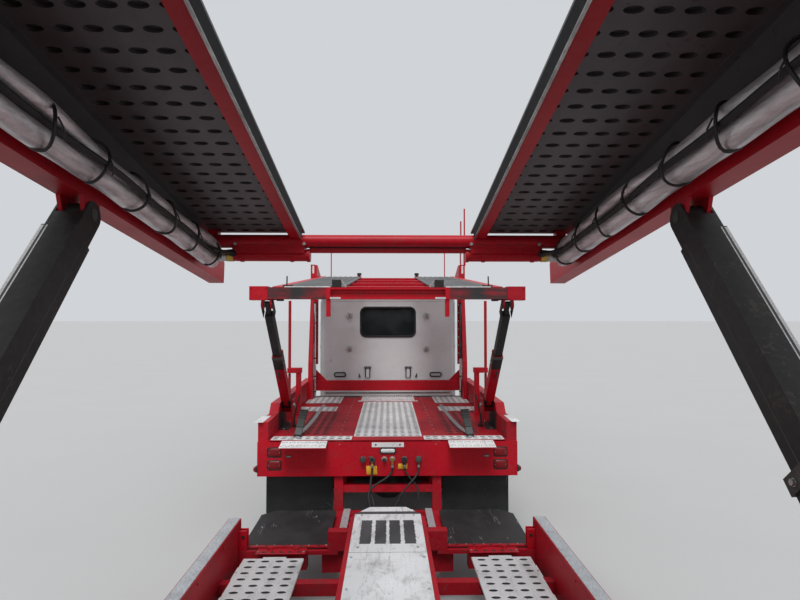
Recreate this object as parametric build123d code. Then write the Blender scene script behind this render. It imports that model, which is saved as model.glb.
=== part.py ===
from build123d import *
import os
from math import atan2, cos, degrees, hypot, radians, sin, tan

# Car transporter truck: a bonneted sleeper tractor with its own loading deck, and a low trailer
# hinged at the kingpin. Millimetres, +Y forward, +X right, +Z up, origin on the ground at the
# middle of the overall box. Points of a side view are (y, z).

# Overall
half_width = 1295
nose_y = 11450
tail_y = -11450
seat = 0.3
pin_gap = 0.3
slide_gap = 0.5
plate = 12
sheet = 6

# Chassis rails of the tractor
rail_outer_x = 432
rail_flange = 80
rail_web = 9
rail_low_z = 640
rail_top_z = 910
rail_rear_y = 2500
rail_front_y = 11150
cross_y = (2700, 3850, 5150, 6300, 7600, 8600, 11080)
cross_z = (rail_low_z + 150, rail_low_z + 220)

# Front axle and steering
steer_y = 10250
steer_tyre_r = 500
steer_tyre_width = 260
steer_tyre_x = half_width - 255
kingpin_x = half_width - 415
kingpin_r = 24

# Driven twin axles
drive_axles_y = (4500, 3200)
drive_tyre_r = 480
twin_outer_x = half_width - 35
twin_tyre_width = 245
twin_gap = 25
hub_bore_r = 62
gearbox_rear_y = 8700
shaft_r = 45

# Loading deck of the tractor
deck_z = 1100
deck_rear_y = 2400
deck_front_y = 5900
panel_rear_y = 2370
panel_low_z = 750
wall_width = 100
wall_rear_z = 1280
wall_top_z = 1380

# Stinger and fifth wheel
pivot_y = 1500
stinger_x = 490
stinger_beam = 90
stinger_low_z = 250
stinger_top_z = 400
stinger_rear_y = 1300
coupling_z = 500
coupling_r = 340
trailer_pin_r = 25

# Cab, sleeper and hood
cab_half = 1025
cab_rear_y = 7700
cowl_y = 9350
cowl_z = 1640
roof_front_y = 8900
roof_z = 2720
cab_floor_z = 1000
cab_wall = 45
sleeper_half = 1100
sleeper_rear_y = 6200
door_front_y = 9225
door_rear_y = 7990
door_low_z = 1012
door_top_z = 2330
door_gap = 6
door_hinge_x = cab_half + 17
hinge_levels = (1180, 1560)
hood_half = 1195
bonnet_rear_half = 780
bonnet_front_half = 560
arch_r = 575
hood_hinge_y = 11300
hood_hinge_z = 720
hood_front_y = 11285
hood_rear_y = 9368
hood_skin = 12

# Tail lamps, one over the other on each side
lamp_x = half_width - 170
lamp_levels = (860, 985)
lamp_half_width = 75
lamp_half_height = 52

# Couplings on the rear panel: place across, radius, length out of the panel, radius of the
# spigot that points down, or 0 for a plug with no line
line_z = 915
line_drop = 50
spigot_y = 2345
coupling_table = [(-245, 24, 46, 0), (-155, 20, 44, 14), (-35, 20, 40, 0), (45, 20, 44, 14), (165, 24, 46, 12),
                  (305, 24, 44, 13)]

# Lines: half diameter, and route in (x, y, z) from the spigot down to the junction block
junction_x = (-200, 270)
junction_y = (2160, 2270)
junction_top = 430
line_routes = {
    "air_line_service": (10, [
        (-155, 2345, 865), (-155, 2345, 822), (-158, 2341, 776), (-166, 2330, 728), (-172, 2314, 680),
        (-168, 2296, 634), (-158, 2274, 588), (-146, 2250, 542), (-132, 2226, 502), (-120, 2212, 466),
        (-120, 2212, 430)]),
    "air_line_supply": (10, [
        (45, 2345, 865), (45, 2345, 826), (34, 2338, 788), (4, 2322, 756), (-40, 2302, 730), (-90, 2282, 706),
        (-140, 2264, 676), (-178, 2250, 636), (-192, 2238, 590), (-184, 2226, 544), (-170, 2216, 502),
        (-164, 2210, 466), (-164, 2210, 430)]),
    "electric_line": (8, [
        (165, 2345, 865), (165, 2345, 828), (178, 2342, 790), (208, 2336, 752), (246, 2328, 712),
        (282, 2314, 668), (304, 2296, 620), (304, 2278, 572), (288, 2262, 530), (262, 2250, 494),
        (240, 2242, 463), (240, 2242, 430)]),
    "spare_line": (9, [
        (305, 2345, 865), (305, 2345, 828), (296, 2334, 790), (270, 2308, 752), (230, 2280, 714),
        (186, 2260, 672), (148, 2244, 626), (118, 2232, 580), (92, 2222, 536), (70, 2214, 496),
        (60, 2210, 463), (60, 2210, 430)]),
}

# Towing eyes below the bumper
tow_eye = (11315, 268)
tow_eye_r = 22

# Towers and the decks over the cab
tower_y = 5700
tower_x = half_width - 115
tower_top_z = 3150
deck_beam_out = tower_x - 90
deck_beam_in = deck_beam_out - 90
upper_hinge = (6000, 2930)
hinge_tube_r = 45
rack_front_y = 11180
rack_low_z = 2850
rack_top_z = 2980
rack_leg_x = (half_width - 88, half_width - 8)
upper_beam_depth = 130
bumper_top_z = 650

# Upper deck of the tractor: foot and head of its posts, in side view
post_foot = (3230, 1330)
post_head = (2050, 2450)
post_x = half_width - 155
post_size = 100
post_pin_r = 25
post_barrel = 900
post_rod = 900
upper_rear_y = 1980

# Trailer chassis and lower deck
trailer_front_y = 1330
trailer_beam = 100
lower_z = 450
trailer_rail_top = 680
trailer_rail_low = 330
tandem_y = (-7750, -9050)
trailer_tyre_r = 420
tandem_deck_z = 950
spine_half = 315
cover_half = 280
spine_front_y = 880
neck_front_y = 1750
neck_top_z = 630
mat_rear_y = 1270
mat_front_y = 2190
mat_x = (490, half_width - 105)
mat_top_z = 460.3
lower_plate_x = (650, half_width - 180)
lower_plate_front_y = 1075

# Upper decks of the trailer
side_beam_in = half_width - 165
side_beam_out = half_width - 65
side_beam_depth = 200
front_deck_hinge = (-4200, 3173)
front_deck_slope = 6.3
front_deck_end_y = 510
rear_deck_hinge = (-4500, 3120)
rear_deck_end_y = -11000
runway_in = 510
runway_out = side_beam_in - 10
strut_x = half_width - 115
strut_size = 150
strut_rod_size = 126
strut_pin_r = 30
eye_neck = 130
front_strut_foot = (-3050, 790)
front_strut_head = (-1350, 2700)
front_strut_barrel = 1500
front_strut_rod = 1500
rear_strut_foot = (-7000, 1230)
rear_strut_head = (-9600, 2960)
rear_strut_barrel = 1700
rear_strut_rod = 1700

# Side view of the trailer's rails and floor, and of the front upper deck's runway
rail_profile_top = [(trailer_front_y, 680), (-5400, 680), (-6500, 1120), (tail_y + 1550, 1120), (tail_y + 50, 960)]
rail_profile_low = [(tail_y + 50, 660), (tail_y + 1550, 880), (-6560, 880), (-5460, 330), (trailer_front_y, 330)]
floor_line = [(trailer_front_y - trailer_beam, lower_z), (-5450, lower_z), (-6500, tandem_deck_z),
              (tail_y + 1550, tandem_deck_z), (tail_y + 50, 760)]
runway_line = [(30, 2842), (-2600, 3272), (-4060, 3350)]


def block(x, y, z):
    """A block between three pairs of limits."""
    sizes = [high - low for low, high in (x, y, z)]
    middle = [(high + low) / 2 for low, high in (x, y, z)]
    return Pos(*middle) * Box(*sizes)


def across(points, x_low, x_high):
    """A side view outline of (y, z) points, carried from x_low to x_high."""
    plane = Plane(origin=(x_low, 0, 0), x_dir=(0, 1, 0), z_dir=(1, 0, 0))
    return extrude(plane * Polygon(*points, align=None), amount=x_high - x_low, dir=(1, 0, 0))


def along(points, y_low, y_high):
    """A cross-section of (x, z) points, carried from y_low to y_high."""
    plane = Plane(origin=(0, y_low, 0), x_dir=(1, 0, 0), z_dir=(0, -1, 0))
    return extrude(plane * Polygon(*points, align=None), amount=y_high - y_low, dir=(0, 1, 0))


def upright(points, z_low, z_high):
    """A plan outline of (x, y) points, carried from z_low to z_high."""
    plane = Plane(origin=(0, 0, z_low))
    return extrude(plane * Polygon(*points, align=None), amount=z_high - z_low, dir=(0, 0, 1))


def rod(start, end, radius, bore=0):
    """A round bar, or a tube, between two points."""
    axis = Vector(*end) - Vector(*start)
    plane = Plane(origin=start, z_dir=axis)
    bar = extrude(plane * Circle(radius), amount=axis.length, dir=plane.z_dir)
    if bore:
        bar -= extrude(plane * Circle(bore), amount=axis.length, dir=plane.z_dir)
    return bar


def pin_across(point, radius, x_low, x_high, bore=0):
    """A round bar along X through a side view point."""
    return rod((x_low, *point), (x_high, *point), radius, bore)


def bar(start, end, depth, x_low, x_high, wall=0, before=0, after=0):
    """A rectangular bar or tube along a side view line, longer at its ends by before and after."""
    angle = atan2(end[1] - start[1], end[0] - start[0])
    length = hypot(end[0] - start[0], end[1] - start[1])
    plane = Plane(origin=((x_low + x_high) / 2, *start), x_dir=(1, 0, 0), z_dir=(0, cos(angle), sin(angle)))
    plane = Plane(origin=plane.origin - plane.z_dir * before, x_dir=(1, 0, 0), z_dir=plane.z_dir)
    section = Rectangle(x_high - x_low, depth)
    if wall:
        section -= Rectangle(x_high - x_low - 2 * wall, depth - 2 * wall)
    return extrude(plane * section, amount=length + before + after, dir=plane.z_dir)


def point_on(start, end, distance, rise=0):
    """The side view point at a distance along a line, and risen at right angles to it."""
    angle = atan2(end[1] - start[1], end[0] - start[0])
    return (start[0] + distance * cos(angle) - rise * sin(angle),
            start[1] + distance * sin(angle) + rise * cos(angle))


def both(*shapes):
    """The shapes and their mirror images on the other side."""
    return [*shapes, *(shape.mirror(Plane.YZ) for shape in shapes)]


def fused(shapes):
    """Shapes that are joined, as one."""
    shapes = list(shapes)
    return shapes[0].fuse(*shapes[1:]) if len(shapes) > 1 else shapes[0]


def save(name, *shapes):
    """Writes one node, whose solids don't touch one another."""
    solids = [solid for shape in shapes for solid in shape.solids()]
    export_step(Compound(solids), f"parts/{name}.step")


os.makedirs("parts", exist_ok=True)


def chassis():
    """Two channel rails, their cross-members, and the stinger that drops to the fifth wheel."""
    inner = rail_outer_x - rail_flange
    channel = [(rail_outer_x, rail_low_z), (rail_outer_x, rail_top_z), (inner, rail_top_z),
               (inner, rail_top_z - rail_web), (rail_outer_x - rail_web, rail_top_z - rail_web),
               (rail_outer_x - rail_web, rail_low_z + rail_web), (inner, rail_low_z + rail_web),
               (inner, rail_low_z)]
    parts = both(along(channel, rail_rear_y, rail_front_y))
    web = rail_outer_x - rail_web
    for y in cross_y:
        parts.append(block((-web, web), (y - 35, y + 35), cross_z))
    # The stinger: columns beside the rails, beams rearwards and cross plates between them
    in_x = stinger_x - stinger_beam / 2
    out_x = stinger_x + stinger_beam / 2
    column_y = (deck_rear_y, deck_rear_y + stinger_beam)
    parts += both(block((in_x, out_x), column_y, (stinger_low_z, rail_top_z)))
    parts += both(block((web, in_x), (rail_rear_y, rail_rear_y + 140), (rail_low_z, rail_top_z)))
    parts += both(block((in_x, out_x), (deck_rear_y + stinger_beam, rail_rear_y + 140), (rail_low_z, rail_top_z)))
    parts += both(block((in_x, out_x), (stinger_rear_y, deck_rear_y), (stinger_low_z, stinger_top_z)))
    parts.append(block((-in_x, in_x), (stinger_rear_y, stinger_rear_y + 60), (stinger_low_z, stinger_top_z)))
    parts.append(block((-in_x, in_x), (pivot_y - 150, pivot_y + 150), (stinger_top_z - 30, stinger_top_z)))
    for y in (1900, sum(junction_y) / 2):
        parts.append(block((-in_x, in_x), (y - 40, y + 40), (stinger_low_z, stinger_low_z + 90)))
    for z in (stinger_low_z + 60, rail_low_z - 60):
        parts.append(block((-in_x, in_x), (column_y[0] + 10, column_y[1] - 10), (z, z + 70)))
    # Outriggers under the loading deck, clear of the tyres
    for y_low, y_high in ((2450, 2560), (3780, 3920), (5080, 5180), (5780, deck_front_y)):
        parts += both(block((inner, half_width - wall_width), (y_low, y_high), (rail_top_z, deck_z - 60)))
    parts.append(junction_block())
    save("truck_frame", fused(parts))


def fifth_wheel():
    """The coupling plate: round, dished at the edge, with the pin's bore and a slot to the rear."""
    plate_low = coupling_z - 45
    disc = rod((0, pivot_y, plate_low), (0, pivot_y, coupling_z), coupling_r)
    foot = block((-220, 220), (pivot_y - 120, pivot_y + 120), (stinger_top_z, plate_low))
    slot = upright([(-trailer_pin_r - 5, pivot_y), (-110, pivot_y - coupling_r - 10),
                    (110, pivot_y - coupling_r - 10), (trailer_pin_r + 5, pivot_y)],
                   stinger_top_z + 10, coupling_z)
    bore = rod((0, pivot_y, stinger_top_z + 10), (0, pivot_y, coupling_z), trailer_pin_r + pin_gap)
    body = disc + foot
    body = chamfer(body.faces().sort_by(Axis.Z)[-1].edges(), 8)
    save("fifth_wheel", body - bore - (slot & rod((0, pivot_y, plate_low), (0, pivot_y, coupling_z), 400)))


def engine():
    """The engine and gearbox, as one plain block between the rails."""
    half = rail_outer_x - rail_flange - 15
    parts = [block((-half, half), (9500, 10850), (620, 1180)),
             block((-200, 200), (gearbox_rear_y, 9500), (rail_low_z, rail_top_z - 30))]
    for y in (9700, 10550):
        parts += both(block((half, rail_outer_x - rail_web), (y, y + 90), (700, 780)))
    save("engine", fused(parts))


def axles():
    """The steered axle's beam, its springs, and the driven axles with their housings and shafts."""
    parts = []
    beam_end = kingpin_x - 62
    web_in = rail_outer_x + 18
    dropped = along([(-beam_end, 560), (-beam_end, 440), (-620, 340), (620, 340), (beam_end, 440),
                     (beam_end, 560), (beam_end - 120, 560), (560, 440), (-560, 440),
                     (120 - beam_end, 560)], steer_y - 50, steer_y + 50)
    parts.append(dropped)
    parts += both(block((web_in, web_in + 80), (steer_y - 80, steer_y + 80), (440, 500)))
    parts += both(bar((steer_y - 700, 640), (steer_y, 510), 30, web_in, web_in + 80))
    parts += both(bar((steer_y, 510), (steer_y + 700, 640), 30, web_in, web_in + 80))
    for end in (-1, 1):
        hanger_y = steer_y + end * 690
        parts += both(block((rail_outer_x, web_in + 80), (hanger_y - 30, hanger_y + 30), (635, 760)))
    # Ears for the kingpins
    for z_low, z_high in ((440, 476), (524, 560)):
        ear = rod((kingpin_x, steer_y, z_low), (kingpin_x, steer_y, z_high), 34)
        ear += block((beam_end - 10, kingpin_x), (steer_y - 34, steer_y + 34), (z_low, z_high))
        parts += both(ear)
    front = fused(parts)
    front -= fused(both(rod((kingpin_x, steer_y, 430), (kingpin_x, steer_y, 570), kingpin_r + pin_gap)))
    driven = []
    stub = twin_outer_x - twin_tyre_width - twin_gap / 2
    for y in drive_axles_y:
        tube = rod((-stub - 60, y, drive_tyre_r), (stub + 60, y, drive_tyre_r), hub_bore_r - pin_gap)
        housing = rod((-680, y, drive_tyre_r), (680, y, drive_tyre_r), 75)
        bowl = Pos(0, y, drive_tyre_r) * Sphere(190) & block((-190, 190), (y - 190, y + 190), (320, 636))
        arm_x = (rail_outer_x + 48, rail_outer_x + 128)
        arms = both(block(arm_x, (y - 520, y + 100), (390, 440)),
                    block(arm_x, (y - 520, y - 440), (440, rail_top_z)),
                    block((rail_outer_x, arm_x[0]), (y - 520, y - 440), (700, 860)),
                    block((arm_x[0] - 30, arm_x[1] + 30), (y - 60, y + 60), (440, 470)))
        driven += [tube, housing, bowl, *arms]
    first, second = drive_axles_y
    driven.append(rod((0, first + 120, drive_tyre_r + 45), (0, gearbox_rear_y - 10, rail_low_z + 55), shaft_r))
    driven.append(rod((0, second + 120, drive_tyre_r), (0, first - 120, drive_tyre_r), shaft_r))
    save("truck_axles", front, fused(driven))


def wheel_outline(tyre_r, width, rim_r, hub_r, dish):
    """Half section of a tyred wheel, as (radius, offset) points with the outer face first."""
    half = width / 2
    return [(hub_r, -dish), (hub_r, half - 40), (110, half - 40), (150, half - 90), (rim_r - 40, half - 95),
            (rim_r - 22, half - 12), (rim_r, half - 12), (rim_r + 30, half), (tyre_r - 60, half),
            (tyre_r - 14, half - 14), (tyre_r, half - 45), (tyre_r, 45 - half), (tyre_r - 14, 14 - half),
            (tyre_r - 60, -half), (rim_r + 30, -half), (rim_r, 12 - half), (rim_r - 22, 12 - half),
            (rim_r - 42, half - 120), (150, half - 115), (120, -dish)]


def front_wheels():
    """The steered wheels, whose discs face outwards over the hub."""
    for side, name in ((-1, "left"), (1, "right")):
        outline = wheel_outline(steer_tyre_r, steer_tyre_width, 286, 42, 40)
        plane = Plane(origin=(side * steer_tyre_x, steer_y, steer_tyre_r), x_dir=(0, 0, 1), z_dir=(0, 1, 0))
        face = plane * Polygon(*[(r, side * offset) for r, offset in outline], align=None)
        wheel = revolve(face, axis=Axis((side * steer_tyre_x, steer_y, steer_tyre_r), (1, 0, 0)))
        save(f"front_wheel_{name}", wheel)


def knuckles():
    """A steering knuckle each side: kingpin, body, spindle and steering arm."""
    for side, name in ((-1, "left"), (1, "right")):
        pin = rod((side * kingpin_x, steer_y, 425), (side * kingpin_x, steer_y, 575), kingpin_r)
        eye = rod((side * kingpin_x, steer_y, 477), (side * kingpin_x, steer_y, 523), 46)
        start = side * (kingpin_x + 40)
        spindle = rod((start, steer_y, steer_tyre_r), (side * (steer_tyre_x + 85), steer_y, steer_tyre_r), 41.7)
        flange = rod((side * (kingpin_x + 40), steer_y, 500), (side * (kingpin_x + 60), steer_y, 500), 95)
        ends = sorted((side * kingpin_x, side * (kingpin_x + 26)))
        arm = block(ends, (steer_y - 190, steer_y - 30), (485, 515))
        save(f"knuckle_{name}", fused([pin, eye, spindle, flange, arm]))


def twin_wheels(prefix, axle_y, tyre_r, rim_r):
    """A pair of twin wheels, one body each side: two tyres on one pair of rims and one hub."""
    half = twin_tyre_width / 2
    outer = twin_outer_x - half
    inner = outer - twin_tyre_width - twin_gap
    middle = (outer + inner) / 2
    reach = twin_outer_x - middle
    outline = [(hub_bore_r, -170), (hub_bore_r, 120), (105, 120), (125, 12), (rim_r - 40, 12),
               (rim_r - 20, reach - 12), (rim_r, reach - 12), (rim_r + 26, reach), (tyre_r - 55, reach),
               (tyre_r, reach - 40), (tyre_r, twin_gap / 2 + 30), (tyre_r - 45, twin_gap / 2),
               (rim_r + 10, twin_gap / 2), (rim_r + 10, -twin_gap / 2), (tyre_r - 45, -twin_gap / 2),
               (tyre_r, -twin_gap / 2 - 30), (tyre_r, 40 - reach), (tyre_r - 55, -reach), (rim_r + 26, -reach),
               (rim_r, 12 - reach), (rim_r - 20, 12 - reach), (rim_r - 40, -12), (125, -12), (125, -170)]
    for side, name in ((-1, "left"), (1, "right")):
        centre = (side * middle, axle_y, tyre_r)
        plane = Plane(origin=centre, x_dir=(0, 0, 1), z_dir=(0, 1, 0))
        face = plane * Polygon(*[(r, side * offset) for r, offset in outline], align=None)
        save(f"{prefix}_{name}", revolve(face, axis=Axis(centre, (1, 0, 0))))


def bumper():
    """The front bumper: a folded beam with swept ends, its brackets and the rack's foot plates."""
    low, top = 300, bumper_top_z
    outline = [(-1240, 11160), (-1240, 11330), (-1050, nose_y), (1050, nose_y), (1240, 11330), (1240, 11160),
               (1215, 11160), (1215, 11318), (1040, nose_y - 25), (-1040, nose_y - 25), (-1215, 11318),
               (-1215, 11160)]
    shell = upright(outline, low, top)
    lips = [upright([(-1215, 11165), (-1215, 11318), (-1040, nose_y - 25), (1040, nose_y - 25),
                     (1215, 11318), (1215, 11165), (1130, 11165), (1130, 11310), (-1130, 11310),
                     (-1130, 11165)], z, z + 12) for z in (low, top - 12)]
    brackets = both(block((rail_outer_x - 80, rail_outer_x + 8), (rail_front_y, nose_y - 25), (500, 620)),
                    block((rail_outer_x, rail_outer_x + 8), (rail_front_y - 150, rail_front_y), (500, 760)))
    hinge = across([(11160, 600), (11160, 700), (hood_hinge_y - 16, hood_hinge_z + 16),
                    (hood_hinge_y + 16, hood_hinge_z + 16), (11340, 600)], rail_outer_x - 8, rail_outer_x + 8)
    pin = pin_across((hood_hinge_y, hood_hinge_z), 12, rail_outer_x, rail_outer_x + 44)
    lug = across([(11240, 500), (11240, 260), (11290, 225), (11340, 225), (11390, 260), (11390, 500)], 380, 410)
    lug -= pin_across(tow_eye, tow_eye_r, 370, 420)
    save("front_bumper", fused([shell, *lips, *brackets, *both(hinge, pin, lug)]))


def rounded_section(half, z_low, z_top, low_r, top_r, y_low, y_high):
    """A cross-section with rounded corners, carried from y_low to y_high."""
    plane = Plane(origin=(0, y_low, 0), x_dir=(1, 0, 0), z_dir=(0, -1, 0))
    outline = Polygon((-half, z_low), (half, z_low), (half, z_top), (-half, z_top), align=None)
    corners = outline.vertices()
    outline = fillet(corners.filter_by(lambda corner: corner.Y > (z_low + z_top) / 2), top_r)
    if low_r:
        outline = fillet(outline.vertices().sort_by(Axis.Y)[:2], low_r)
    return extrude(plane * outline, amount=y_high - y_low, dir=(0, 1, 0))


def cab_form(inset):
    """The cab's outside, or its inside when it is inset by the wall."""
    side = [(cab_rear_y, cab_floor_z), (cab_rear_y, roof_z), (8450, roof_z), (8850, 2620), (8930, 2540),
            (cowl_y, cowl_z), (cowl_y, cab_floor_z)]
    plan = [(-cab_half, cab_rear_y), (cab_half, cab_rear_y), (cab_half, 9180), (cab_half - 90, cowl_y),
            (90 - cab_half, cowl_y), (-cab_half, 9180)]
    plane = Plane(origin=(-cab_half, 0, 0), x_dir=(0, 1, 0), z_dir=(1, 0, 0))
    side_face = Polygon(*side, align=None)
    plan_face = Polygon(*plan, align=None)
    if inset:
        side_face = offset(side_face, amount=-inset, kind=Kind.INTERSECTION)
        plan_face = offset(plan_face, amount=-inset, kind=Kind.INTERSECTION)
    form = extrude(plane * side_face, amount=2 * cab_half, dir=(1, 0, 0))
    form &= extrude(Plane(origin=(0, 0, cab_floor_z)) * plan_face, amount=roof_z - cab_floor_z, dir=(0, 0, 1))
    return form & rounded_section(cab_half - inset, cab_floor_z + inset, roof_z - inset, 0, 130 - inset,
                                  cab_rear_y, cowl_y)


def screen_slab(low, high, half, depth, inside):
    """A slab in the windscreen's slope, between two distances up it, centred inside its outer face."""
    foot, head = (cowl_y, cowl_z), (8930, 2540)
    return bar(point_on(foot, head, low, inside), point_on(foot, head, high, inside), depth, -half, half)


def door_outline(inset):
    """The door's side view, inset all round."""
    outline = Polygon((door_rear_y, door_low_z), (door_front_y, door_low_z), (door_front_y, 1650),
                      (8900, door_top_z), (door_rear_y, door_top_z), align=None)
    return offset(outline, amount=-inset, kind=Kind.INTERSECTION) if inset else outline


def door_window(inset):
    """The door glass opening's side view, inset all round."""
    outline = Polygon((8080, 1680), (9130, 1680), (8850, 2250), (8080, 2250), align=None)
    outline = offset(outline, amount=-inset, kind=Kind.INTERSECTION) if inset else outline
    return fillet(outline.vertices(), 30)


def side_slab(outline, x_low, x_high):
    """A side view sketch carried from x_low to x_high."""
    plane = Plane(origin=(x_low, 0, 0), x_dir=(0, 1, 0), z_dir=(1, 0, 0))
    return extrude(plane * outline, amount=x_high - x_low, dir=(1, 0, 0))


def cab():
    """The cab shell, with its windscreen, door openings and the way through to the sleeper cut."""
    shell = cab_form(0) - cab_form(cab_wall)
    shell -= screen_slab(80, 905, 850, 300, 0)
    opening = side_slab(door_outline(-door_gap), cab_half - 80, cab_half + 10)
    shell -= fused(both(opening))
    shell -= block((-850, 850), (cab_rear_y - 10, cab_rear_y + 100), (cab_floor_z + cab_wall, 2500))
    knuckles = []
    for z in hinge_levels:
        strap = block((cab_half - 70, door_hinge_x), (door_front_y + 10, door_front_y + 70), (z, z + 30))
        eye = rod((door_hinge_x, door_front_y + 10, z), (door_hinge_x, door_front_y + 10, z + 30), 14)
        pin = rod((door_hinge_x, door_front_y + 10, z), (door_hinge_x, door_front_y + 10, z + 60), 7)
        knuckles += both(strap, eye, pin)
    feet = both(block((rail_outer_x - rail_flange, rail_outer_x), (7900, 8050), (rail_top_z, cab_floor_z)),
                block((rail_outer_x - rail_flange, rail_outer_x), (9100, 9250), (rail_top_z, cab_floor_z)))
    save("cab_shell", fused([shell, *knuckles, *feet]))


def sleeper():
    """The sleeper shell behind the cab, with its rear window and the way through cut."""
    outer = rounded_section(sleeper_half, cab_floor_z, roof_z, 0, 110, sleeper_rear_y, cab_rear_y)
    inner = rounded_section(sleeper_half - cab_wall, cab_floor_z + cab_wall, roof_z - cab_wall, 0, 70,
                            sleeper_rear_y + cab_wall, cab_rear_y - cab_wall)
    outer = fillet(outer.edges().filter_by(Axis.Z).group_by(Axis.Y)[0], 55)
    shell = outer - inner
    shell -= block((-850, 850), (cab_rear_y - 100, cab_rear_y + 10), (cab_floor_z + cab_wall, 2500))
    shell -= rear_window(0, sleeper_rear_y - 10, sleeper_rear_y + cab_wall + 10)
    feet = both(block((rail_outer_x - rail_flange, rail_outer_x), (6400, 6550), (rail_top_z, cab_floor_z)),
                block((rail_outer_x - rail_flange, rail_outer_x), (7350, 7500), (rail_top_z, cab_floor_z)))
    save("sleeper_shell", fused([shell, *feet]))


def rear_window(inset, y_low, y_high):
    """The sleeper's rear window, rounded at its corners."""
    half, z_low, z_top = 440 - inset, 2030 + inset, 2500 - inset
    plane = Plane(origin=(0, y_low, (z_low + z_top) / 2), x_dir=(1, 0, 0), z_dir=(0, -1, 0))
    return extrude(plane * RectangleRounded(2 * half, z_top - z_low, 90), amount=y_high - y_low, dir=(0, 1, 0))


def glass():
    """The windscreen and the sleeper's rear window."""
    screen = screen_slab(80 + seat, 905 - seat, 850 - seat, 8, 22)
    save("cab_glass", screen, rear_window(seat, sleeper_rear_y + 12, sleeper_rear_y + 20))


def interior():
    """Dashboard with its steering wheel, two seats and the bunk."""
    floor = cab_floor_z + cab_wall
    inner = cab_half - cab_wall - seat
    front = cowl_y - cab_wall - seat
    dash = across([(front, 1300), (front, 1590), (9080, 1620), (8960, 1540), (8990, 1300)], 110 - inner, inner - 110)
    column = rod((-480, 9020, 1480), (-480, 8682, 1713), 30)
    wheel_plane = Plane(origin=(-480, 8690, 1707), z_dir=(0, -320, 220))
    rim = wheel_plane * Torus(225, 17)
    spokes = wheel_plane * (Box(440, 40, 14) + Box(40, 440, 14))
    seats = []
    for x in (-480, 480):
        seats.append(fused([block((x - 170, x + 170), (8080, 8460), (floor, 1330)),
                            chamfer(block((x - 255, x + 255), (8020, 8540), (1330, 1450)).edges(), 20),
                            chamfer(across([(8020, 1450), (8140, 1450), (8060, 2110), (7960, 2110)],
                                           x - 240, x + 240).edges(), 18)]))
    reach = sleeper_half - cab_wall - seat
    bunk = fused([block((-reach, reach), (sleeper_rear_y + cab_wall + seat, 7000), (floor, 1380)),
                  chamfer(block((60 - reach, reach - 60), (sleeper_rear_y + 60, 6980), (1380, 1530)).edges(), 25)])
    save("cab_interior", fused([dash, column, rim, spokes]), *seats, bunk)


def doors():
    """The two doors with their mirrors, and their glass."""
    for side, name in ((-1, "left"), (1, "right")):
        panel = side_slab(door_outline(0), cab_half - cab_wall, cab_half)
        panel -= side_slab(door_window(0), cab_half - cab_wall - 5, cab_half + 5)
        handle = block((cab_half, cab_half + 28), (8060, 8200), (1480, 1510))
        arms = [block((cab_half, cab_half + 175), (9060, 9090), (z, z + 26)) for z in (1750, 2150)]
        head = fillet(block((cab_half + 115, cab_half + 305), (9030, 9110), (1640, 2260)).edges(), 25)
        straps = []
        for z in hinge_levels:
            hub = rod((door_hinge_x, door_front_y + 10, z + 30 + seat),
                      (door_hinge_x, door_front_y + 10, z + 60), 14, 7 + pin_gap)
            strap = block((cab_half, door_hinge_x), (door_front_y - 50, door_front_y - 3),
                          (z + 30 + seat, z + 60))
            straps += [hub, strap]
        arms.append(block((cab_half, cab_half + 8), (9040, 9110), (1720, 2200)))
        door = fused([panel, handle, *arms, head, *straps])
        pane = side_slab(door_window(seat), cab_half - 26, cab_half - 20)
        if side < 0:
            door, pane = door.mirror(Plane.YZ), pane.mirror(Plane.YZ)
        save(f"door_{name}", door)
        save(f"door_glass_{name}", pane)


def bonnet_form(inset):
    """The bonnet between the fenders: three sections, lower and narrower to the front."""
    table = [
        # y, half width below, half width above, low z, top z, corner
        (hood_rear_y - (20 if inset else 0), bonnet_rear_half, 700, 860, 1625, 90),
        (10400, 700, 610, 800, 1500, 110),
        (hood_front_y - inset, bonnet_front_half, 500, 745, 1210, 120),
    ]
    sections = []
    for y, low_half, top_half, low, top, corner in table:
        plane = Plane(origin=(0, y, 0), x_dir=(1, 0, 0), z_dir=(0, -1, 0))
        low = low - 40 if inset else low
        outline = Polygon((inset - low_half, low), (low_half - inset, low), (top_half - inset, top - inset),
                          (inset - top_half, top - inset), align=None)
        sections.append(plane * fillet(outline.vertices().sort_by(Axis.Y)[2:], corner - inset))
    return loft(sections, ruled=True)


def fender_form(inset):
    """One fender: a side outline cut by the plan of its rounded front corner."""
    side = Polygon((9430, 590), (9430, 960), (9600, 1130), (9950, 1215), (10550, 1215), (10950, 1165),
                   (11200, 1100), (hood_front_y, 1020), (hood_front_y, 740), (11180, 590), align=None)
    if inset:
        side = offset(side, amount=-inset, kind=Kind.INTERSECTION)
        side += Polygon((9430 + inset, 560), (9430 + inset, 700), (11200 - inset, 700), (11140, 560), align=None)
    plan = Polygon((600, 9400), (hood_half - inset, 9400), (hood_half - inset, 10850),
                   (hood_half - 60 - inset, 11060), (900 - inset, hood_front_y + 20), (600, hood_front_y + 20),
                   align=None)
    form = side_slab(side, 600, hood_half)
    return form & extrude(Plane(origin=(0, 0, 500)) * plan, amount=800, dir=(0, 0, 1))


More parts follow.
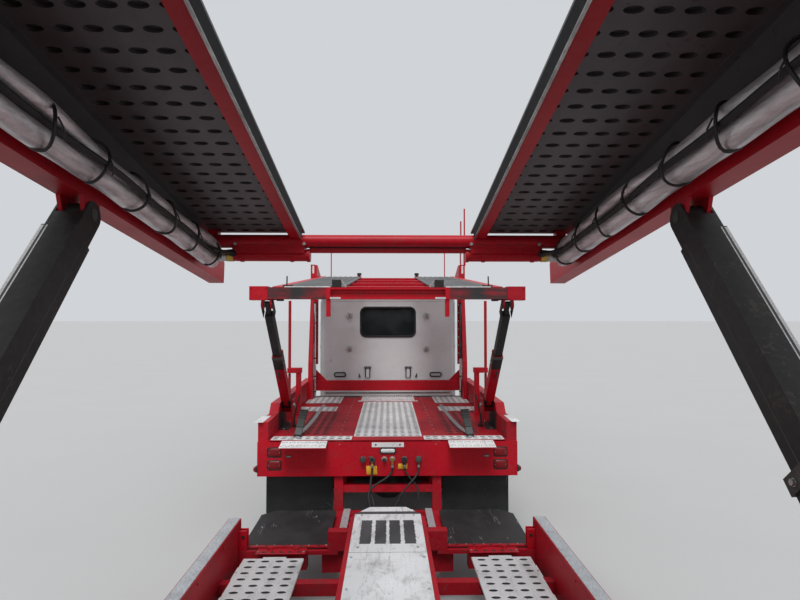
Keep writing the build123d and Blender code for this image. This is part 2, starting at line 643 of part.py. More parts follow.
def hood():
    """The tilting hood: bonnet and fenders in one skin, open below and behind, with its hinge ears."""
    skin = fused([bonnet_form(0), *both(fender_form(0))])
    skin -= fused([bonnet_form(hood_skin), *both(fender_form(hood_skin))])
    arch = pin_across((steer_y, steer_tyre_r), arch_r, 620, hood_half + 20)
    skin -= fused(both(arch))
    grille_gap = block((-430, 430), (hood_front_y - 40, hood_front_y + 10), (800, 1080))
    skin -= grille_gap
    ears = both(block((448, 472), (hood_front_y - hood_skin, hood_hinge_y + 22), (hood_hinge_z - 22, 800)))
    ears = [ear - pin_across((hood_hinge_y, hood_hinge_z), 12 + pin_gap, -500, 500) for ear in ears]
    save("hood_shell", fused([skin, *ears]))
    frame = block((seat - 430, 430 - seat), (hood_front_y - hood_skin, hood_front_y + 6), (800 + seat, 1080 - seat))
    frame -= block((-400, 400), (hood_front_y - 60, hood_front_y + 20), (830, 1050))
    bars = [block((-400, 400), (hood_front_y - 10, hood_front_y + 2), (z, z + 14)) for z in range(848, 1040, 36)]
    uprights = [block((x - 6, x + 6), (hood_front_y - hood_skin, hood_front_y - 4), (830, 1050)) for x in (-200, 0, 200)]
    save("grille_and_lamps", fused([frame, *bars, *uprights]), *lamp_shapes())


def lamp_shapes():
    """A lamp in each fender's front, with a bezel and a bowed lens."""
    x_low, x_high = 600, 840
    body = block((x_low, x_high), (hood_front_y + seat, hood_front_y + 22), (865, 1010))
    body = fillet(body.edges().filter_by(Axis.Y), 30)
    lens = block((x_low + 25, x_high - 25), (hood_front_y + 22, hood_front_y + 34), (885, 990))
    return both(body + fillet(lens.edges().filter_by(Axis.Y), 20))


def tanks():
    """A round fuel tank each side with its straps, and the steps below each door."""
    reach = 820
    radius = 290
    y_low, y_high = 6350, 7650
    shapes = []
    tank = rod((reach, y_low, 655), (reach, y_high, 655), radius)
    tank = fillet(tank.edges(), 40)
    pieces = [tank]
    for y in (6600, 7400):
        strap = rod((reach, y - 30, 655), (reach, y + 30, 655), radius + 8, radius - 5)
        pieces += [strap, block((rail_outer_x, 560), (y - 30, y + 30), (600, 730))]
    shapes += both(fused(pieces))
    treads = [(760, 960), (760, 380), (1150, 380), (1150, 420), (1120, 420), (1120, 640), (1060, 640),
              (1060, 940), (1040, 960)]
    box = fused([along(treads, 7850, 9130), block((rail_outer_x, 760), (7950, 8050), (700, 800)),
                 block((rail_outer_x, 760), (8950, 9050), (700, 800)),
                 block((1060, 1150), (7850, 9130), (625, 640))])
    shapes += both(box)
    save("fuel_tanks", *shapes)


def loading_deck():
    """The tractor's floor, side walls with raised fronts, post troughs and the bridge strip."""
    inner = half_width - wall_width
    floor = [block((-inner, inner), (deck_rear_y, deck_front_y), (deck_z - plate, deck_z))]
    for x_low, x_high in ((330, 345), (1000, 1015)):
        floor += both(block((x_low, x_high), (deck_rear_y, deck_front_y), (deck_z - 60, deck_z - plate)))
    outline = [(deck_rear_y, panel_low_z), (deck_rear_y, wall_rear_z), (2950, wall_rear_z), (3060, wall_top_z),
               (deck_front_y, wall_top_z), (deck_front_y, 1000), (2700, 1000), (2540, panel_low_z)]
    wall = across(outline, inner, half_width)
    hollow = [(deck_rear_y + sheet, panel_low_z + sheet), (deck_rear_y + sheet, wall_rear_z - sheet),
              (2953, wall_rear_z - sheet), (3063, wall_top_z - sheet), (deck_front_y - sheet, wall_top_z - sheet),
              (deck_front_y - sheet, 1000 + sheet), (2697, 1000 + sheet), (2537, panel_low_z + sheet)]
    wall -= across(hollow, inner + sheet, half_width - sheet)
    ear = across([(post_foot[0] - 110, deck_z), (post_foot[0] - 110, 1360), (post_foot[0] - 60, 1400),
                  (post_foot[0] + 110, 1400), (post_foot[0] + 110, deck_z)],
                 post_x - post_size / 2 - 20, post_x - post_size / 2 - 6)
    pin = pin_across(post_foot, post_pin_r, post_x - post_size / 2 - 20, inner + 3)
    bridge = block((-inner + 20, inner - 20), (panel_rear_y, 2545), (deck_z, deck_z + 6))
    flap = bar((deck_rear_y + 10, deck_z + 2), (deck_rear_y - 230, deck_z - 36), 8, 600, 1050)
    rod_x = half_width - wall_width / 2
    guard = rod((rod_x, 4000, wall_top_z - 5), (rod_x, 4000, 2540), 11)
    guard += rod((rod_x, 4000, wall_top_z - 5), (rod_x, 4000, wall_top_z + 240), 17)
    save("truck_deck", fused([*floor, bridge, *both(wall, ear, pin, flap, guard)]))


def rear_panel():
    """The red panel across the deck's rear, with lamp recesses and folded edges."""
    panel = block((-half_width, half_width), (panel_rear_y, deck_rear_y - sheet), (panel_low_z, deck_z - plate))
    panel -= block((sheet - half_width, half_width - sheet), (panel_rear_y + 8, deck_rear_y - sheet),
                   (panel_low_z + 8, deck_z - plate - 8))
    for z in lamp_levels:
        recess = block((lamp_x - lamp_half_width, lamp_x + lamp_half_width), (panel_rear_y - 5, panel_rear_y + 20),
                       (z - lamp_half_height, z + lamp_half_height))
        panel -= fused(both(fillet(recess.edges().filter_by(Axis.Y), 28)))
    backing = both(block((lamp_x - lamp_half_width - 7, lamp_x + lamp_half_width + 7),
                         (panel_rear_y + 8, panel_rear_y + 16),
                         (lamp_levels[0] - lamp_half_height - 6, lamp_levels[1] + lamp_half_height + 6)))
    closer = both(block((stinger_x - 45, stinger_x + 45), (panel_rear_y + 8, deck_rear_y), (760, 1070)))
    lap = both(block((half_width - 95, half_width), (deck_rear_y - sheet, deck_rear_y), (panel_low_z, 1088)))
    save("rear_panel", fused([panel, *backing, *closer, *lap]))


def panel_fittings():
    """Tail lamps in their recesses, side marker lamps, and the couplings of the lines."""
    shapes = []
    for z in lamp_levels:
        lamp = block((lamp_x - lamp_half_width + 5, lamp_x + lamp_half_width - 5), (panel_rear_y - 4, panel_rear_y + 8),
                     (z - lamp_half_height + 5, z + lamp_half_height - 5))
        shapes += both(fillet(lamp.edges().filter_by(Axis.Y), 24))
    shapes += both(fillet(block((half_width + seat, half_width + 40), (deck_rear_y - 25, deck_rear_y + 65), (790, 850))
                          .edges().filter_by(Axis.Y), 12))
    for x, radius, length, spigot in coupling_table:
        body = rod((x, panel_rear_y - seat - length, line_z), (x, panel_rear_y - seat, line_z), radius)
        body += rod((x, panel_rear_y - seat - 12, line_z), (x, panel_rear_y - seat, line_z), radius + 8)
        if spigot:
            body += rod((x, spigot_y, line_z - line_drop), (x, spigot_y, line_z), spigot)
        shapes.append(body)
    oval = Pos(0, panel_rear_y - seat - 7, 1000) * Box(150, 14, 60)
    shapes.append(fillet(oval.edges().filter_by(Axis.Y), 28))
    save("panel_fittings", *shapes)


def mud_flaps():
    """Rubber flaps hung behind the driven wheels, in their clamps."""
    low, top = 330, 700
    outer = half_width - 55
    flap = block((560, outer), (2560, 2568), (low, top))
    clamp = block((stinger_x + 45, outer), (2548, 2580), (top, top + 40))
    save("mud_flaps", fused([flap, clamp]), fused([flap, clamp]).mirror(Plane.YZ))


def towers():
    """The towers behind the cab with their braces, the hinge tube of the upper deck and guide rods."""
    x_low, x_high = tower_x - 45, tower_x + 45
    inner = half_width - wall_width
    post = block((x_low, x_high - 30), (tower_y - 60, tower_y + 60), (deck_z, tower_top_z))
    brace = across([(tower_y - 320, deck_z + 280), (tower_y - 300, deck_z + 560), (tower_y - 60, 2600),
                    (tower_y - 60, 2450), (tower_y - 150, deck_z + 280)], x_low, x_high - 30)
    foot = block((x_low, inner), (tower_y - 320, tower_y + 180), (deck_z, deck_z + 280))
    head = across([(tower_y - 60, tower_top_z - 420), (tower_y - 60, tower_top_z), (tower_y + 60, tower_top_z),
                   (upper_hinge[0] + 190, rack_top_z + 30), (upper_hinge[0] + 190, rack_low_z),
                   (upper_hinge[0] - 60, rack_low_z - 30), (tower_y + 60, tower_top_z - 470)],
                  deck_beam_out + 10, x_high - 30)
    tube = pin_across(upper_hinge, hinge_tube_r, -deck_beam_out - 10, deck_beam_out + 10)
    sleeve = rod((tower_x - 60, tower_y - 90, deck_z), (tower_x - 60, tower_y - 90, 2300), 16)
    lug = block((tower_x - 75, tower_x - 40), (tower_y - 106, tower_y - 60), (2230, 2270))
    cross_low, cross_top = deck_z + 110, deck_z + 265
    cross = block((-x_low, x_low), (tower_y - 40, tower_y + 40), (cross_low, cross_top))
    gusset = along([(x_low, cross_top), (x_low, cross_top + 190), (x_low - 190, cross_top)], tower_y - 8, tower_y + 8)
    save("towers", fused([tube, cross, *both(post, brace, foot, head, sleeve, lug, gusset), *guide_rods()]))


def guide_rods():
    """The thin rods that stand on the right tower."""
    rods = []
    for x, y, top in ((tower_x + 15, tower_y - 20, 4040), (tower_x - 35, tower_y + 30, 3850)):
        rods.append(rod((x, y, tower_top_z - 5), (x, y, top), 11))
        rods.append(rod((x, y, tower_top_z - 5), (x, y, tower_top_z + 330), 17))
    return rods


def head_rack():
    """The fixed rack over cab and hood: side beams, cross beams and the front legs."""
    y_rear = upper_hinge[0] + 100
    parts = both(block((deck_beam_in, deck_beam_out), (y_rear, rack_front_y), (rack_low_z, rack_top_z)))
    parts += both(block((deck_beam_out, deck_beam_out + 10 - seat), (y_rear + 10, y_rear + 90),
                        (rack_low_z + 10, rack_top_z - 10)))
    for y in (6250, 7400, 8600, 9800, 10800):
        parts.append(block((-deck_beam_in, deck_beam_in), (y - 40, y + 40), (rack_top_z - 92, rack_top_z - plate)))
    leg_low, leg_high = rack_leg_x
    y_leg = (rack_front_y, rack_front_y + 90)
    parts.append(block((-leg_high, leg_high), y_leg, (rack_low_z, rack_top_z)))
    parts += both(block(rack_leg_x, y_leg, (bumper_top_z + seat, rack_low_z)))
    gusset = across([(rack_front_y, rack_low_z), (rack_front_y - 350, rack_low_z), (rack_front_y, rack_low_z - 350)],
                    leg_low + 20, leg_high - 20)
    shelf = block((deck_beam_out, leg_high - 20), (rack_front_y - 380, rack_front_y), (rack_low_z, rack_low_z + 40))
    guard_x = (deck_beam_in + deck_beam_out) / 2
    guard = rod((guard_x, 7400, rack_top_z - 5), (guard_x, 7400, rack_top_z + 790), 9)
    parts += both(gusset, shelf, guard)
    save("head_rack", fused(parts))
    lane = block((420, deck_beam_in - seat), (y_rear + 60, rack_front_y - seat), (rack_top_z - plate, rack_top_z))
    save("head_runways", lane, lane.mirror(Plane.YZ))


def upper_deck():
    """The tractor's hinged upper deck: beams from the hinge tube to the rear cross-beam."""
    tail = (upper_rear_y + 50, 2550)
    span = hypot(tail[0] - upper_hinge[0], tail[1] - upper_hinge[1])
    half = upper_beam_depth / 2
    beam = bar(upper_hinge, tail, upper_beam_depth, deck_beam_in, deck_beam_out, 8)
    eye = pin_across(upper_hinge, 70, deck_beam_in, deck_beam_out)
    bore = pin_across(upper_hinge, hinge_tube_r + pin_gap, -deck_beam_out - 5, deck_beam_out + 5)
    parts = both(beam, eye)
    for distance in (420, 1500, 2600, 3600):
        middle = point_on(upper_hinge, tail, distance, -(half - 52))
        ahead = point_on(upper_hinge, tail, distance + 80, -(half - 52))
        parts.append(bar(middle, ahead, 80, -deck_beam_in, deck_beam_in))
    y_beam = (upper_rear_y, upper_rear_y + 100)
    groove = block((-540, 540), (upper_rear_y - 5, upper_rear_y + 40), (2515, 2585))
    parts.append(block((-half_width, half_width), y_beam, (2495, 2605)) - groove)
    parts += both(block((half_width - 170, half_width), (upper_rear_y - 10, upper_rear_y + 110), (2485, 2615)),
                  block((540, 580), (upper_rear_y + 10, upper_rear_y + 50), (2330, 2495)))
    for x_low, x_high in ((post_x - 50, post_x - 29), (post_x + 29, post_x + 50)):
        ear = across([(post_head[0] - 45, 2495), (post_head[0] - 45, post_head[1]), (post_head[0], post_head[1] - 45),
                      (post_head[0] + 30, post_head[1] - 30), (post_head[0] + 30, 2495)], x_low, x_high)
        parts += both(ear)
    save("truck_upper_frame", fused(parts) - bore)
    start = point_on(upper_hinge, tail, 130, -(half - plate / 2))
    end = point_on(upper_hinge, tail, span - 60, -(half - plate / 2))
    lane = bar(start, end, plate, 420, deck_beam_in - seat)
    save("truck_upper_runways", lane, lane.mirror(Plane.YZ))


def telescope(foot, head, x, size, rod_size, barrel_length, rod_length, pin_r):
    """A telescopic post on each side: a square barrel with its foot's bore, and its rod with an open eye."""
    low, high = x - size / 2, x + size / 2
    barrel = bar(foot, point_on(foot, head, barrel_length), size, low, high, 0, pin_r + 30, 0)
    span = hypot(head[0] - foot[0], head[1] - foot[1])
    well = bar(point_on(foot, head, pin_r + 60), point_on(foot, head, barrel_length + 10), rod_size + 2 * slide_gap,
               x - rod_size / 2 - slide_gap, x + rod_size / 2 + slide_gap)
    barrel = barrel - well - pin_across(foot, pin_r + pin_gap, low - 5, high + 5)
    shank = bar(point_on(foot, head, span - rod_length), point_on(foot, head, span - eye_neck), rod_size,
                x - rod_size / 2, x + rod_size / 2)
    eye_half = rod_size * 0.25
    neck = bar(point_on(foot, head, span - eye_neck - 5), head, rod_size * 0.6, x - eye_half, x + eye_half)
    ring = pin_across(head, rod_size * 0.35, x - eye_half, x + eye_half)
    hole = pin_across(head, rod_size * 0.18, x - eye_half - 5, x + eye_half + 5)
    return barrel, fused([shank, neck, ring]) - hole


def truck_posts():
    """The telescopic posts of the tractor's upper deck."""
    barrel, inner = telescope(post_foot, post_head, post_x, post_size, 80, post_barrel, post_rod, post_pin_r)
    save("truck_post_barrels", *both(barrel))
    save("truck_post_rods", *both(inner))


def lines():
    """The air and electric lines that hang behind the panel, as straight runs joined by arcs."""
    for name, (diameter_half, points) in line_routes.items():
        corners = [Vector(*point) for point in points]
        radii = []
        for before, here, after in zip(corners, corners[1:], corners[2:]):
            turn = radians((here - before).get_angle(after - here))
            shorter = min((here - before).length, (after - here).length)
            radii.append(0.45 * shorter / tan(turn / 2))
        path = FilletPolyline(*corners, radius=radii)
        tube = sweep(Plane(origin=path @ 0, z_dir=path % 0) * Circle(diameter_half), path=path)
        whole = path.length * 3.14159265 * diameter_half ** 2
        print(name, "length", round(path.length), "radii", [round(radius) for radius in radii],
              "volume ratio", round(tube.volume / whole, 4))
        save(name, tube)


def junction_block():
    """Where the lines end, on a cross plate of the stinger."""
    return block(junction_x, junction_y, (stinger_low_z + 90, junction_top))


def band(line, thickness):
    """The closed outline of a line of side view points and the same line lower by a thickness."""
    return [*line, *((y, z - thickness) for y, z in reversed(line))]


def trailer_chassis():
    """Side rails, front cross-beam, spine, kingpin and landing legs of the trailer."""
    inner = half_width - wall_width
    rails = across([*rail_profile_top, *rail_profile_low], inner, half_width)
    rail_inside = offset(Polygon(*rail_profile_top, *rail_profile_low, align=None), amount=-8,
                         kind=Kind.INTERSECTION)
    rails -= side_slab(rail_inside, inner + 8, half_width - 8)
    parts = both(rails)
    beam_y = (trailer_front_y - trailer_beam, trailer_front_y)
    parts += both(block((650, inner), beam_y, (300, lower_z)), block((400, 650), beam_y, (lower_z - 30, lower_z)),
                  block((spine_half, 480), beam_y, (lower_z, 600)))
    # Strips that clamp the mats, from the gusset to the rail
    parts += both(block((480, inner), (mat_rear_y, mat_rear_y + 40), (mat_top_z + seat, mat_top_z + 10)))
    side_bar = block((350, 410), (trailer_front_y - 20, trailer_front_y + 710), (lower_z + 70, lower_z + 82))
    parts += both(side_bar)
    spine = [(spine_front_y, trailer_rail_low), (spine_front_y, neck_top_z), (-5450, neck_top_z), (-6480, 938),
             (-9900, 938), (-11400, 748), (-11400, 640), (-9900, 740), (-6600, 740), (-5550, trailer_rail_low)]
    spine_inside = offset(Polygon(*spine, align=None), amount=-10, kind=Kind.INTERSECTION)
    parts.append(across(spine, -spine_half, spine_half) - side_slab(spine_inside, 10 - spine_half, spine_half - 10))
    half_nose = [(spine_half, spine_front_y), (spine_half, neck_front_y - 250), (175, neck_front_y - 45)]
    nose = [*half_nose, *((-x, y) for x, y in reversed(half_nose))]
    parts.append(upright(nose, coupling_z + seat, neck_top_z))
    parts.append(rod((0, pivot_y, stinger_top_z + 25), (0, pivot_y, coupling_z + 10), trailer_pin_r))
    for y in (700, -200, -1100, -2000, -2900, -3800, -4700, -5400):
        parts += both(block((spine_half, inner), (y - 40, y + 40), (trailer_rail_low + 20, lower_z - plate)))
    for y in (-6700, -8400, -9700):
        parts += both(block((spine_half, inner), (y - 40, y + 40), (tandem_deck_z - 70, tandem_deck_z - plate)))
    for y in (-10500, -11300):
        rise = 760 + (y + 11400) * 190 / 1500
        parts += both(block((spine_half, inner), (y - 40, y + 40), (rise - 75, rise - 18)))
        for x_low, x_high, foot_low, foot_high in ((982, 1000, 960, 982), (500, 518, 518, 540)):
            parts += both(block((x_low, x_high), (y - 60, y + 60), (530, rise - 60)),
                          block((foot_low, foot_high), (y - 60, y + 60), (530, 545 - seat)))
    leg = block((980, 1080), (560, 660), (110, lower_z - plate))
    foot = block((930, 1130), (510, 710), (90, 110))
    parts += both(leg, foot)
    save("trailer_frame", fused(parts))


def trailer_neck():
    """The neck's cover with its chamfered nose and grip strips, and the bars beside it."""
    half_cover = [(cover_half, -400), (cover_half, neck_front_y - 210), (160, neck_front_y - 20)]
    cover = upright([*half_cover, *((-x, y) for x, y in reversed(half_cover))], neck_top_z, neck_top_z + plate)
    grips = [block((x - 42, x + 42), (neck_front_y - 890, neck_front_y - 390), (neck_top_z + plate, neck_top_z + 16))
             for x in (-170, -55, 55, 170)]
    save("trailer_neck", fused([cover, *grips]))


def lower_deck():
    """The lower deck's floor plates, one each side, for the wheels to roll on."""
    floor = across(band([(lower_plate_front_y, lower_z), *floor_line[1:]], plate), *lower_plate_x)
    save("lower_deck", *both(floor))


def front_mats():
    """The two rubber mats ahead of the front cross-beam, cut away at their outer corners."""
    inner, outer = mat_x
    mat = upright([(inner, mat_rear_y), (outer, mat_rear_y), (outer, mat_front_y - 110), (outer - 130, mat_front_y),
                   (inner, mat_front_y)], mat_top_z - 10, mat_top_z)
    save("front_mats", *both(mat))


def trailer_posts():
    """The fixed posts that carry the hinges of the upper decks, and the feet of the struts."""
    front_y, front_z = front_deck_hinge
    rear_y, rear_z = rear_deck_hinge
    base = trailer_rail_top
    outline = [(rear_y - 220, base), (rear_y - 120, 2500), (rear_y - 140, rear_z - 60), (rear_y - 60, rear_z + 100),
               (rear_y + 80, rear_z + 100), (front_y - 60, front_z + 97), (front_y + 80, front_z + 97),
               (front_y + 140, front_z - 53), (front_y + 120, 2500), (front_y + 220, base)]
    plate_in = side_beam_out + 6
    post = across(outline, plate_in, half_width - 5)
    window = across([(rear_y - 60, 1000), (rear_y, 2400), (front_y, 2400), (front_y + 60, 1000)],
                    plate_in - 5, half_width)
    hinges = [pin_across(point, strut_pin_r, side_beam_in - 10, plate_in)
              for point in (front_deck_hinge, rear_deck_hinge)]
    feet = []
    ear_in = strut_x - strut_size / 2 - 18
    ear_out = strut_x + strut_size / 2 + 5
    for foot, floor_z, rail_z in ((front_strut_foot, lower_z, trailer_rail_top), (rear_strut_foot, tandem_deck_z, 1120)):
        y, z = foot
        for x_low, x_high, base in ((ear_in, ear_in + 13, floor_z), (ear_out, half_width, rail_z)):
            feet.append(across([(y - 130, base), (y - 50, z + 60), (y + 50, z + 60), (y + 130, base)], x_low, x_high))
        feet.append(pin_across(foot, strut_pin_r, ear_in, ear_out + 3))
    save("trailer_posts", fused([post - window, *hinges]), fused([post - window, *hinges]).mirror(Plane.YZ),
         *both(fused(feet[:3])), *both(fused(feet[3:])))


def trailer_axles():
    """The tandem axles, their hangers and springs."""
    shapes = []
    reach = twin_outer_x - twin_tyre_width - twin_gap / 2 + 60
    for y in tandem_y:
        tube = rod((-reach, y, trailer_tyre_r), (reach, y, trailer_tyre_r), hub_bore_r - pin_gap)
        thick = rod((-600, y, trailer_tyre_r), (600, y, trailer_tyre_r), 72)
        arms = both(block((440, 520), (y - 60, y + 480), (trailer_tyre_r + 40, trailer_tyre_r + 90)),
                    block((440, 520), (y + 400, y + 480), (trailer_tyre_r + 90, tandem_deck_z - 70 - seat)),
                    block((spine_half + seat, 440), (y + 400, y + 480), (760, 860)))
        shapes.append(fused([tube, thick, *arms]))
    save("trailer_axles", *shapes)


def trailer_rear():
    """The trailer's rear beam with its lamps' recesses, and the underride bar on its drop legs."""
    inner = half_width - wall_width
    beam = block((-half_width, half_width), (tail_y, tail_y + 50), (620, 900))
    for x in (1130, 950):
        recess = block((x - 70, x + 70), (tail_y - 5, tail_y + 18), (720, 820))
        beam -= fused(both(fillet(recess.edges().filter_by(Axis.Y), 35)))
    beam -= block((-spine_half, spine_half), (tail_y - 5, tail_y + 25), (700, 840))
    guard = block((-1150, 1150), (tail_y + 10, tail_y + 90), (400, 500))
    legs = both(block((1000, 1080), (tail_y + 10, tail_y + 50), (500, 620)))
    save("trailer_rear", fused([beam, guard, *legs]))
    lamps = []
    for x in (1130, 950):
        lamp = block((x - 64, x + 64), (tail_y + 3, tail_y + 18 - seat), (726, 814))
        lamps += both(fillet(lamp.edges().filter_by(Axis.Y), 34))
    save("trailer_lamps", *lamps)


def front_deck():
    """The trailer's front upper deck: sloping side beams, cross members, and stringers under its runways."""
    hinge = front_deck_hinge
    fall = tan(radians(front_deck_slope))
    nose = (front_deck_end_y, hinge[1] - (front_deck_end_y - hinge[0]) * fall)
    half = side_beam_depth / 2
    beam = bar(hinge, nose, side_beam_depth, side_beam_in, side_beam_out, 8)
    cut = across([(nose[0] - 60, nose[1] + half + 20), (nose[0] + 60, nose[1] + half + 20), (nose[0] + 60, nose[1] - 40)],
                 side_beam_in - 5, side_beam_out + 5)
    eye = pin_across(hinge, half, side_beam_in, side_beam_out)
    bore = pin_across(hinge, strut_pin_r + pin_gap, side_beam_in - 5, side_beam_out + 5)
    parts = both((beam - cut + eye) - bore)
    for y in (-2900, -3900):
        centre = hinge[1] - (y - hinge[0]) * fall
        parts.append(block((-side_beam_in, side_beam_in), (y - 40, y + 40), (centre - 60, centre + 20)))
        parts += runway_props(y, centre + 20)
    for y in (20, -45):
        parts.append(pin_across((y, 2775), 36, -side_beam_in, side_beam_in))
    parts += runway_props(-12, 2770)
    parts += both(pin_across((-12, 2690), 34, runway_in - 30, side_beam_in),
                  block((runway_in - 10, runway_in + 420), (-62, 38), (2700, 2745)))
    under = [(y, z - plate - seat) for y, z in runway_line]
    under[0] = (-95, runway_height(-95) - plate - seat)
    parts += both(across(band(under, 62), runway_in + 14, runway_in + 74))
    ears = []
    for x_low, x_high in ((strut_x - 50, strut_x - 34), (strut_x + 34, strut_x + 50)):
        y, z = front_strut_head
        under = hinge[1] - (y - hinge[0]) * fall - half
        ears += both(across([(y - 70, under + 7), (y - 35, z - 45), (y + 35, z - 45), (y + 70, under + 7)],
                            x_low, x_high))
    save("front_deck_frame", fused([*parts, *ears]))
    lane = across(band(runway_line, plate), runway_in, runway_out)
    edge = [(-95, runway_height(-95)), *runway_line[1:]]
    lip = across(band([(y, z - plate) for y, z in edge], 70), runway_in, runway_in + 10)
    beam_top = [(y, hinge[1] - (y - hinge[0]) * fall + half) for y in (runway_line[-1][0], edge[0][0])]
    rim = across([*((y, z - plate) for y, z in edge), *((y, z - 30) for y, z in beam_top)],
                 runway_out - 10, runway_out)
    save("front_deck_runways", *both(fused([lane, lip, rim])))


def runway_height(y):
    """The height of the front upper deck's runway at a place along it."""
    for (y_front, z_front), (y_rear, z_rear) in zip(runway_line, runway_line[1:]):
        if y >= y_rear:
            break
    return z_front + (y - y_front) * (z_rear - z_front) / (y_rear - y_front)


def runway_props(y, z_low):
    """Four short props from a cross-beam up to the sloping underside of the runways."""
    outline = [(y - 30, z_low), (y - 30, runway_height(y - 30) - plate - seat),
               (y + 30, runway_height(y + 30) - plate - seat), (y + 30, z_low)]
    return both(*[across(outline, x - 30, x + 30) for x in (560, 1050)])


def rear_deck():
    """The trailer's rear upper deck: level side beams, cross beams and runways."""
    hinge = rear_deck_hinge
    half = side_beam_depth / 2
    beam = bar((rear_deck_end_y, hinge[1]), hinge, side_beam_depth, side_beam_in, side_beam_out, 8)
    eye = pin_across(hinge, half, side_beam_in, side_beam_out)
    bore = pin_across(hinge, strut_pin_r + pin_gap, side_beam_in - 5, side_beam_out + 5)
    parts = both((beam + eye) - bore)
    for y in (-4800, -6200, -7600, -9000, -10400, rear_deck_end_y + 50):
        parts.append(block((-side_beam_in, side_beam_in), (y - 40, y + 40), (hinge[1] - 20, hinge[1] + half - plate)))
    for x_low, x_high in ((strut_x - 50, strut_x - 34), (strut_x + 34, strut_x + 50)):
        y, z = rear_strut_head
        parts += both(across([(y - 70, hinge[1] - half), (y - 35, z - 45), (y + 35, z - 45), (y + 70, hinge[1] - half)],
                             x_low, x_high))
    save("rear_deck_frame", fused(parts))
    top = hinge[1] + half
    lane = block((runway_in, side_beam_in - seat), (rear_deck_end_y, hinge[0] - 60), (top - plate, top))
    save("rear_deck_runways", *both(lane))


def struts():
    """The telescopic struts of the trailer's upper decks."""
    barrel, inner = telescope(front_strut_foot, front_strut_head, strut_x, strut_size, strut_rod_size,
                              front_strut_barrel, front_strut_rod, strut_pin_r)
    save("front_strut_barrels", *both(barrel))
    save("front_strut_rods", *both(inner))
    barrel, inner = telescope(rear_strut_foot, rear_strut_head, strut_x, strut_size, strut_rod_size,
                              rear_strut_barrel, rear_strut_rod, strut_pin_r)
    save("rear_strut_barrels", *both(barrel))
    save("rear_strut_rods", *both(inner))


def ramps():
    """The pair of ramps kept under the rear of the lower deck, joined by their end bar."""
    inner, outer, low, top, wall = 520, 980, 545, 605, 15
    channel = [(inner, low), (outer, low), (outer, top), (outer - wall, top), (outer - wall, low + wall),
               (inner + wall, low + wall), (inner + wall, top), (inner, top)]
    parts = both(along(channel, tail_y + 30, tail_y + 1700))
    parts.append(block((-outer, outer), (tail_y + 10, tail_y + 30), (low, top)))
    save("ramps", fused(parts))


chassis()
fifth_wheel()
engine()
axles()
front_wheels()
knuckles()
twin_wheels("drive_wheels_front", drive_axles_y[0], drive_tyre_r, 286)
twin_wheels("drive_wheels_rear", drive_axles_y[1], drive_tyre_r, 286)
bumper()
cab()
sleeper()
glass()
interior()
doors()
hood()
tanks()
loading_deck()
rear_panel()
panel_fittings()
mud_flaps()
towers()
head_rack()
upper_deck()
truck_posts()
lines()
trailer_chassis()
trailer_neck()
lower_deck()
front_mats()
trailer_posts()
trailer_axles()
twin_wheels("trailer_wheels_front", tandem_y[0], trailer_tyre_r, 225)
twin_wheels("trailer_wheels_rear", tandem_y[1], trailer_tyre_r, 225)
trailer_rear()
front_deck()
rear_deck()
struts()
ramps()
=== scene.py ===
"""Looks of the car transporter truck: surfaces, fittings, lines, camera and light around its CAD frame.

The file is laid out as a Blender add-on. Each operator makes one group of pieces, and main() runs them in
order. Lengths are metres, in the frame of the CAD: +Y forward, +X right, +Z up. What is the same on both
sides is made on the right and mirrored, and then comes what lies in the middle or on one side alone.
"""

import math

import bpy
import numpy as np
from bpy.props import FloatProperty, FloatVectorProperty, IntProperty, PointerProperty
from bpy.types import NodeSocket, Operator, Panel, PropertyGroup
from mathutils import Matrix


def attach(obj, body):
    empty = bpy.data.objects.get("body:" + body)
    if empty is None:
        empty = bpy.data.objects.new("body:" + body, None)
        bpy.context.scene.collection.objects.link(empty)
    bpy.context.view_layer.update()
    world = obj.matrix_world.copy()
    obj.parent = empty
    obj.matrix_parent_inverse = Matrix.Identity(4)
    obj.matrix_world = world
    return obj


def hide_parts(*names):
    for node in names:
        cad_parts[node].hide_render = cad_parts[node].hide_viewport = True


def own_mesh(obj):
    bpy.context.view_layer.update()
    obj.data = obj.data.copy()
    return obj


bl_info = {
    "name": "Car transporter looks",
    "version": (1, 0, 0),
    "blender": (4, 5, 0),
    "location": "View3D > Sidebar > Transporter",
    "description": "Dresses the frame of a car transporter with surfaces, fittings and light",
    "category": "Object",
}

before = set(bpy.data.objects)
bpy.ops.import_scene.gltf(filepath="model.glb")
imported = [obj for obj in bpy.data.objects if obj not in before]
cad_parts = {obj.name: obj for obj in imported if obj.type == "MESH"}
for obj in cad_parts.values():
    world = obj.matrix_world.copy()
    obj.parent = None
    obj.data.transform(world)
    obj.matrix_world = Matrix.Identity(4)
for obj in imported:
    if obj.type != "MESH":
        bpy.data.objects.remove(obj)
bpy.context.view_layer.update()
MATERIALS = {}

SIDES = (-1, 1)
HANDS = ((-1, "left"), (1, "right"))
CORNERS = ((1, 1), (-1, 1), (-1, -1), (1, -1))
ACROSS, AHEAD, UP = (1.0, 0.0, 0.0), (0.0, 1.0, 0.0), (0.0, 0.0, 1.0)
INWARD, BACK, DOWN = (-1.0, 0.0, 0.0), (0.0, -1.0, 0.0), (0.0, 0.0, -1.0)


def end_of(node, axis, way):
    """Where a piece of the frame ends along axis 0, 1 or 2, forwards or back, to 0.1 mm."""
    places = [corner[axis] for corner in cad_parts[node].bound_box]
    return round(max(places) if way > 0 else min(places), 4)


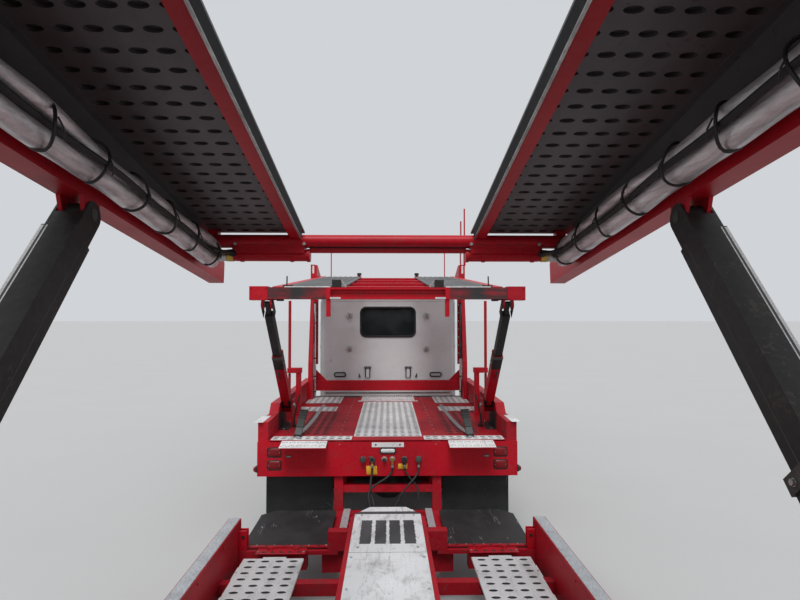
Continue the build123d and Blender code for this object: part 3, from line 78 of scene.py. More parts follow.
# Faces of the frame that fittings stand on: along the vehicle, across it and in height
PANEL_Y = end_of("rear_panel", 1, -1)
WALL_Y = end_of("sleeper_shell", 1, -1)
BEAM_Y = end_of("truck_upper_frame", 1, -1)
BUMPER_Y = end_of("front_bumper", 1, 1)
RACK_Y = end_of("head_rack", 1, 1)
REAR_Y = end_of("trailer_rear", 1, -1)
SLEEPER_X = end_of("sleeper_shell", 0, 1)
RAIL_X = end_of("trailer_frame", 0, 1)
RAMP_END, RAMP_FOOT, RAMP_TOP = end_of("ramps", 1, 1), end_of("ramps", 2, -1), end_of("ramps", 2, 1)

# The gap of what is seated on a face, the height and place of the couplings, and the upper deck's hinge
SEAT = 0.0003
SOCKET_Z = 0.915
LINE_Y = 2.345
HINGE = (6.0, 2.93)


class TransporterCamera(PropertyGroup):
    """Where the photograph was taken from, standing on the trailer's lower deck."""

    place: FloatVectorProperty(
        name="Place", description="Where the camera stands in the frame", size=3,
        default=(0.0, -3.65, 2.3), subtype="TRANSLATION")
    lens: FloatProperty(
        name="Lens", description="Focal length for a sensor 36 mm wide", default=27.0, min=10.0, max=100.0,
        unit="CAMERA")
    pitch: FloatProperty(
        name="Pitch", description="How far the view looks up from level", default=math.radians(1.9),
        subtype="ANGLE")
    yaw: FloatProperty(
        name="Turn", description="How far the view turns to the right", default=math.radians(1.15),
        subtype="ANGLE")


class TransporterLight(PropertyGroup):
    """A soft studio: an even sky, one large key light and a weak one from behind the camera."""

    sky: FloatProperty(name="Sky", description="Strength of the even sky", default=0.68, min=0.0)
    key: FloatProperty(name="Key", description="Strength of the soft sun from above", default=2.2, min=0.0)
    fill: FloatProperty(
        name="Fill", description="Power of the lamp behind the camera", default=60.0, min=0.0, unit="POWER")
    floor: FloatVectorProperty(
        name="Floor", description="Colour of the floor as the camera sees it", size=3,
        default=(0.46, 0.46, 0.455), subtype="COLOR")


class TransporterPaint(PropertyGroup):
    """The colours of the vehicle's main finishes."""

    red: FloatVectorProperty(
        name="Red", description="Sprayed red of the frame", size=3, default=(0.5, 0.004, 0.016),
        subtype="COLOR")
    white: FloatVectorProperty(
        name="White", description="White of the cab, hood and sleeper", size=3, default=(0.74, 0.74, 0.74),
        subtype="COLOR")
    plate: FloatVectorProperty(
        name="Deck plate", description="White of the punched deck plates", size=3,
        default=(0.74, 0.74, 0.74), subtype="COLOR")
    sheet: FloatVectorProperty(
        name="Runway sheet", description="Charcoal of the punched runways", size=3,
        default=(0.085, 0.085, 0.088), subtype="COLOR")
    tag: FloatVectorProperty(
        name="Tag", description="Yellow of the blank hang tags", size=3, default=(0.74, 0.38, 0.02),
        subtype="COLOR")


class TransporterDetail(PropertyGroup):
    """How finely the repeated details are cut."""

    runway_ring: IntProperty(
        name="Runway dimples", description="Points round each dimple of the upper decks", default=12, min=8,
        max=32)
    deck_ring: IntProperty(
        name="Lower deck dimples", description="Points round each dimple of the lower deck", default=8,
        min=8, max=32)
    dimple: FloatVectorProperty(
        name="Runway dimple", description="Length and width of a dimple in the runways", size=2,
        default=(0.052, 0.03), unit="LENGTH")
    tie_gap: FloatProperty(
        name="Tie gap", description="Distance between the ties of the sleeved hoses", default=0.34,
        min=0.1, unit="LENGTH")
    sleeve: FloatProperty(
        name="Sleeve radius", description="Radius of the larger silver sleeve", default=0.04, min=0.01,
        unit="LENGTH")


def add_node(tree, kind, settings=None, sockets=None):
    """A shader node of a kind: its settings are set first, then the values or links of its sockets."""
    node = tree.nodes.new("ShaderNode" + kind)
    for name, value in (settings or {}).items():
        setattr(node, name, value)
    for name, value in (sockets or {}).items():
        value = value.out if isinstance(value, Socket) else value
        if isinstance(value, NodeSocket):
            tree.links.new(value, node.inputs[name])
        else:
            node.inputs[name].default_value = value
    return node


class Socket:
    """A number on its way through a node tree, with the arithmetic that a formula uses."""

    def __init__(self, tree, out):
        self.tree = tree
        self.out = out

    def maths(self, operation, *values):
        """The result of one Math node on the values."""
        node = add_node(self.tree, "Math", {"operation": operation}, dict(enumerate(values)))
        return Socket(self.tree, node.outputs[0])

    def __add__(self, other):
        return self.maths("ADD", self, other)

    def __sub__(self, other):
        return self.maths("SUBTRACT", self, other)

    def __rsub__(self, other):
        return self.maths("SUBTRACT", other, self)

    def __mul__(self, other):
        return self.maths("MULTIPLY", self, other)

    def __or__(self, other):
        return self.maths("MAXIMUM", self, other)

    def __abs__(self):
        return self.maths("ABSOLUTE", self)

    __radd__, __rmul__, __ror__ = __add__, __mul__, __or__

    def above(self, low, high):
        """0 below low, 1 above high and a straight ramp between."""
        node = add_node(self.tree, "MapRange", {}, {"From Min": low, "From Max": high, "Value": self})
        return Socket(self.tree, node.outputs["Result"])

    def stripe(self, period, width):
        """1 within width of every multiple of the period."""
        part = self.maths("FRACT", self * (1.0 / period))
        return self.maths("LESS_THAN", part, width / period)


class Finish:
    """A material in the making, with its node tree and the patterns that the finishes share."""

    def __init__(self, name, **values):
        self.material = bpy.data.materials.new(name)
        self.material.use_nodes = True
        self.tree = self.material.node_tree
        self.shader = self.tree.nodes["Principled BSDF"]
        self.coordinate = add_node(self.tree, "TexCoord").outputs["Object"]
        for key, value in values.items():
            self.shader.inputs[key.replace("_", " ")].default_value = value

    def pattern(self, kind, output, settings, sockets, stretch, turn=(0.0, 0.0, 0.0)):
        """A texture on the object's own coordinates, stretched and turned."""
        values = {"Scale": stretch, "Rotation": turn, "Vector": self.coordinate}
        place = add_node(self.tree, "Mapping", {}, values)
        node = add_node(self.tree, kind, settings, {**sockets, "Vector": place.outputs["Vector"]})
        return Socket(self.tree, node.outputs[output])

    def axis(self, name):
        """The coordinate along X, Y or Z, in metres."""
        return Socket(self.tree, add_node(self.tree, "SeparateXYZ", {}, {0: self.coordinate}).outputs[name])

    def noise(self, scale, detail=3.0, stretch=(1.0, 1.0, 1.0), rough=0.5):
        """Cloudy values from 0 to 1, stretched along each axis."""
        values = {"Scale": scale, "Detail": detail, "Roughness": rough}
        return self.pattern("TexNoise", "Fac", {}, values, stretch)

    def cells(self, scale):
        """The distance to the middle of the nearest of many small cells."""
        return self.pattern("TexVoronoi", "Distance", {"feature": "F1"}, {"Scale": scale}, (1.0, 1.0, 1.0))

    def scratches(self, scale, turn, thin=0.02):
        """Thin lines along one direction: the borders of cells drawn out fifteen times."""
        edge = self.pattern("TexVoronoi", "Distance", {"feature": "DISTANCE_TO_EDGE"}, {"Scale": scale},
                            (1.0, 0.07, 1.0), (0.0, 0.0, turn))
        return (1.0 - edge.above(0.0, thin)) * self.noise(scale * 1.7).above(0.5, 0.6)

    def mix(self, first, second, amount):
        """A colour from first to second; each is a colour or an earlier mix."""
        ends = [value if isinstance(value, NodeSocket) else (*value, 1.0) for value in (first, second)]
        sockets = {6: ends[0], 7: ends[1], 0: amount}
        return add_node(self.tree, "Mix", {"data_type": "RGBA"}, sockets).outputs[2]

    def colour(self, value):
        """Links a mix to the base colour."""
        self.tree.links.new(value, self.shader.inputs["Base Color"])

    def rough(self, value):
        """Links a number to the roughness."""
        self.tree.links.new(value.out, self.shader.inputs["Roughness"])

    def bump(self, value, strength, depth):
        """Raises the surface where the value is high, to a depth in metres."""
        node = add_node(self.tree, "Bump", {}, {"Strength": strength, "Distance": depth, "Height": value})
        self.tree.links.new(node.outputs["Normal"], self.shader.inputs["Normal"])


def paint(name, colour, dark, dust, dirt, metallic=0.0, gloss=0.22):
    """Sprayed paint: a little mottled, dusty where it faces up, chipped and grimy in patches."""
    made = Finish(name, Metallic=metallic, Coat_Weight=0.05, Coat_Roughness=0.25, Specular_IOR_Level=0.18)
    cloud = made.noise(1.3, 4.0)
    grain = made.noise(38.0, 4.0)
    grime = made.noise(5.0, 6.0, (1.0, 0.5, 1.6), 0.65).above(0.52, 0.74) * dirt
    chips = (made.noise(60.0, 3.0) * made.noise(9.0, 2.0)).above(0.36, 0.38) * dirt
    base = made.mix(colour, dark, cloud.above(0.35, 0.75))
    base = made.mix(base, dust, grain.above(0.4, 0.9) * 0.04)
    base = made.mix(base, (0.06, 0.05, 0.045), grime * 0.75)
    made.colour(made.mix(base, (0.1, 0.07, 0.06), chips * 0.8))
    made.rough((cloud * 0.12) + (gloss + 0.12) + (grime * 0.3))
    made.bump(grain + (chips * -1.5), 0.12, 0.002)
    return made.material


def worn_white(name, colour, wear):
    """White painted plate with scuffs along and across it and grey grime."""
    made = Finish(name)
    cloud = made.noise(3.0, 5.0)
    grain = made.noise(70.0, 3.0)
    scuff = made.scratches(7.0, 0.3) | made.scratches(11.0, -0.25) | made.scratches(17.0, 1.35)
    grime = made.noise(8.0, 6.0, (1.0, 0.4, 1.0), 0.7).above(0.5, 0.72)
    base = made.mix(colour, tuple(v * 0.86 for v in colour), cloud.above(0.3, 0.7))
    base = made.mix(base, (0.2, 0.19, 0.18), grime * wear)
    made.colour(made.mix(base, (0.3, 0.28, 0.27), scuff * wear))
    made.rough((cloud * 0.2) + 0.35 + (grime * 0.2))
    made.bump(grain + (scuff * -1.0), 0.18, 0.002)
    return made.material


def rubber(name, colour, scuffed, scratched=0.0):
    """Moulded rubber: matt, with pale dust and, where asked, pale scratches."""
    made = Finish(name, Specular_IOR_Level=0.35)
    dust = made.noise(4.0, 6.0, (1.0, 0.6, 1.0), 0.65).above(0.42, 0.8)
    grain = made.noise(160.0, 2.0)
    marks = made.scratches(5.0, 0.5, 0.012) | made.scratches(7.0, 1.1, 0.01)
    marks = (marks | made.scratches(9.0, -0.7, 0.008)) * made.noise(2.6, 2.0).above(0.53, 0.6)
    base = made.mix(colour, scuffed, dust * 0.6)
    made.colour(made.mix(base, (0.45, 0.43, 0.41), marks * scratched))
    made.rough((dust * 0.15) + 0.58)
    made.bump(grain + (marks * (-2.0 * scratched)), 0.2, 0.0015)
    return made.material


def bare_metal(name, colour, streak=(1.0, 0.08, 1.0), metallic=1.0, gloss=0.3, dirt=0.5):
    """Ground or cast metal: fine streaks along Y, and dull patches."""
    made = Finish(name, Metallic=metallic)
    lines = made.noise(180.0, 2.0, streak)
    patch = made.noise(6.0, 5.0, (1.0, 1.0, 1.0), 0.6).above(0.45, 0.75)
    base = made.mix(colour, tuple(v * 0.62 for v in colour), lines.above(0.3, 0.7))
    made.colour(made.mix(base, tuple(v * 0.35 for v in colour), patch * dirt))
    made.rough((lines * 0.12) + gloss + (patch * 0.25))
    made.bump(lines, 0.1, 0.001)
    return made.material


def punched_steel(name, colour):
    """Painted charcoal sheet, dulled by road dirt, with rust coloured specks at its holes."""
    made = Finish(name, Metallic=0.35)
    cloud = made.noise(2.2, 6.0, (1.0, 0.35, 1.0), 0.65)
    grain = made.noise(90.0, 4.0)
    specks = made.noise(26.0, 4.0).above(0.64, 0.72)
    base = made.mix(colour, tuple(v * 2.1 for v in colour), cloud.above(0.35, 0.8))
    made.colour(made.mix(base, (0.09, 0.05, 0.03), specks * 0.5))
    made.rough((cloud * 0.3) + 0.4)
    made.bump(grain, 0.25, 0.002)
    return made.material


def greasy_beam(name):
    """Red paint under old grease, black in a band about 0.85 m from the middle on both sides."""
    made = Finish(name, Coat_Weight=0.1)
    smear = made.noise(9.0, 5.0, (0.35, 1.0, 1.6), 0.65)
    band = 1.0 - abs(abs(made.axis("X")) - 0.85).above(0.04, 0.13)
    base = made.mix((0.26, 0.004, 0.012), (0.055, 0.01, 0.012), smear.above(0.4, 0.6))
    made.colour(made.mix(base, (0.02, 0.02, 0.02), band * smear.above(0.25, 0.45)))
    made.rough((smear * 0.3) + 0.25)
    made.bump(smear, 0.3, 0.002)
    return made.material


def plastic(name, colour, gloss=0.4, grain=120.0, **values):
    """Moulded plastic with a fine grain."""
    made = Finish(name, **values)
    fine = made.noise(grain, 3.0)
    made.colour(made.mix(colour, tuple(v * 0.75 for v in colour), made.noise(7.0).above(0.35, 0.75)))
    made.rough((fine * 0.15) + gloss)
    made.bump(fine, 0.12, 0.001)
    return made.material


def lens(name, colour):
    """A tail lamp's moulded lens: ribbed inside, glossy outside."""
    made = Finish(name, Roughness=0.32, Coat_Weight=0.15, Coat_Roughness=0.15, Specular_IOR_Level=0.3)
    ribs = made.axis("X").stripe(0.012, 0.004) | made.axis("Z").stripe(0.012, 0.004)
    made.colour(made.mix(colour, tuple(v * 0.45 for v in colour), ribs))
    made.bump(ribs, 0.3, 0.002)
    return made.material


def glass(name, tint, alpha, shine=0.45):
    """Tinted window glass with a faint dusty film."""
    made = Finish(name, Alpha=alpha, Specular_IOR_Level=shine)
    film = made.noise(3.0, 5.0).above(0.45, 0.85)
    made.colour(made.mix(tint, tuple(v * 1.6 + 0.02 for v in tint), film))
    made.rough((film * 0.12) + 0.05)
    return made.material


def sleeve(name):
    """Silver heat sleeve: quilted foil, creased along its length."""
    made = Finish(name, Metallic=0.6)
    creases_and_shade = made.noise(30.0, 5.0, (1.0, 0.12, 1.0), 0.6)
    quilt = made.cells(85.0)
    # Painted shade: the silver darkens to dull grey in streaks along the crease pattern, which also drives
    # the roughness and bumps
    made.colour(made.mix((0.78, 0.77, 0.78), (0.36, 0.35, 0.36), creases_and_shade.above(0.4, 0.7)))
    made.rough((creases_and_shade * 0.35) + 0.28)
    made.bump(creases_and_shade + (quilt * 0.3), 0.55, 0.006)
    return made.material


def webbing(name, colour):
    """Woven strap: narrow ribs across its length, with a paler stripe of wear."""
    made = Finish(name, Sheen_Weight=0.3)
    ribs = made.axis("Y").stripe(0.004, 0.002)
    cloud = made.noise(20.0, 4.0)
    made.colour(made.mix(colour, tuple(v * 0.6 for v in colour), (ribs * 0.5) + (cloud * 0.4)))
    made.rough((ribs * 0.1) + 0.8)
    made.bump(ribs, 0.4, 0.001)
    return made.material


def tyre(name):
    """Tyre rubber: black tread, and side walls browned by dust with fine moulded rings."""
    made = Finish(name, Specular_IOR_Level=0.3)
    dust = made.noise(6.0, 5.0, (1.0, 1.0, 1.0), 0.6).above(0.4, 0.8)
    fine = made.noise(220.0, 2.0)
    made.colour(made.mix((0.018, 0.018, 0.018), (0.075, 0.068, 0.06), dust * 0.7))
    made.rough((dust * 0.15) + 0.68)
    made.bump(fine, 0.25, 0.001)
    return made.material


DARK_RED = (0.34, 0.003, 0.012)
DUST = (0.42, 0.36, 0.32)
BLACK = (0.018, 0.018, 0.019)


def make_finishes():
    """All finishes, by the record's slot names and by the names of the finer pieces."""
    colours = bpy.context.scene.transporter_paint
    MATERIALS.update({
        "red_paint": paint("red_paint", colours.red, DARK_RED, DUST, 0.25),
        "red_deck": paint("red_deck", (0.44, 0.006, 0.018), (0.27, 0.004, 0.012), DUST, 0.55, gloss=0.36),
        "red_greasy": paint("red_greasy", (0.3, 0.008, 0.01), (0.1, 0.01, 0.01), DUST, 1.0, gloss=0.3),
        "white_paint": paint("white_paint", colours.white, (0.64, 0.64, 0.65), DUST, 0.1, gloss=0.25),
        "white_cover": worn_white("white_cover", (0.7, 0.71, 0.72), 0.75),
        "white_plate": worn_white("white_plate", colours.plate, 0.45),
        "greasy_beam": greasy_beam("greasy_beam"),
        "zinc": bare_metal("zinc", (0.62, 0.64, 0.66), (1.0, 0.2, 1.0), 0.55, 0.42, 0.35),
        "charcoal_steel": punched_steel("charcoal_steel", colours.sheet),
        # The near-black dimple finish on the cups' floors is painted shade: it stands in for the dark seen
        # through the punched holes
        "dimple": plastic("dimple", (0.007, 0.007, 0.008), 0.55, 60.0),
        "black_steel": paint("black_steel", (0.022, 0.022, 0.023), (0.012,) * 3, DUST, 0.4, gloss=0.3),
        "bare_steel": bare_metal("bare_steel", (0.55, 0.54, 0.53)),
        "cast_grey": bare_metal("cast_grey", (0.11, 0.105, 0.1), (1.0, 1.0, 1.0), 0.5, 0.55, 0.8),
        "polished": bare_metal("polished", (0.8, 0.8, 0.81), (1.0, 1.0, 0.05), 1.0, 0.08, 0.15),
        "tank_aluminium": bare_metal("tank_aluminium", (0.72, 0.73, 0.74), (1.0, 0.05, 1.0), 1.0, 0.16, 0.2),
        "black_rubber": rubber("black_rubber", (0.016, 0.017, 0.018), (0.05, 0.048, 0.046), 0.6),
        "tyre_rubber": tyre("tyre_rubber"),
        "cab_trim": plastic("cab_trim", (0.055, 0.055, 0.06), 0.55),
        "lamp_plastic": lens("lamp_plastic", (0.26, 0.006, 0.01)),
        "amber_lens": lens("amber_lens", (0.7, 0.2, 0.01)),
        "clear_lens": lens("clear_lens", (0.52, 0.54, 0.57)),
        "clear_glass": glass("clear_glass", (0.1, 0.12, 0.13), 0.35),
        # Opaque near-black glass: painted shade for a dark inside seen through a window
        "dark_glass": glass("dark_glass", (0.006, 0.008, 0.009), 1.0, 0.12),
        "line_rubber": rubber("line_rubber", (0.016, 0.016, 0.017), (0.05, 0.048, 0.046)),
        "sleeve": sleeve("sleeve"),
        "webbing": webbing("webbing", (0.3, 0.3, 0.31)),
        "brass": bare_metal("brass", (0.62, 0.42, 0.1), (1.0, 1.0, 1.0), 1.0, 0.3, 0.3),
        "black_plastic": plastic("black_plastic", BLACK, 0.42),
        "flange": plastic("flange", (0.012, 0.012, 0.013), 0.65, 60.0, Specular_IOR_Level=0.12),
        "yellow_tag": plastic("yellow_tag", colours.tag, 0.5),
        "grip": rubber("grip", (0.04, 0.042, 0.046), (0.13, 0.13, 0.13)),
        "label": plastic("label", (0.72, 0.73, 0.74), 0.35, Metallic=0.6),
    })


def unit(vector):
    """A vector divided by its length."""
    vector = np.asarray(vector, float)
    return vector / np.linalg.norm(vector)


def side_axes(direction, up=UP):
    """Two unit vectors at right angles to a direction and to each other."""
    direction = unit(direction)
    if abs(np.dot(direction, up)) > 0.99:
        up = AHEAD
    across = unit(np.cross(direction, up))
    return across, np.cross(across, direction)


SQUARE = ((0, 0), (1, 0), (1, 1), (0, 1))


class Shape:
    """Vertices and faces gathered from simple solids, in metres, and made into one object.

    Each face keeps the number of its finish, so that one piece can carry several. The main finish is the
    one for all that names none.
    """

    def __init__(self, main):
        self.finishes = [main]
        self.points = []
        self.faces = []
        self.marks = []

    def add(self, points, faces, finish=None):
        """Adds points and faces in a finish, which joins the shape's finishes when it is first used."""
        finish = finish or self.finishes[0]
        if finish not in self.finishes:
            self.finishes.append(finish)
        start = len(self.points)
        self.points.extend(tuple(float(v) for v in point) for point in points)
        self.faces.extend(tuple(start + i for i in face) for face in faces)
        self.marks.extend([self.finishes.index(finish)] * len(faces))
        return self

    def block(self, low, high, edge=0.002, finish=None, turn=None, about=(0.0, 0.0, 0.0)):
        """A block with chamfered edges between two corners; turn is a rotation matrix about a point."""
        low, high = np.minimum(low, high), np.maximum(low, high)
        edge = min(edge, 0.45 * float((high - low).min()))
        points, index = [], {}
        for corner in np.ndindex(2, 2, 2):
            at = np.where(corner, high, low)
            inward = np.where(corner, -1.0, 1.0) * edge
            for axis in range(3):
                index[corner, axis] = len(points)
                shift = inward.copy()
                shift[axis] = 0.0
                points.append(at + shift)
        faces = []
        for axis in range(3):
            u, v = (axis + 1) % 3, (axis + 2) % 3
            for end in (0, 1):
                loop = []
                for a, b in SQUARE:
                    corner = [0, 0, 0]
                    corner[axis], corner[u], corner[v] = end, a, b
                    loop.append(index[tuple(corner), axis])
                faces.append(loop if end else loop[::-1])
            for a, b in SQUARE:
                ends = []
                for end in (0, 1):
                    corner = [0, 0, 0]
                    corner[axis], corner[u], corner[v] = end, a, b
                    ends.append(tuple(corner))
                loop = [index[ends[0], u], index[ends[1], u], index[ends[1], v], index[ends[0], v]]
                faces.append(loop if a == b else loop[::-1])
        for corner in np.ndindex(2, 2, 2):
            loop = [index[corner, axis] for axis in range(3)]
            faces.append(loop if sum(corner) % 2 else loop[::-1])
        if turn is not None:
            points = [turn @ (point - about) + about for point in np.asarray(points)]
        return self.add(points, faces, finish)

    def bar(self, start, end, width, depth, edge=0.002, finish=None, up=UP):
        """A rectangular bar between two points: width across it, depth towards up."""
        start, end = np.asarray(start, float), np.asarray(end, float)
        along = unit(end - start)
        across, rise = side_axes(along, up)
        turn = np.column_stack([across, along, rise])
        half = np.array([width / 2, np.linalg.norm(end - start) / 2, depth / 2])
        middle = (start + end) / 2
        return self.block(middle - half, middle + half, edge, finish, turn, middle)

    def rings(self, rings, finish=None, closed=False, caps=True):
        """Skin over rings of points of the same count, open or closed along its length."""
        count = len(rings[0])
        faces = []
        for i in range(len(rings) if closed else len(rings) - 1):
            here, there = i * count, (i + 1) % len(rings) * count
            for j in range(count):
                k = (j + 1) % count
                faces.append((here + j, here + k, there + k, there + j))
        if caps and not closed:
            faces.append(tuple(range(count))[::-1])
            faces.append(tuple(range((len(rings) - 1) * count, len(rings) * count)))
        return self.add(np.concatenate(rings), faces, finish)

    def tube(self, path, radius, sides=16, finish=None, caps=True):
        """A round bar along a path; radius is one number or one for each point."""
        path = np.asarray(path, float)
        radius = np.broadcast_to(np.asarray(radius, float), len(path))
        heading = np.gradient(path, axis=0)
        across, rise = side_axes(heading[0])
        rings = []
        for point, ahead, size in zip(path, heading, radius):
            ahead = unit(ahead)
            across = unit(across - np.dot(across, ahead) * ahead)
            rise = np.cross(across, ahead)
            angle = np.arange(sides) * 2 * math.pi / sides
            rings.append(point + size * (np.outer(np.cos(angle), across) - np.outer(np.sin(angle), rise)))
        return self.rings(rings, finish, caps=caps)

    def lathe(self, centre, axis, profile, sides=24, finish=None, closed=False):
        """A solid of revolution: profile holds (distance along the axis, radius) pairs.

        A closed profile joins its last pair to its first and leaves the solid hollow.
        """
        axis = unit(axis)
        across, rise = side_axes(axis)
        angle = np.arange(sides) * 2 * math.pi / sides
        circle = np.outer(np.cos(angle), across) - np.outer(np.sin(angle), rise)
        rings = [np.asarray(centre) + axis * along + circle * size for along, size in profile]
        return self.rings(rings, finish, closed)

    def bolt(self, place, axis, size=0.008, finish=None):
        """A hexagonal head on its washer, standing on a surface that faces along the axis."""
        self.lathe(place, axis, [(0.0, size * 1.1), (size * 0.22, size * 1.1)], 12, finish)
        return self.lathe(place, axis, [(size * 0.22, size * 0.92), (size * 0.85, size * 0.92),
                                        (size * 0.95, size * 0.8)], 6, finish)

    def outline(self, points, low, high, axis=0, finish=None):
        """A flat outline carried along an axis; points hold the other two coordinates in turn."""
        points = np.asarray(points, float)
        low, high = min(low, high), max(low, high)
        area = np.sum(points[:, 0] * np.roll(points[:, 1], -1) - np.roll(points[:, 0], -1) * points[:, 1])
        flipped = (area > 0) == (axis == 1)
        if flipped:
            points = points[::-1]
        others = [i for i in range(3) if i != axis]
        rings = []
        for level in (low, high):
            ring = np.empty((len(points), 3))
            ring[:, axis] = level
            ring[:, others] = points
            rings.append(ring)
        if area > 0 and not flipped or area < 0 and flipped:
            return self.rings(rings, finish)
        return self.rings(rings[::-1], finish)

    def slab(self, top, low, finish=None, flip=False):
        """A sheet between two grids of points, closed round its rim: top faces rows x columns, or back."""
        rows, columns = top.shape[:2]
        number = np.arange(rows * columns).reshape(rows, columns)
        faces = np.stack([number[:-1, :-1], number[1:, :-1], number[1:, 1:], number[:-1, 1:]],
                         -1).reshape(-1, 4)
        rim = np.concatenate([number[:-1, 0], number[-1, :-1], number[:0:-1, -1], number[0, :0:-1]])
        following = np.roll(rim, -1)
        wall = np.column_stack([rim + number.size, following + number.size, following, rim])
        faces = np.vstack([faces, faces[:, ::-1] + number.size, wall])
        points = np.vstack([top.reshape(-1, 3), low.reshape(-1, 3)])
        return self.add(points, faces[:, ::-1] if flip else faces, finish)

    def mirrored(self):
        """The shape with its mirror image on the other side."""
        count = len(self.points)
        self.points += [(-x, y, z) for x, y, z in self.points]
        self.faces += [tuple(count + i for i in face[::-1]) for face in self.faces]
        self.marks += self.marks
        return self

    def make(self, name, body, slot, smooth=35.0):
        """Makes the object, which rides on a body and stands for a slot of the record."""
        mesh = bpy.data.meshes.new(name)
        mesh.from_pydata(self.points, [], self.faces)
        for finish in self.finishes:
            mesh.materials.append(MATERIALS[finish])
        mesh.polygons.foreach_set("material_index", self.marks)
        mesh.polygons.foreach_set("use_smooth", [True] * len(mesh.polygons))
        mesh.set_sharp_from_angle(angle=math.radians(smooth))
        mesh.validate()
        piece = bpy.data.objects.new(name, mesh)
        bpy.context.scene.collection.objects.link(piece)
        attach(piece, body)
        return piece


def punched(shape, place, u, v, counts, pitch, hole, cup, ring, finish=None, floor=None):
    """A punched sheet: counts[0] by counts[1] cells of the pitch, each with an oblong dimple.

    A cell is drawn with rings of points at the same angles t: its square border, where
    r = 1 / max(|cos t|, |sin t|); the dimple's rim; and its floor, cup below the sheet. The sheet lies
    from place along u and v and faces u x v. Each dimple has ring points round it, and floor is the
    finish inside it.
    """
    u, v, place = unit(u), unit(v), np.asarray(place, float)
    normal = np.cross(u, v)
    angle = (np.arange(ring) + 0.5) * 2 * math.pi / ring
    circle = np.column_stack([np.cos(angle), np.sin(angle)])
    square = circle / np.abs(circle).max(axis=1)[:, None]
    half = np.asarray(pitch) / 2
    size = np.asarray(hole) / 2
    levels = [(square * half, 0.0), (circle * size * 1.18, 0.0), (circle * size, -cup * 0.35),
              (circle * size * 0.86, -cup)]
    step = []
    for i in range(len(levels) - 1):
        for j in range(ring):
            k = (j + 1) % ring
            step.append((i * ring + j, i * ring + k, (i + 1) * ring + k, (i + 1) * ring + j))
    step.append(tuple((len(levels) - 1) * ring + j for j in range(ring)))
    corners = []
    for a, b in CORNERS:
        near = np.where((np.sign(circle[:, 0]) == a) & (np.sign(circle[:, 1]) == b))[0]
        split = [j for j in near if abs(square[j, 0]) > 0.999]
        other = [j for j in near if abs(square[j, 1]) > 0.999]
        first = max(split, key=lambda j: abs(circle[j, 1]))
        second = max(other, key=lambda j: abs(circle[j, 0]))
        corners.append((a, b, first, second))
    for i in range(counts[0]):
        for j in range(counts[1]):
            centre = np.array([(i + 0.5) * pitch[0], (j + 0.5) * pitch[1]])
            points = []
            for flat, level in levels:
                flat = flat + centre
                points.extend(place + np.outer(flat[:, 0], u) + np.outer(flat[:, 1], v) + normal * level)
            faces = list(step)
            for a, b, first, second in corners:
                flat = centre + half * (a, b)
                points.append(place + flat[0] * u + flat[1] * v)
                tip = len(points) - 1
                faces.append((tip, second, first) if a * b > 0 else (tip, first, second))
            first = len(shape.points)
            shape.add(points, faces[:ring] + faces[len(step):], finish)
            cups = [tuple(first + i for i in face) for face in faces[ring:len(step)]]
            shape.add([], [tuple(i - len(shape.points) for i in face) for face in cups], floor or finish)
    return shape


SENSOR = 36.0
CLIP_END = 3000.0
FLOOR_REACH = 1200.0
FLOOR_SIDES = 64
FLOOR_DROP = 0.002


def make_view():
    """The camera at the photographer's place, the even sky, two lamps and the floor."""
    scene = bpy.context.scene
    view, light = scene.transporter_camera, scene.transporter_light
    data = bpy.data.cameras.new("view")
    data.lens = view.lens
    data.sensor_width = SENSOR
    data.clip_end = CLIP_END
    camera = bpy.data.objects.new("view", data)
    camera.location = view.place
    camera.rotation_euler = (math.radians(90.0) + view.pitch, 0.0, -view.yaw)
    scene.collection.objects.link(camera)
    scene.camera = camera
    scene.view_settings.view_transform = "Standard"
    world = bpy.data.worlds.new("studio")
    world.use_nodes = True
    sky = world.node_tree.nodes["Background"]
    sky.inputs["Color"].default_value = (0.93, 0.96, 1.0, 1.0)
    sky.inputs["Strength"].default_value = light.sky
    scene.world = world
    sun = bpy.data.lights.new("key", "SUN")
    sun.energy = light.key
    sun.angle = math.radians(25.0)
    key = bpy.data.objects.new("key", sun)
    key.rotation_euler = (math.radians(28.0), math.radians(-14.0), math.radians(20.0))
    scene.collection.objects.link(key)
    area = bpy.data.lights.new("fill", "AREA")
    area.energy = light.fill
    area.size = 6.0
    fill = bpy.data.objects.new("fill", area)
    fill.location = (0.0, -9.0, 5.0)
    fill.rotation_euler = (math.radians(65.0), 0.0, 0.0)
    scene.collection.objects.link(fill)
    made = Finish("studio_floor", Roughness=0.85)
    pale = made.mix(tuple(light.floor), tuple(v * 0.94 for v in light.floor), made.noise(0.6))
    # The floor throws back less light than it shows, so that the undersides stay as dark as over asphalt
    path = add_node(made.tree, "LightPath").outputs
    seen = Socket(made.tree, path["Is Camera Ray"]) | Socket(made.tree, path["Is Transmission Ray"])
    made.colour(made.mix((0.22, 0.22, 0.22), pale, seen | (Socket(made.tree, path["Is Glossy Ray"]) * 0.6)))
    mesh = bpy.data.meshes.new("studio_floor")
    turn = np.arange(FLOOR_SIDES) * 2 * math.pi / FLOOR_SIDES
    rim = np.column_stack([FLOOR_REACH * np.cos(turn), FLOOR_REACH * np.sin(turn), turn * 0.0 - FLOOR_DROP])
    mesh.from_pydata(rim, [], [tuple(range(FLOOR_SIDES))])
    mesh.materials.append(made.material)
    floor = bpy.data.objects.new("studio_floor", mesh)
    scene.collection.objects.link(floor)


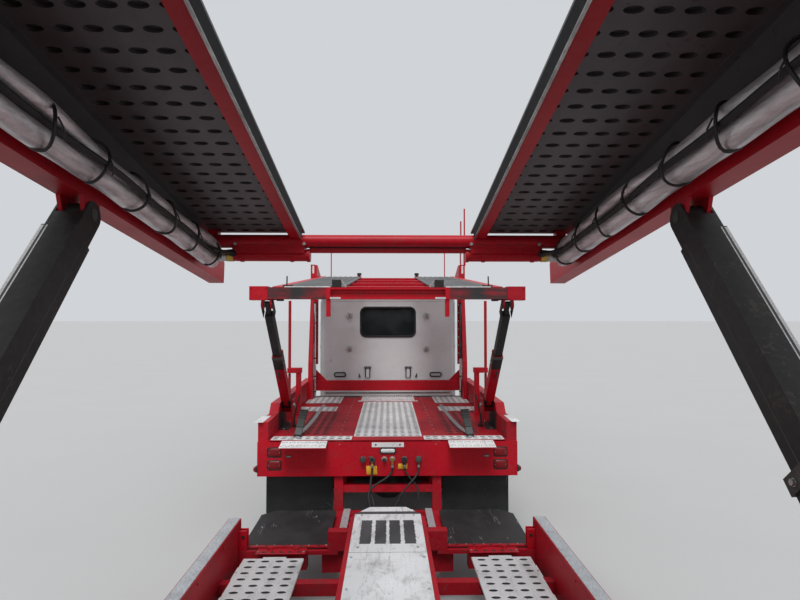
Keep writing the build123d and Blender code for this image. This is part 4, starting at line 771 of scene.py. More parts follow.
# Each line's diameter, stiffness, and route from its coupling's spigot down to the junction block
LINES = {
    "air_line_service": (0.02, "medium", [
        (-0.155, 2.345, 0.865), (-0.155, 2.345, 0.822), (-0.158, 2.341, 0.776), (-0.166, 2.33, 0.728),
        (-0.172, 2.314, 0.68), (-0.168, 2.296, 0.634), (-0.158, 2.274, 0.588), (-0.146, 2.25, 0.542),
        (-0.132, 2.226, 0.502), (-0.12, 2.212, 0.466), (-0.12, 2.212, 0.43)]),
    "air_line_supply": (0.02, "medium", [
        (0.045, 2.345, 0.865), (0.045, 2.345, 0.826), (0.034, 2.338, 0.788), (0.004, 2.322, 0.756),
        (-0.04, 2.302, 0.73), (-0.09, 2.282, 0.706), (-0.14, 2.264, 0.676), (-0.178, 2.25, 0.636),
        (-0.192, 2.238, 0.59), (-0.184, 2.226, 0.544), (-0.17, 2.216, 0.502), (-0.164, 2.21, 0.466),
        (-0.164, 2.21, 0.43)]),
    "electric_line": (0.016, "medium", [
        (0.165, 2.345, 0.865), (0.165, 2.345, 0.828), (0.178, 2.342, 0.79), (0.208, 2.336, 0.752),
        (0.246, 2.328, 0.712), (0.282, 2.314, 0.668), (0.304, 2.296, 0.62), (0.304, 2.278, 0.572),
        (0.288, 2.262, 0.53), (0.262, 2.25, 0.494), (0.24, 2.242, 0.463), (0.24, 2.242, 0.43)]),
    "spare_line": (0.018, "medium", [
        (0.305, 2.345, 0.865), (0.305, 2.345, 0.828), (0.296, 2.334, 0.79), (0.27, 2.308, 0.752),
        (0.23, 2.28, 0.714), (0.186, 2.26, 0.672), (0.148, 2.244, 0.626), (0.118, 2.232, 0.58),
        (0.092, 2.222, 0.536), (0.07, 2.214, 0.496), (0.06, 2.21, 0.463), (0.06, 2.21, 0.43)]),
}


def smooth_line(route):
    """The points of a NURBS line that has the route as its control points."""
    data = bpy.data.curves.new("route", "CURVE")
    data.dimensions = "3D"
    data.resolution_u = 8
    spline = data.splines.new("NURBS")
    spline.points.add(len(route) - 1)
    for point, place in zip(spline.points, route):
        point.co = (*place, 1.0)
    spline.order_u = 3
    spline.use_endpoint_u = True
    carrier = bpy.data.objects.new("route", data)
    bpy.context.scene.collection.objects.link(carrier)
    mesh = bpy.data.meshes.new_from_object(carrier)
    points = np.array([vertex.co for vertex in mesh.vertices])
    bpy.data.meshes.remove(mesh)
    bpy.data.objects.remove(carrier)
    bpy.data.curves.remove(data)
    return points


def make_lines():
    """The four lines behind the panel, with a crimped ferrule at both ends."""
    for name, (diameter, stiffness, route) in LINES.items():
        path = smooth_line(route)
        radius = diameter / 2
        hose = Shape("line_rubber")
        hose.tube(path, radius, 16)
        line = hose.make(name + "_line", "truck", "line_rubber")
        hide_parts(name)
        ends = Shape("bare_steel")
        for start, axis in ((path[0], DOWN), (path[-1], UP)):
            ends.lathe(start, axis, [(0.0, radius * 1.5), (0.004, radius * 1.55), (0.026, radius * 1.5),
                                     (0.03, radius * 1.05)], 16)
        ends.make(name + "_ferrules", "truck", "bare_steel")


def carried_over():
    """Gives every CAD node that stays in view the finish of its slot."""
    for node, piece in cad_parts.items():
        if node in NODE_FINISH:
            for slot in piece.material_slots:
                slot.material = MATERIALS[NODE_FINISH[node]]


NODE_FINISH = {
    "truck_frame": "red_deck", "fifth_wheel": "cast_grey", "engine": "cast_grey", "truck_axles": "cast_grey",
    "front_bumper": "polished", "cab_shell": "white_paint", "sleeper_shell": "white_paint",
    "cab_glass": "clear_glass", "cab_interior": "cab_trim", "fuel_tanks": "tank_aluminium",
    "truck_deck": "red_deck", "rear_panel": "red_paint", "panel_fittings": "lamp_plastic",
    "mud_flaps": "black_rubber", "towers": "red_paint", "head_rack": "red_paint",
    "head_runways": "charcoal_steel", "hood_shell": "white_paint", "grille_and_lamps": "polished",
    "door_left": "white_paint", "door_right": "white_paint", "door_glass_left": "clear_glass",
    "door_glass_right": "clear_glass", "knuckle_left": "cast_grey", "knuckle_right": "cast_grey",
    "front_wheel_left": "tyre_rubber", "front_wheel_right": "tyre_rubber",
    "drive_wheels_front_left": "tyre_rubber", "drive_wheels_front_right": "tyre_rubber",
    "drive_wheels_rear_left": "tyre_rubber", "drive_wheels_rear_right": "tyre_rubber",
    "truck_upper_frame": "red_paint", "truck_upper_runways": "charcoal_steel",
    "truck_post_barrels": "red_paint", "truck_post_rods": "black_steel", "trailer_frame": "red_deck",
    "trailer_neck": "white_cover", "lower_deck": "white_plate", "front_mats": "black_rubber",
    "trailer_posts": "red_paint", "trailer_axles": "cast_grey", "trailer_wheels_front_left": "tyre_rubber",
    "trailer_wheels_front_right": "tyre_rubber", "trailer_wheels_rear_left": "tyre_rubber",
    "trailer_wheels_rear_right": "tyre_rubber", "trailer_rear": "red_paint", "trailer_lamps": "lamp_plastic",
    "front_deck_frame": "red_paint", "front_deck_runways": "charcoal_steel",
    "front_strut_barrels": "black_steel", "front_strut_rods": "black_steel", "rear_deck_frame": "red_paint",
    "rear_deck_runways": "charcoal_steel", "rear_strut_barrels": "black_steel",
    "rear_strut_rods": "black_steel", "ramps": "bare_steel",
}


def slope_basis(start, end):
    """Unit vectors across and along a side view line of (y, z) points, and up from it."""
    along = unit((0.0, end[0] - start[0], end[1] - start[1]))
    across = np.array([1.0, 0.0, 0.0])
    return across, along, np.cross(across, along)


# Runways: CAD node, body, inner and outer edge, and the line of its top in side view, front to rear
RUNWAYS = [
    ("front_deck_runways", "front_deck", 0.51, 1.12, [(0.03, 2.842), (-2.6, 3.272), (-4.06, 3.35)]),
    ("rear_deck_runways", "rear_deck", 0.51, 1.1297, [(-4.56, 3.22), (-11.0, 3.22)]),
    ("truck_upper_runways", "truck_upper_deck", 0.42, 0.9997, [(5.8745, 2.9839), (2.09, 2.6182)]),
    ("head_runways", "truck", 0.42, 0.9997, [(11.1797, 2.98), (6.16, 2.98)]),
]
CUP = 0.01
EDGE_BAND = 0.045


def runway_piece(low_x, high_x, line):
    """Both lanes of a runway as one punched sheet with folded edges: the cups stand proud on top.

    The underside carries the oblong dimples in six columns, as car decks have them, and the top the
    same cups turned over, so that each is a shallow dome with a dark hollow below it.
    """
    shape = Shape("charcoal_steel")
    columns = 6
    detail = bpy.context.scene.transporter_detail
    ring, hole = detail.runway_ring, np.array(detail.dimple)
    for (y_a, z_a), (y_b, z_b) in zip(line, line[1:]):
        across, along, up = slope_basis((y_b, z_b), (y_a, z_a))
        length = math.hypot(y_b - y_a, z_b - z_a)
        rear = np.array([low_x, y_b, z_b])
        width = high_x - low_x
        inside = width - 2 * EDGE_BAND
        rows = max(1, int(round((length - 0.06) / 0.105)))
        pitch = (inside / columns, (length - 0.02) / rows)
        base = rear + across * EDGE_BAND + along * 0.01
        under = base + across * inside - up * 0.012
        punched(shape, under, -across, along, (columns, rows), pitch, hole, CUP, ring, floor="dimple")
        punched(shape, base - up * 0.0005, across, along, (columns, rows), pitch, hole + 0.008, -CUP * 0.6,
                ring)
        for x_low, x_high in ((low_x, low_x + EDGE_BAND), (high_x - EDGE_BAND, high_x)):
            centre = np.array([(x_low + x_high) / 2, y_b, z_b]) - up * 0.006
            shape.bar(centre, centre + along * length, x_high - x_low, 0.0118, 0.001, up=up)
    return shape


def make_runways():
    """The punched runways of all upper decks, in place of the frame's plain sheets."""
    for name, body, low_x, high_x, line in RUNWAYS:
        shape = runway_piece(low_x, high_x, line)
        if name == "front_deck_runways":
            add_front_lips(shape, line)
        shape.mirrored()
        piece = shape.make(name + "_sheet", body, "charcoal_steel")
        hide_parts(name)


def add_front_lips(shape, line):
    """The front deck's folded inner flange with its pale worn edge, and the outer rim."""
    x, depth = 0.515, 0.07
    for (y_a, z_a), (y_b, z_b) in zip([(-0.095, 2.8624)] + line[1:], line[1:]):
        here = np.array([x, y_a, z_a - 0.012 - depth / 2])
        there = np.array([x, y_b, z_b - 0.012 - depth / 2])
        shape.bar(here, there, 0.01, depth, 0.0015, "flange")
        rim = np.array([0.0, 0.0, -depth / 2 - 0.001])
        shape.bar(here + rim, there + rim, 0.012, 0.004, 0.001, "bare_steel")
        # The rim reaches down past the top of the side beam
        low = [beam_point(x, y, 0.0706)[2] for y in (y_a, y_b)]
        shape.outline([(y_a, z_a - 0.012), (y_a, low[0]), (y_b, low[1]), (y_b, z_b - 0.012)], 1.1105, 1.1195,
                      0)


BEAM_SLOPE = math.radians(6.3)


def beam_point(x, y, rise=0.0):
    """A point at a place along the front upper deck's side beam, above or below its middle line."""
    return np.array([x, y, 3.173 - (y + 4.2) * math.tan(BEAM_SLOPE) + rise])


def make_hose_bundles():
    """Silver sleeved hoses tied along the inside of both side beams, with a black hose beside each.

    The sleeve's radius swells between its ties as 1 + 0.06 sin^2(pi s / gap), and its middle wavers by
    a few millimetres, so that it hangs like hose and not like pipe.
    """
    for side, name in HANDS:
        detail = bpy.context.scene.transporter_detail
        gap = detail.tie_gap
        s = np.arange(-3.95, -0.02, 0.02)
        waver = 0.006 * np.sin(s * 3.1 + side) + 0.004 * np.sin(s * 7.7)
        path = np.array([beam_point(side * (1.06 + w * 0.6), y, -0.052 + w) for y, w in zip(s, waver)])
        radius = detail.sleeve * (1.0 + 0.06 * np.sin(math.pi * s / gap) ** 2)
        sleeve_shape = Shape("sleeve")
        sleeve_shape.tube(path, radius, 20, "sleeve")
        upper = np.array([beam_point(side * (1.036 + w), y, 0.018 - w) for y, w in zip(s, waver)])
        sleeve_shape.tube(upper, radius * 0.72, 16, "sleeve")
        lower = np.array([beam_point(side * (1.01 - w), y, -0.026 + 0.5 * w) for y, w in zip(s, waver)])
        sleeve_shape.tube(lower, 0.013, 10, "line_rubber")
        for y in np.arange(-3.9, -0.1, gap):
            w = 0.006 * math.sin(y * 3.1 + side) + 0.004 * math.sin(y * 7.7)
            middle = beam_point(side * (1.046 + w * 0.6), y, -0.022 + w)
            turn = np.arange(25) * 2 * math.pi / 24
            lean = 0.018 * np.cos(turn * 2 + y * 5.0)
            loop = middle + np.column_stack([0.06 * np.cos(turn), lean, 0.078 * np.sin(turn)])
            sleeve_shape.tube(loop, 0.0058, 6, "black_plastic", caps=False)
            tail = middle + (-side * 0.058, 0.0, 0.02)
            sleeve_shape.tube([tail, tail + (-side * 0.012, 0.01, -0.03),
                               tail + (-side * 0.004, 0.03, -0.06)], 0.003, 6, "black_plastic")
        sleeve_shape.make(f"hose_bundle_{name}", "front_deck", "line_rubber")


def make_front_rib():
    """The rib under the front cross tube, with the greasy groove between the two."""
    shape = Shape("red_paint")
    shape.block((-0.475, -0.022, 2.708), (0.475, 0.022, 2.7385), 0.003, "red_paint")
    shape.block((-0.474, -0.03, 2.734), (0.474, -0.02, 2.744), 0.001, "black_steel")
    shape.block((-0.474, -0.034, 2.744), (0.474, -0.024, 2.75), 0.001, "red_greasy")
    shape.make("front_rib", "front_deck", "red_paint")


def make_lock_cylinders():
    """The two transverse deck lock cylinders under the front cross tubes, in slotted red brackets."""
    for side, name in HANDS:
        shape = Shape("red_paint")
        y, z = -0.012, 2.69
        inner, outer = side * 0.48, side * 1.06
        for x in (inner, inner + side * 0.1, outer - side * 0.18):
            shape.lathe((x, y, z), (side, 0, 0), [(-0.01, 0.04), (0.01, 0.04)], 24, "red_paint")
        shape.lathe((outer - side * 0.11, y, z), (side, 0, 0),
                    [(-0.02, 0.0345), (-0.018, 0.037), (0.018, 0.037), (0.02, 0.0345)], 24, "brass")
        shape.tube([(outer - side * 0.088, y, z), (outer + side * 0.05, y, z)], 0.0348, 24, "bare_steel")
        for x in np.linspace(0.52, 0.86, 3):
            shape.block((side * x - 0.006, y - 0.045, z + 0.02), (side * x + 0.006, y + 0.045, z + 0.075),
                        0.002, "red_paint")
        shape.block((side * 0.5, y - 0.06, z + 0.05), (side * 0.93, y - 0.05, z + 0.08), 0.002, "red_paint")
        shape.block((side * 0.5, y + 0.05, z - 0.03), (side * 0.93, y + 0.058, z + 0.08), 0.002, "red_paint")
        for x in (0.56, 0.68, 0.8):
            low = side * x - 0.035
            shape.block((low, y - 0.062, z + 0.06), (low + 0.07, y - 0.0495, z + 0.07), 0.003, "black_steel")
        shape.lathe((side * 0.93, y - 0.03, z + 0.01), BACK,
                    [(0.0, 0.022), (0.03, 0.022), (0.034, 0.016), (0.05, 0.012)], 12, "black_steel")
        shape.bolt((side * 0.5, y - 0.061, z + 0.065), BACK, 0.01, "bare_steel")
        shape.bolt((side * 0.91, y - 0.061, z + 0.065), BACK, 0.01, "bare_steel")
        start = np.array([side * 0.93, y - 0.08, z + 0.01])
        hose = [start, start + (0.03 * side, -0.04, 0.0), start + (0.09 * side, -0.09, 0.02),
                start + (0.12 * side, -0.16, 0.045), start + (0.13 * side, -0.26, 0.06)]
        shape.tube(smooth_path(hose), 0.009, 10, "line_rubber")
        shape.make(f"lock_cylinder_{name}", "front_deck", "red_paint")


def smooth_path(points, count=6):
    """A Catmull-Rom curve through points: with a, b, c, d in turn, and t from 0 to 1 between b and c,

    p = (2 b + (c - a) t + (2 a - 5 b + 4 c - d) t^2 + (3 b - a - 3 c + d) t^3) / 2
    """
    points = np.asarray(points, float)
    padded = np.vstack([2 * points[0] - points[1], points, 2 * points[-1] - points[-2]])
    out = []
    for a, b, c, d in zip(padded, padded[1:], padded[2:], padded[3:]):
        for t in np.arange(count) / count:
            out.append((2 * b + (c - a) * t + (2 * a - 5 * b + 4 * c - d) * t ** 2
                        + (3 * b - a - 3 * c + d) * t ** 3) / 2)
    return np.array(out + [points[-1]])


def make_neck_details():
    """Grip strips, screws, grey band and seams of the neck's cover, and the bars beside it."""
    top = 0.642
    shape = Shape("grip")
    for x in (-0.17, -0.055, 0.055, 0.17):
        ragged_strip(shape, x, 0.044, 0.856, 1.364, top)
    for x in (-0.22, 0.22):
        shape.bolt((x, 0.78, top), UP, 0.009, "bare_steel")
        shape.bolt((x, 1.5, top), UP, 0.009, "bare_steel")
    shape.outline([(-0.279, 1.536), (0.279, 1.536), (0.24, 1.602), (-0.24, 1.602)], top - 0.001,
                  top + 0.0012, 2, "grip")
    shape.block((-0.2795, 0.689, top - 0.001), (0.2795, 0.692, top + 0.0008), 0.0002, "black_plastic")
    for y in (0.6, 0.1):
        for x in (-0.255, 0.255):
            shape.bolt((x, y, top), UP, 0.008, "bare_steel")
    shape.make("neck_fittings", "trailer", "black_rubber")


def ragged_strip(shape, x, half, y_low, y_high, top):
    """An anti-slip strip with worn, ragged long edges."""
    steps = np.linspace(y_low, y_high, 60)
    left = half - 0.006 * np.abs(np.sin(steps * 61.0 + x * 40.0) * np.sin(steps * 23.0)) ** 2
    right = half - 0.006 * np.abs(np.sin(steps * 47.0 - x * 30.0) * np.sin(steps * 31.0)) ** 2
    edge = [(x - a, y) for a, y in zip(left, steps)] + [(x + b, y) for b, y in zip(right[::-1], steps[::-1])]
    shape.outline(edge, top, top + 0.0048, 2, "grip")


MAT_TOP, MAT_THICK = 0.46, 0.01


def mat_height(x, y):
    """How far a mat's top stands above its flat place: a slow ripple, lifted a little at its front edge."""
    front = np.clip((y - 1.95) / 0.24, 0.0, 1.0)
    return 0.004 * np.sin(5.0 * y + 3.0 * x) + 0.003 * np.sin(11.0 * x - 2.0 * y) + 0.01 * front ** 2


def make_mats():
    """The two rubber mats ahead of the trailer, with ribs, clamp holes and a cut front corner."""
    for side, name in HANDS:
        shape = Shape("black_rubber")
        xs = np.linspace(0.492, 1.188, 36)
        ys = np.linspace(1.272, 2.188, 50)
        grid_x, grid_y = np.meshgrid(xs, ys, indexing="ij")
        # The front edge is cut back at the outer corner
        cut = np.clip((grid_x - 1.06) / 0.128, 0.0, 1.0)
        grid_y = grid_y - (grid_y - 1.272) / 0.916 * 0.11 * cut
        level = mat_height(side * grid_x, grid_y) + MAT_TOP
        top = np.stack([side * grid_x, grid_y, level], -1)
        shape.slab(top, top - (0.0, 0.0, MAT_THICK), "black_rubber", flip=side < 0)
        mat = shape.make(f"mat_{name}", "trailer", "black_rubber")
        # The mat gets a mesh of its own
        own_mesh(mat)
        if side < 0:
            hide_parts("front_mats")
        strip = Shape("red_paint")
        # The clamp holes are dark discs on the strip, painted shade for the holes' depth
        for x in np.linspace(0.56, 1.12, 5):
            strip.lathe((side * x, 1.29, 0.47), UP, [(0.0, 0.013), (0.0012, 0.0125)], 16, "black_steel")
        for x in (0.5, 0.64, 0.78, 0.92, 1.06, 1.17):
            strip.bolt((side * x, 1.3, 0.47), UP, 0.007, "bare_steel")
        strip.make(f"mat_strip_{name}", "trailer", "red_paint")


def rounded(width, height, corner, steps=4):
    """The outline of a rectangle with rounded corners, as (across, up) points."""
    points = []
    for side, (a, b) in enumerate(CORNERS):
        for turn in np.linspace(side, side + 1, steps + 1) * math.pi / 2:
            points.append((a * (width / 2 - corner) + corner * math.cos(turn),
                           b * (height / 2 - corner) + corner * math.sin(turn)))
    return np.array(points)


def pad(shape, centre, normal, size, corner, levels, finish=None, up=UP):
    """A rounded rectangle raised along its normal: levels hold (height, inset) pairs from foot to top."""
    across, rise = side_axes(normal, up)
    normal = unit(normal)
    rings = []
    for height, inset in levels:
        flat = rounded(size[0] - 2 * inset, size[1] - 2 * inset, max(0.0005, corner - inset))
        rings.append(np.asarray(centre) + normal * height + np.outer(flat[:, 0], across)
                     + np.outer(flat[:, 1], rise))
    return shape.rings([ring[::-1] for ring in rings], finish)


# Levels of raised pads that come again and again
THIN = ((0.0, 0.0), (0.004, 0.001))
SHEER = ((0.0, 0.0), (0.0015, 0.0005))
FOIL = ((0.0, 0.0), (0.001, 0.0005))
STEP = ((0.0, 0.0), (0.01, 0.002))


def star(shape, centre, normal, radius, height, lobes=8, finish=None):
    """A hand knob with lobes: its radius goes in and out by an eighth, as radius (1 + cos(lobes t) / 8)."""
    across, rise = side_axes(normal)
    normal = unit(normal)
    turn = np.arange(lobes * 8) * 2 * math.pi / (lobes * 8)
    reach = radius * (1.0 + 0.125 * np.cos(lobes * turn))
    rings = []
    for level, share in ((0.0, 0.86), (0.15, 1.0), (0.8, 1.0), (1.0, 0.84)):
        rings.append(np.asarray(centre) + normal * height * level
                     + np.outer(reach * share * np.cos(turn), across)
                     - np.outer(reach * share * np.sin(turn), rise))
    shape.rings(rings, finish)
    return shape.lathe(np.asarray(centre) + normal * height, normal,
                       [(0.0, radius * 0.45), (0.003, radius * 0.42)], 20, finish)


def tail_lamp(shape, x, z, y=PANEL_Y):
    """A ribbed lens in a black gasket, bowed outwards a little."""
    pad(shape, (x, y + 0.014, z), BACK, (0.148, 0.102), 0.027,
        [(0.0, 0.0), (0.015, 0.0), (0.017, 0.002), (0.017, 0.009), (0.01, 0.01)], "black_rubber")
    pad(shape, (x, y + 0.01, z), BACK, (0.13, 0.084), 0.022,
        [(0.0, 0.0), (0.01, 0.0005), (0.014, 0.004), (0.0165, 0.014), (0.018, 0.03)], "lamp_plastic")
    for side in SIDES:
        shape.lathe((x + side * 0.052, y - 0.006, z), BACK, [(0.0, 0.0035), (0.0015, 0.003)], 10,
                    "bare_steel")


def plug_socket(shape, x, radius, length, spigot):
    """A round connector socket with its flange, hinged lid and spring."""
    z = SOCKET_Z
    start = (x, PANEL_Y - SEAT, z)
    shape.lathe(start, BACK, [(0.0, radius + 0.008), (0.01, radius + 0.008), (0.012, radius + 0.006),
                              (0.012, radius), (length, radius), (length, radius - 0.003)], 28, "cast_grey")
    shape.lathe((x, PANEL_Y - length - SEAT, z), BACK, [(0.0, radius + 0.001), (0.004, radius + 0.001),
                                                        (0.006, radius - 0.003)], 28, "cast_grey")
    shape.block((x - 0.01, PANEL_Y - length - 0.004, z + radius - 0.004),
                (x + 0.01, PANEL_Y - length + 0.012, z + radius + 0.009), 0.002, "cast_grey")
    shape.tube([(x - 0.013, PANEL_Y - length + 0.006, z + radius + 0.006),
                (x + 0.013, PANEL_Y - length + 0.006, z + radius + 0.006)], 0.003, 8, "bare_steel")
    for a, b in CORNERS:
        reach = (radius + 0.005) * 0.7071
        shape.bolt((x + a * reach, PANEL_Y - 0.011, z + b * reach), BACK, 0.0032, "bare_steel")
    if spigot:
        shape.lathe((x, LINE_Y, z - radius * 0.5), DOWN,
                    [(0.0, spigot), (0.02, spigot), (0.022, spigot * 1.12), (0.036, spigot * 1.12),
                     (0.038, spigot * 0.9)], 20, "cast_grey")


def hose_fitting(shape, x, radius, length, spigot):
    """A small brass bulkhead fitting with its nut, and an elbow where a line hangs from it."""
    z = SOCKET_Z
    start = (x, PANEL_Y - SEAT, z)
    shape.lathe(start, BACK, [(0.0, radius + 0.008), (0.004, radius + 0.008), (0.005, radius + 0.006)], 24,
                "bare_steel")
    shape.lathe(start, BACK, [(0.004, radius), (0.016, radius), (0.018, radius - 0.002)], 6, "brass")
    shape.lathe(start, BACK, [(0.018, radius * 0.62), (length - 0.006, radius * 0.62),
                              (length, radius * 0.5)], 20, "brass")
    if spigot:
        shape.lathe((x, LINE_Y, z + radius * 0.3), DOWN,
                    [(0.0, spigot * 0.8), (0.01, spigot * 0.9), (0.034, spigot * 0.9)], 20, "brass")
        shape.lathe((x, LINE_Y, z - 0.028), DOWN, [(0.0, spigot * 1.1), (0.016, spigot * 1.1),
                                                   (0.018, spigot * 0.95)], 6, "brass")
    else:
        shape.lathe((x, PANEL_Y - length, z), BACK, [(-0.002, radius * 0.85), (0.005, radius * 0.85),
                                                     (0.007, radius * 0.7)], 20, "black_plastic")


def gladhand(shape, x):
    """An air coupling: a round cast head with its rubber face, its locking lug and its lever."""
    z = SOCKET_Z
    shape.lathe((x, PANEL_Y - SEAT, z), BACK, [(0.0, 0.028), (0.008, 0.028), (0.01, 0.024), (0.01, 0.017),
                                               (0.022, 0.017)], 24, "cast_grey")
    shape.lathe((x, PANEL_Y - 0.02, z + 0.004), BACK, [(0.0, 0.022), (0.006, 0.027), (0.02, 0.027),
                                                       (0.024, 0.023), (0.024, 0.015), (0.02, 0.014)], 28,
                "cast_grey")
    shape.lathe((x, PANEL_Y - 0.0405, z + 0.004), BACK, [(0.0, 0.014), (0.004, 0.013), (0.004, 0.006),
                                                         (0.0, 0.005)], 20, "black_rubber")
    shape.block((x - 0.034, PANEL_Y - 0.036, z + 0.016), (x - 0.006, PANEL_Y - 0.024, z + 0.036), 0.003,
                "cast_grey")
    shape.block((x - 0.014, PANEL_Y - 0.03, z - 0.05), (x + 0.014, PANEL_Y - 0.018, z + 0.004), 0.003,
                "cast_grey")
    shape.bar((x + 0.022, PANEL_Y - 0.034, z + 0.01), (x + 0.036, PANEL_Y - 0.04, z - 0.058), 0.01, 0.006,
              0.002, "cast_grey")
    shape.lathe((x, LINE_Y, z - 0.02), DOWN, [(0.0, 0.013), (0.024, 0.013), (0.026, 0.0155), (0.04, 0.0155),
                                              (0.042, 0.012)], 6, "brass")


def hang_tag(shape, x, z, width, height, lean=0.0):
    """A blank yellow tag on a wire, in a shallow bow."""
    t, side = np.meshgrid(np.linspace(0.0, 1.0, 9), SIDES, indexing="ij")
    bow = PANEL_Y - 0.006 - 0.006 * np.sin(t * math.pi)
    back = np.stack([x + side * width / 2 + lean * t, bow, z - height * t], -1)
    shape.slab(back - (0.0, 0.0012, 0.0), back, "yellow_tag")
    shape.lathe((x, PANEL_Y - 0.0085, z - 0.008), BACK, [(0.0, 0.004), (0.0012, 0.0035)], 12,
                "black_plastic")
    shape.tube([(x, PANEL_Y - 0.009, z - 0.008), (x, PANEL_Y - 0.012, z + 0.006),
                (x, PANEL_Y - 0.006, z + 0.018)], 0.0012, 6, "black_plastic")


def make_rear_panel():
    """Lamps, sockets, couplings, tags, blank plate and latches on the tractor's rear panel."""
    shape = Shape("lamp_plastic")
    for z in (0.86, 0.985):
        tail_lamp(shape, 1.125, z)
    marker = (1.2953, 2.395, 0.82)
    pad(shape, marker, ACROSS, (0.09, 0.06), 0.012, [(0.0, 0.0), (0.012, 0.0), (0.014, 0.003)],
        "black_rubber")
    pad(shape, marker, ACROSS, (0.076, 0.046), 0.01, [(0.012, 0.0), (0.026, 0.001), (0.034, 0.006),
                                                      (0.037, 0.014)], "lamp_plastic")
    # Latches
    x = 0.985
    shape.block((x - 0.028, PANEL_Y - 0.006, 0.935), (x + 0.028, PANEL_Y - SEAT, 0.958), 0.002, "cast_grey")
    shape.tube([(x - 0.02, PANEL_Y - 0.01, 0.946), (x + 0.02, PANEL_Y - 0.01, 0.946)], 0.005, 10,
               "bare_steel")
    shape.mirrored()
    plug_socket(shape, -0.245, 0.024, 0.046, 0.0)
    gladhand(shape, -0.155)
    hose_fitting(shape, -0.035, 0.02, 0.04, 0.0)
    hose_fitting(shape, 0.045, 0.02, 0.044, 0.014)
    plug_socket(shape, 0.165, 0.022, 0.03, 0.012)
    star(shape, (0.165, PANEL_Y - 0.03, SOCKET_Z), BACK, 0.029, 0.018, 8, "black_plastic")
    plug_socket(shape, 0.305, 0.024, 0.044, 0.013)
    hang_tag(shape, -0.163, 0.852, 0.105, 0.085, 0.006)
    hang_tag(shape, 0.15, 0.872, 0.092, 0.052, -0.004)
    # The blank plate, its screws, and the oval lamp below it
    shape.block((-0.16, PANEL_Y - 0.004, 1.034), (0.16, PANEL_Y - SEAT, 1.081), 0.001, "white_plate")
    for x in (-0.12, 0.12):
        shape.lathe((x, PANEL_Y - 0.004, 1.058), BACK, [(0.0, 0.009), (0.003, 0.007)], 16, "black_plastic")
    pad(shape, (0.0, PANEL_Y - SEAT, 1.0), BACK, (0.168, 0.062), 0.03,
        [(0.0, 0.0), (0.008, 0.0), (0.011, 0.004), (0.009, 0.01)], "black_rubber")
    pad(shape, (0.0, PANEL_Y - 0.006, 1.0), BACK, (0.142, 0.038), 0.018,
        [(0.0, 0.0), (0.004, 0.001), (0.007, 0.006), (0.008, 0.014)], "white_plate")
    for x in (-0.88, -0.66, -0.48, 0.48, 0.66, 0.88):
        shape.bolt((x, PANEL_Y - 0.0002, 1.062), BACK, 0.006, "bare_steel")
    piece = shape.make("panel_fittings_made", "truck", "lamp_plastic")
    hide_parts("panel_fittings")


def punched_plate(shape, x, y, z, counts, hole, finish="white_plate", cup=0.004):
    """A level punched plate between two pairs of limits, its top at z, with a rim that closes its edge."""
    x = sorted(x)
    ring = bpy.context.scene.transporter_detail.runway_ring
    pitch = ((x[1] - x[0]) / counts[0], (y[1] - y[0]) / counts[1])
    # The cups' floors take the near-black dimple finish, painted shade for the holes
    punched(shape, (x[0], y[0], z), ACROSS, AHEAD, counts, pitch, hole, cup, ring, finish, "dimple")
    for low, high in (((x[0], y[0]), (x[1], y[0] + 0.003)), ((x[0], y[1] - 0.003), (x[1], y[1])),
                      ((x[0], y[0]), (x[0] + 0.003, y[1])), ((x[1] - 0.003, y[0]), (x[1], y[1]))):
        shape.block((*low, z - cup - 0.002), (*high, z - 0.0002), 0.0005, finish)
    shape.block((x[0] + 0.003, y[0] + 0.003, z - cup - 0.0015),
                (x[1] - 0.003, y[1] - 0.003, z - cup - 0.0005), 0.0003, finish)


def strap_line(points, half, rise):
    """A strap's edges along (x, y, z) points: left and right on top, then right and left below."""
    points = np.asarray(points, float)
    heading = np.gradient(points, axis=0)
    side = np.array([unit(np.cross(ahead, UP)) for ahead in heading])
    return [points - side * half + (0, 0, rise), points + side * half + (0, 0, rise), points + side * half,
            points - side * half]


def strap(shape, points, half=0.024, rise=0.0025, finish="webbing"):
    """A flat strap through points, carried as a thin ribbon."""
    edges = strap_line(smooth_path(points, 8), half, rise)
    shape.rings([np.array([edge[i] for edge in edges]) for i in range(len(edges[0]))], finish)


def ratchet(shape, x, y, z, lean):
    """A ratchet buckle: two side plates, a toothed wheel each side, a spindle and a bent handle."""
    for side in SIDES:
        plate_x = x + side * 0.03
        shape.outline([(y - 0.075, z), (y - 0.08, z + 0.016), (y + 0.02, z + 0.04), (y + 0.062, z + 0.024),
                       (y + 0.07, z)], plate_x - 0.002, plate_x + 0.002, 0, "black_plastic")
        shape.lathe((plate_x + side * 0.002, y + 0.01, z + 0.022), (side, 0, 0),
                    [(0.0, 0.017), (0.003, 0.017)], 12, "black_steel")
    shape.tube([(x - 0.034, y + 0.01, z + 0.022), (x + 0.034, y + 0.01, z + 0.022)], 0.011, 14, "bare_steel")
    shape.lathe((x - 0.024, y + 0.01, z + 0.022), ACROSS, [(0.0, 0.021), (0.048, 0.021)], 20, "webbing")
    # The handle stands up and forward, bent near its foot, with a ribbed grip at its end
    handle = [(x, y - 0.02, z + 0.02), (x + lean, y + 0.03, z + 0.09), (x + lean * 3, y + 0.17, z + 0.235)]
    for start, end in zip(handle, handle[1:]):
        shape.bar(start, end, 0.076, 0.016, 0.004, "black_plastic", (0.0, -1.0, 1.0))
    low, high = np.array(handle[1]), np.array(handle[2])
    for share in (0.55, 0.7, 0.85, 1.0):
        middle = low + (high - low) * share
        shape.bar(middle, middle + (high - low) * 0.08, 0.088, 0.026, 0.005, "black_plastic",
                  (0.0, -1.0, 1.0))


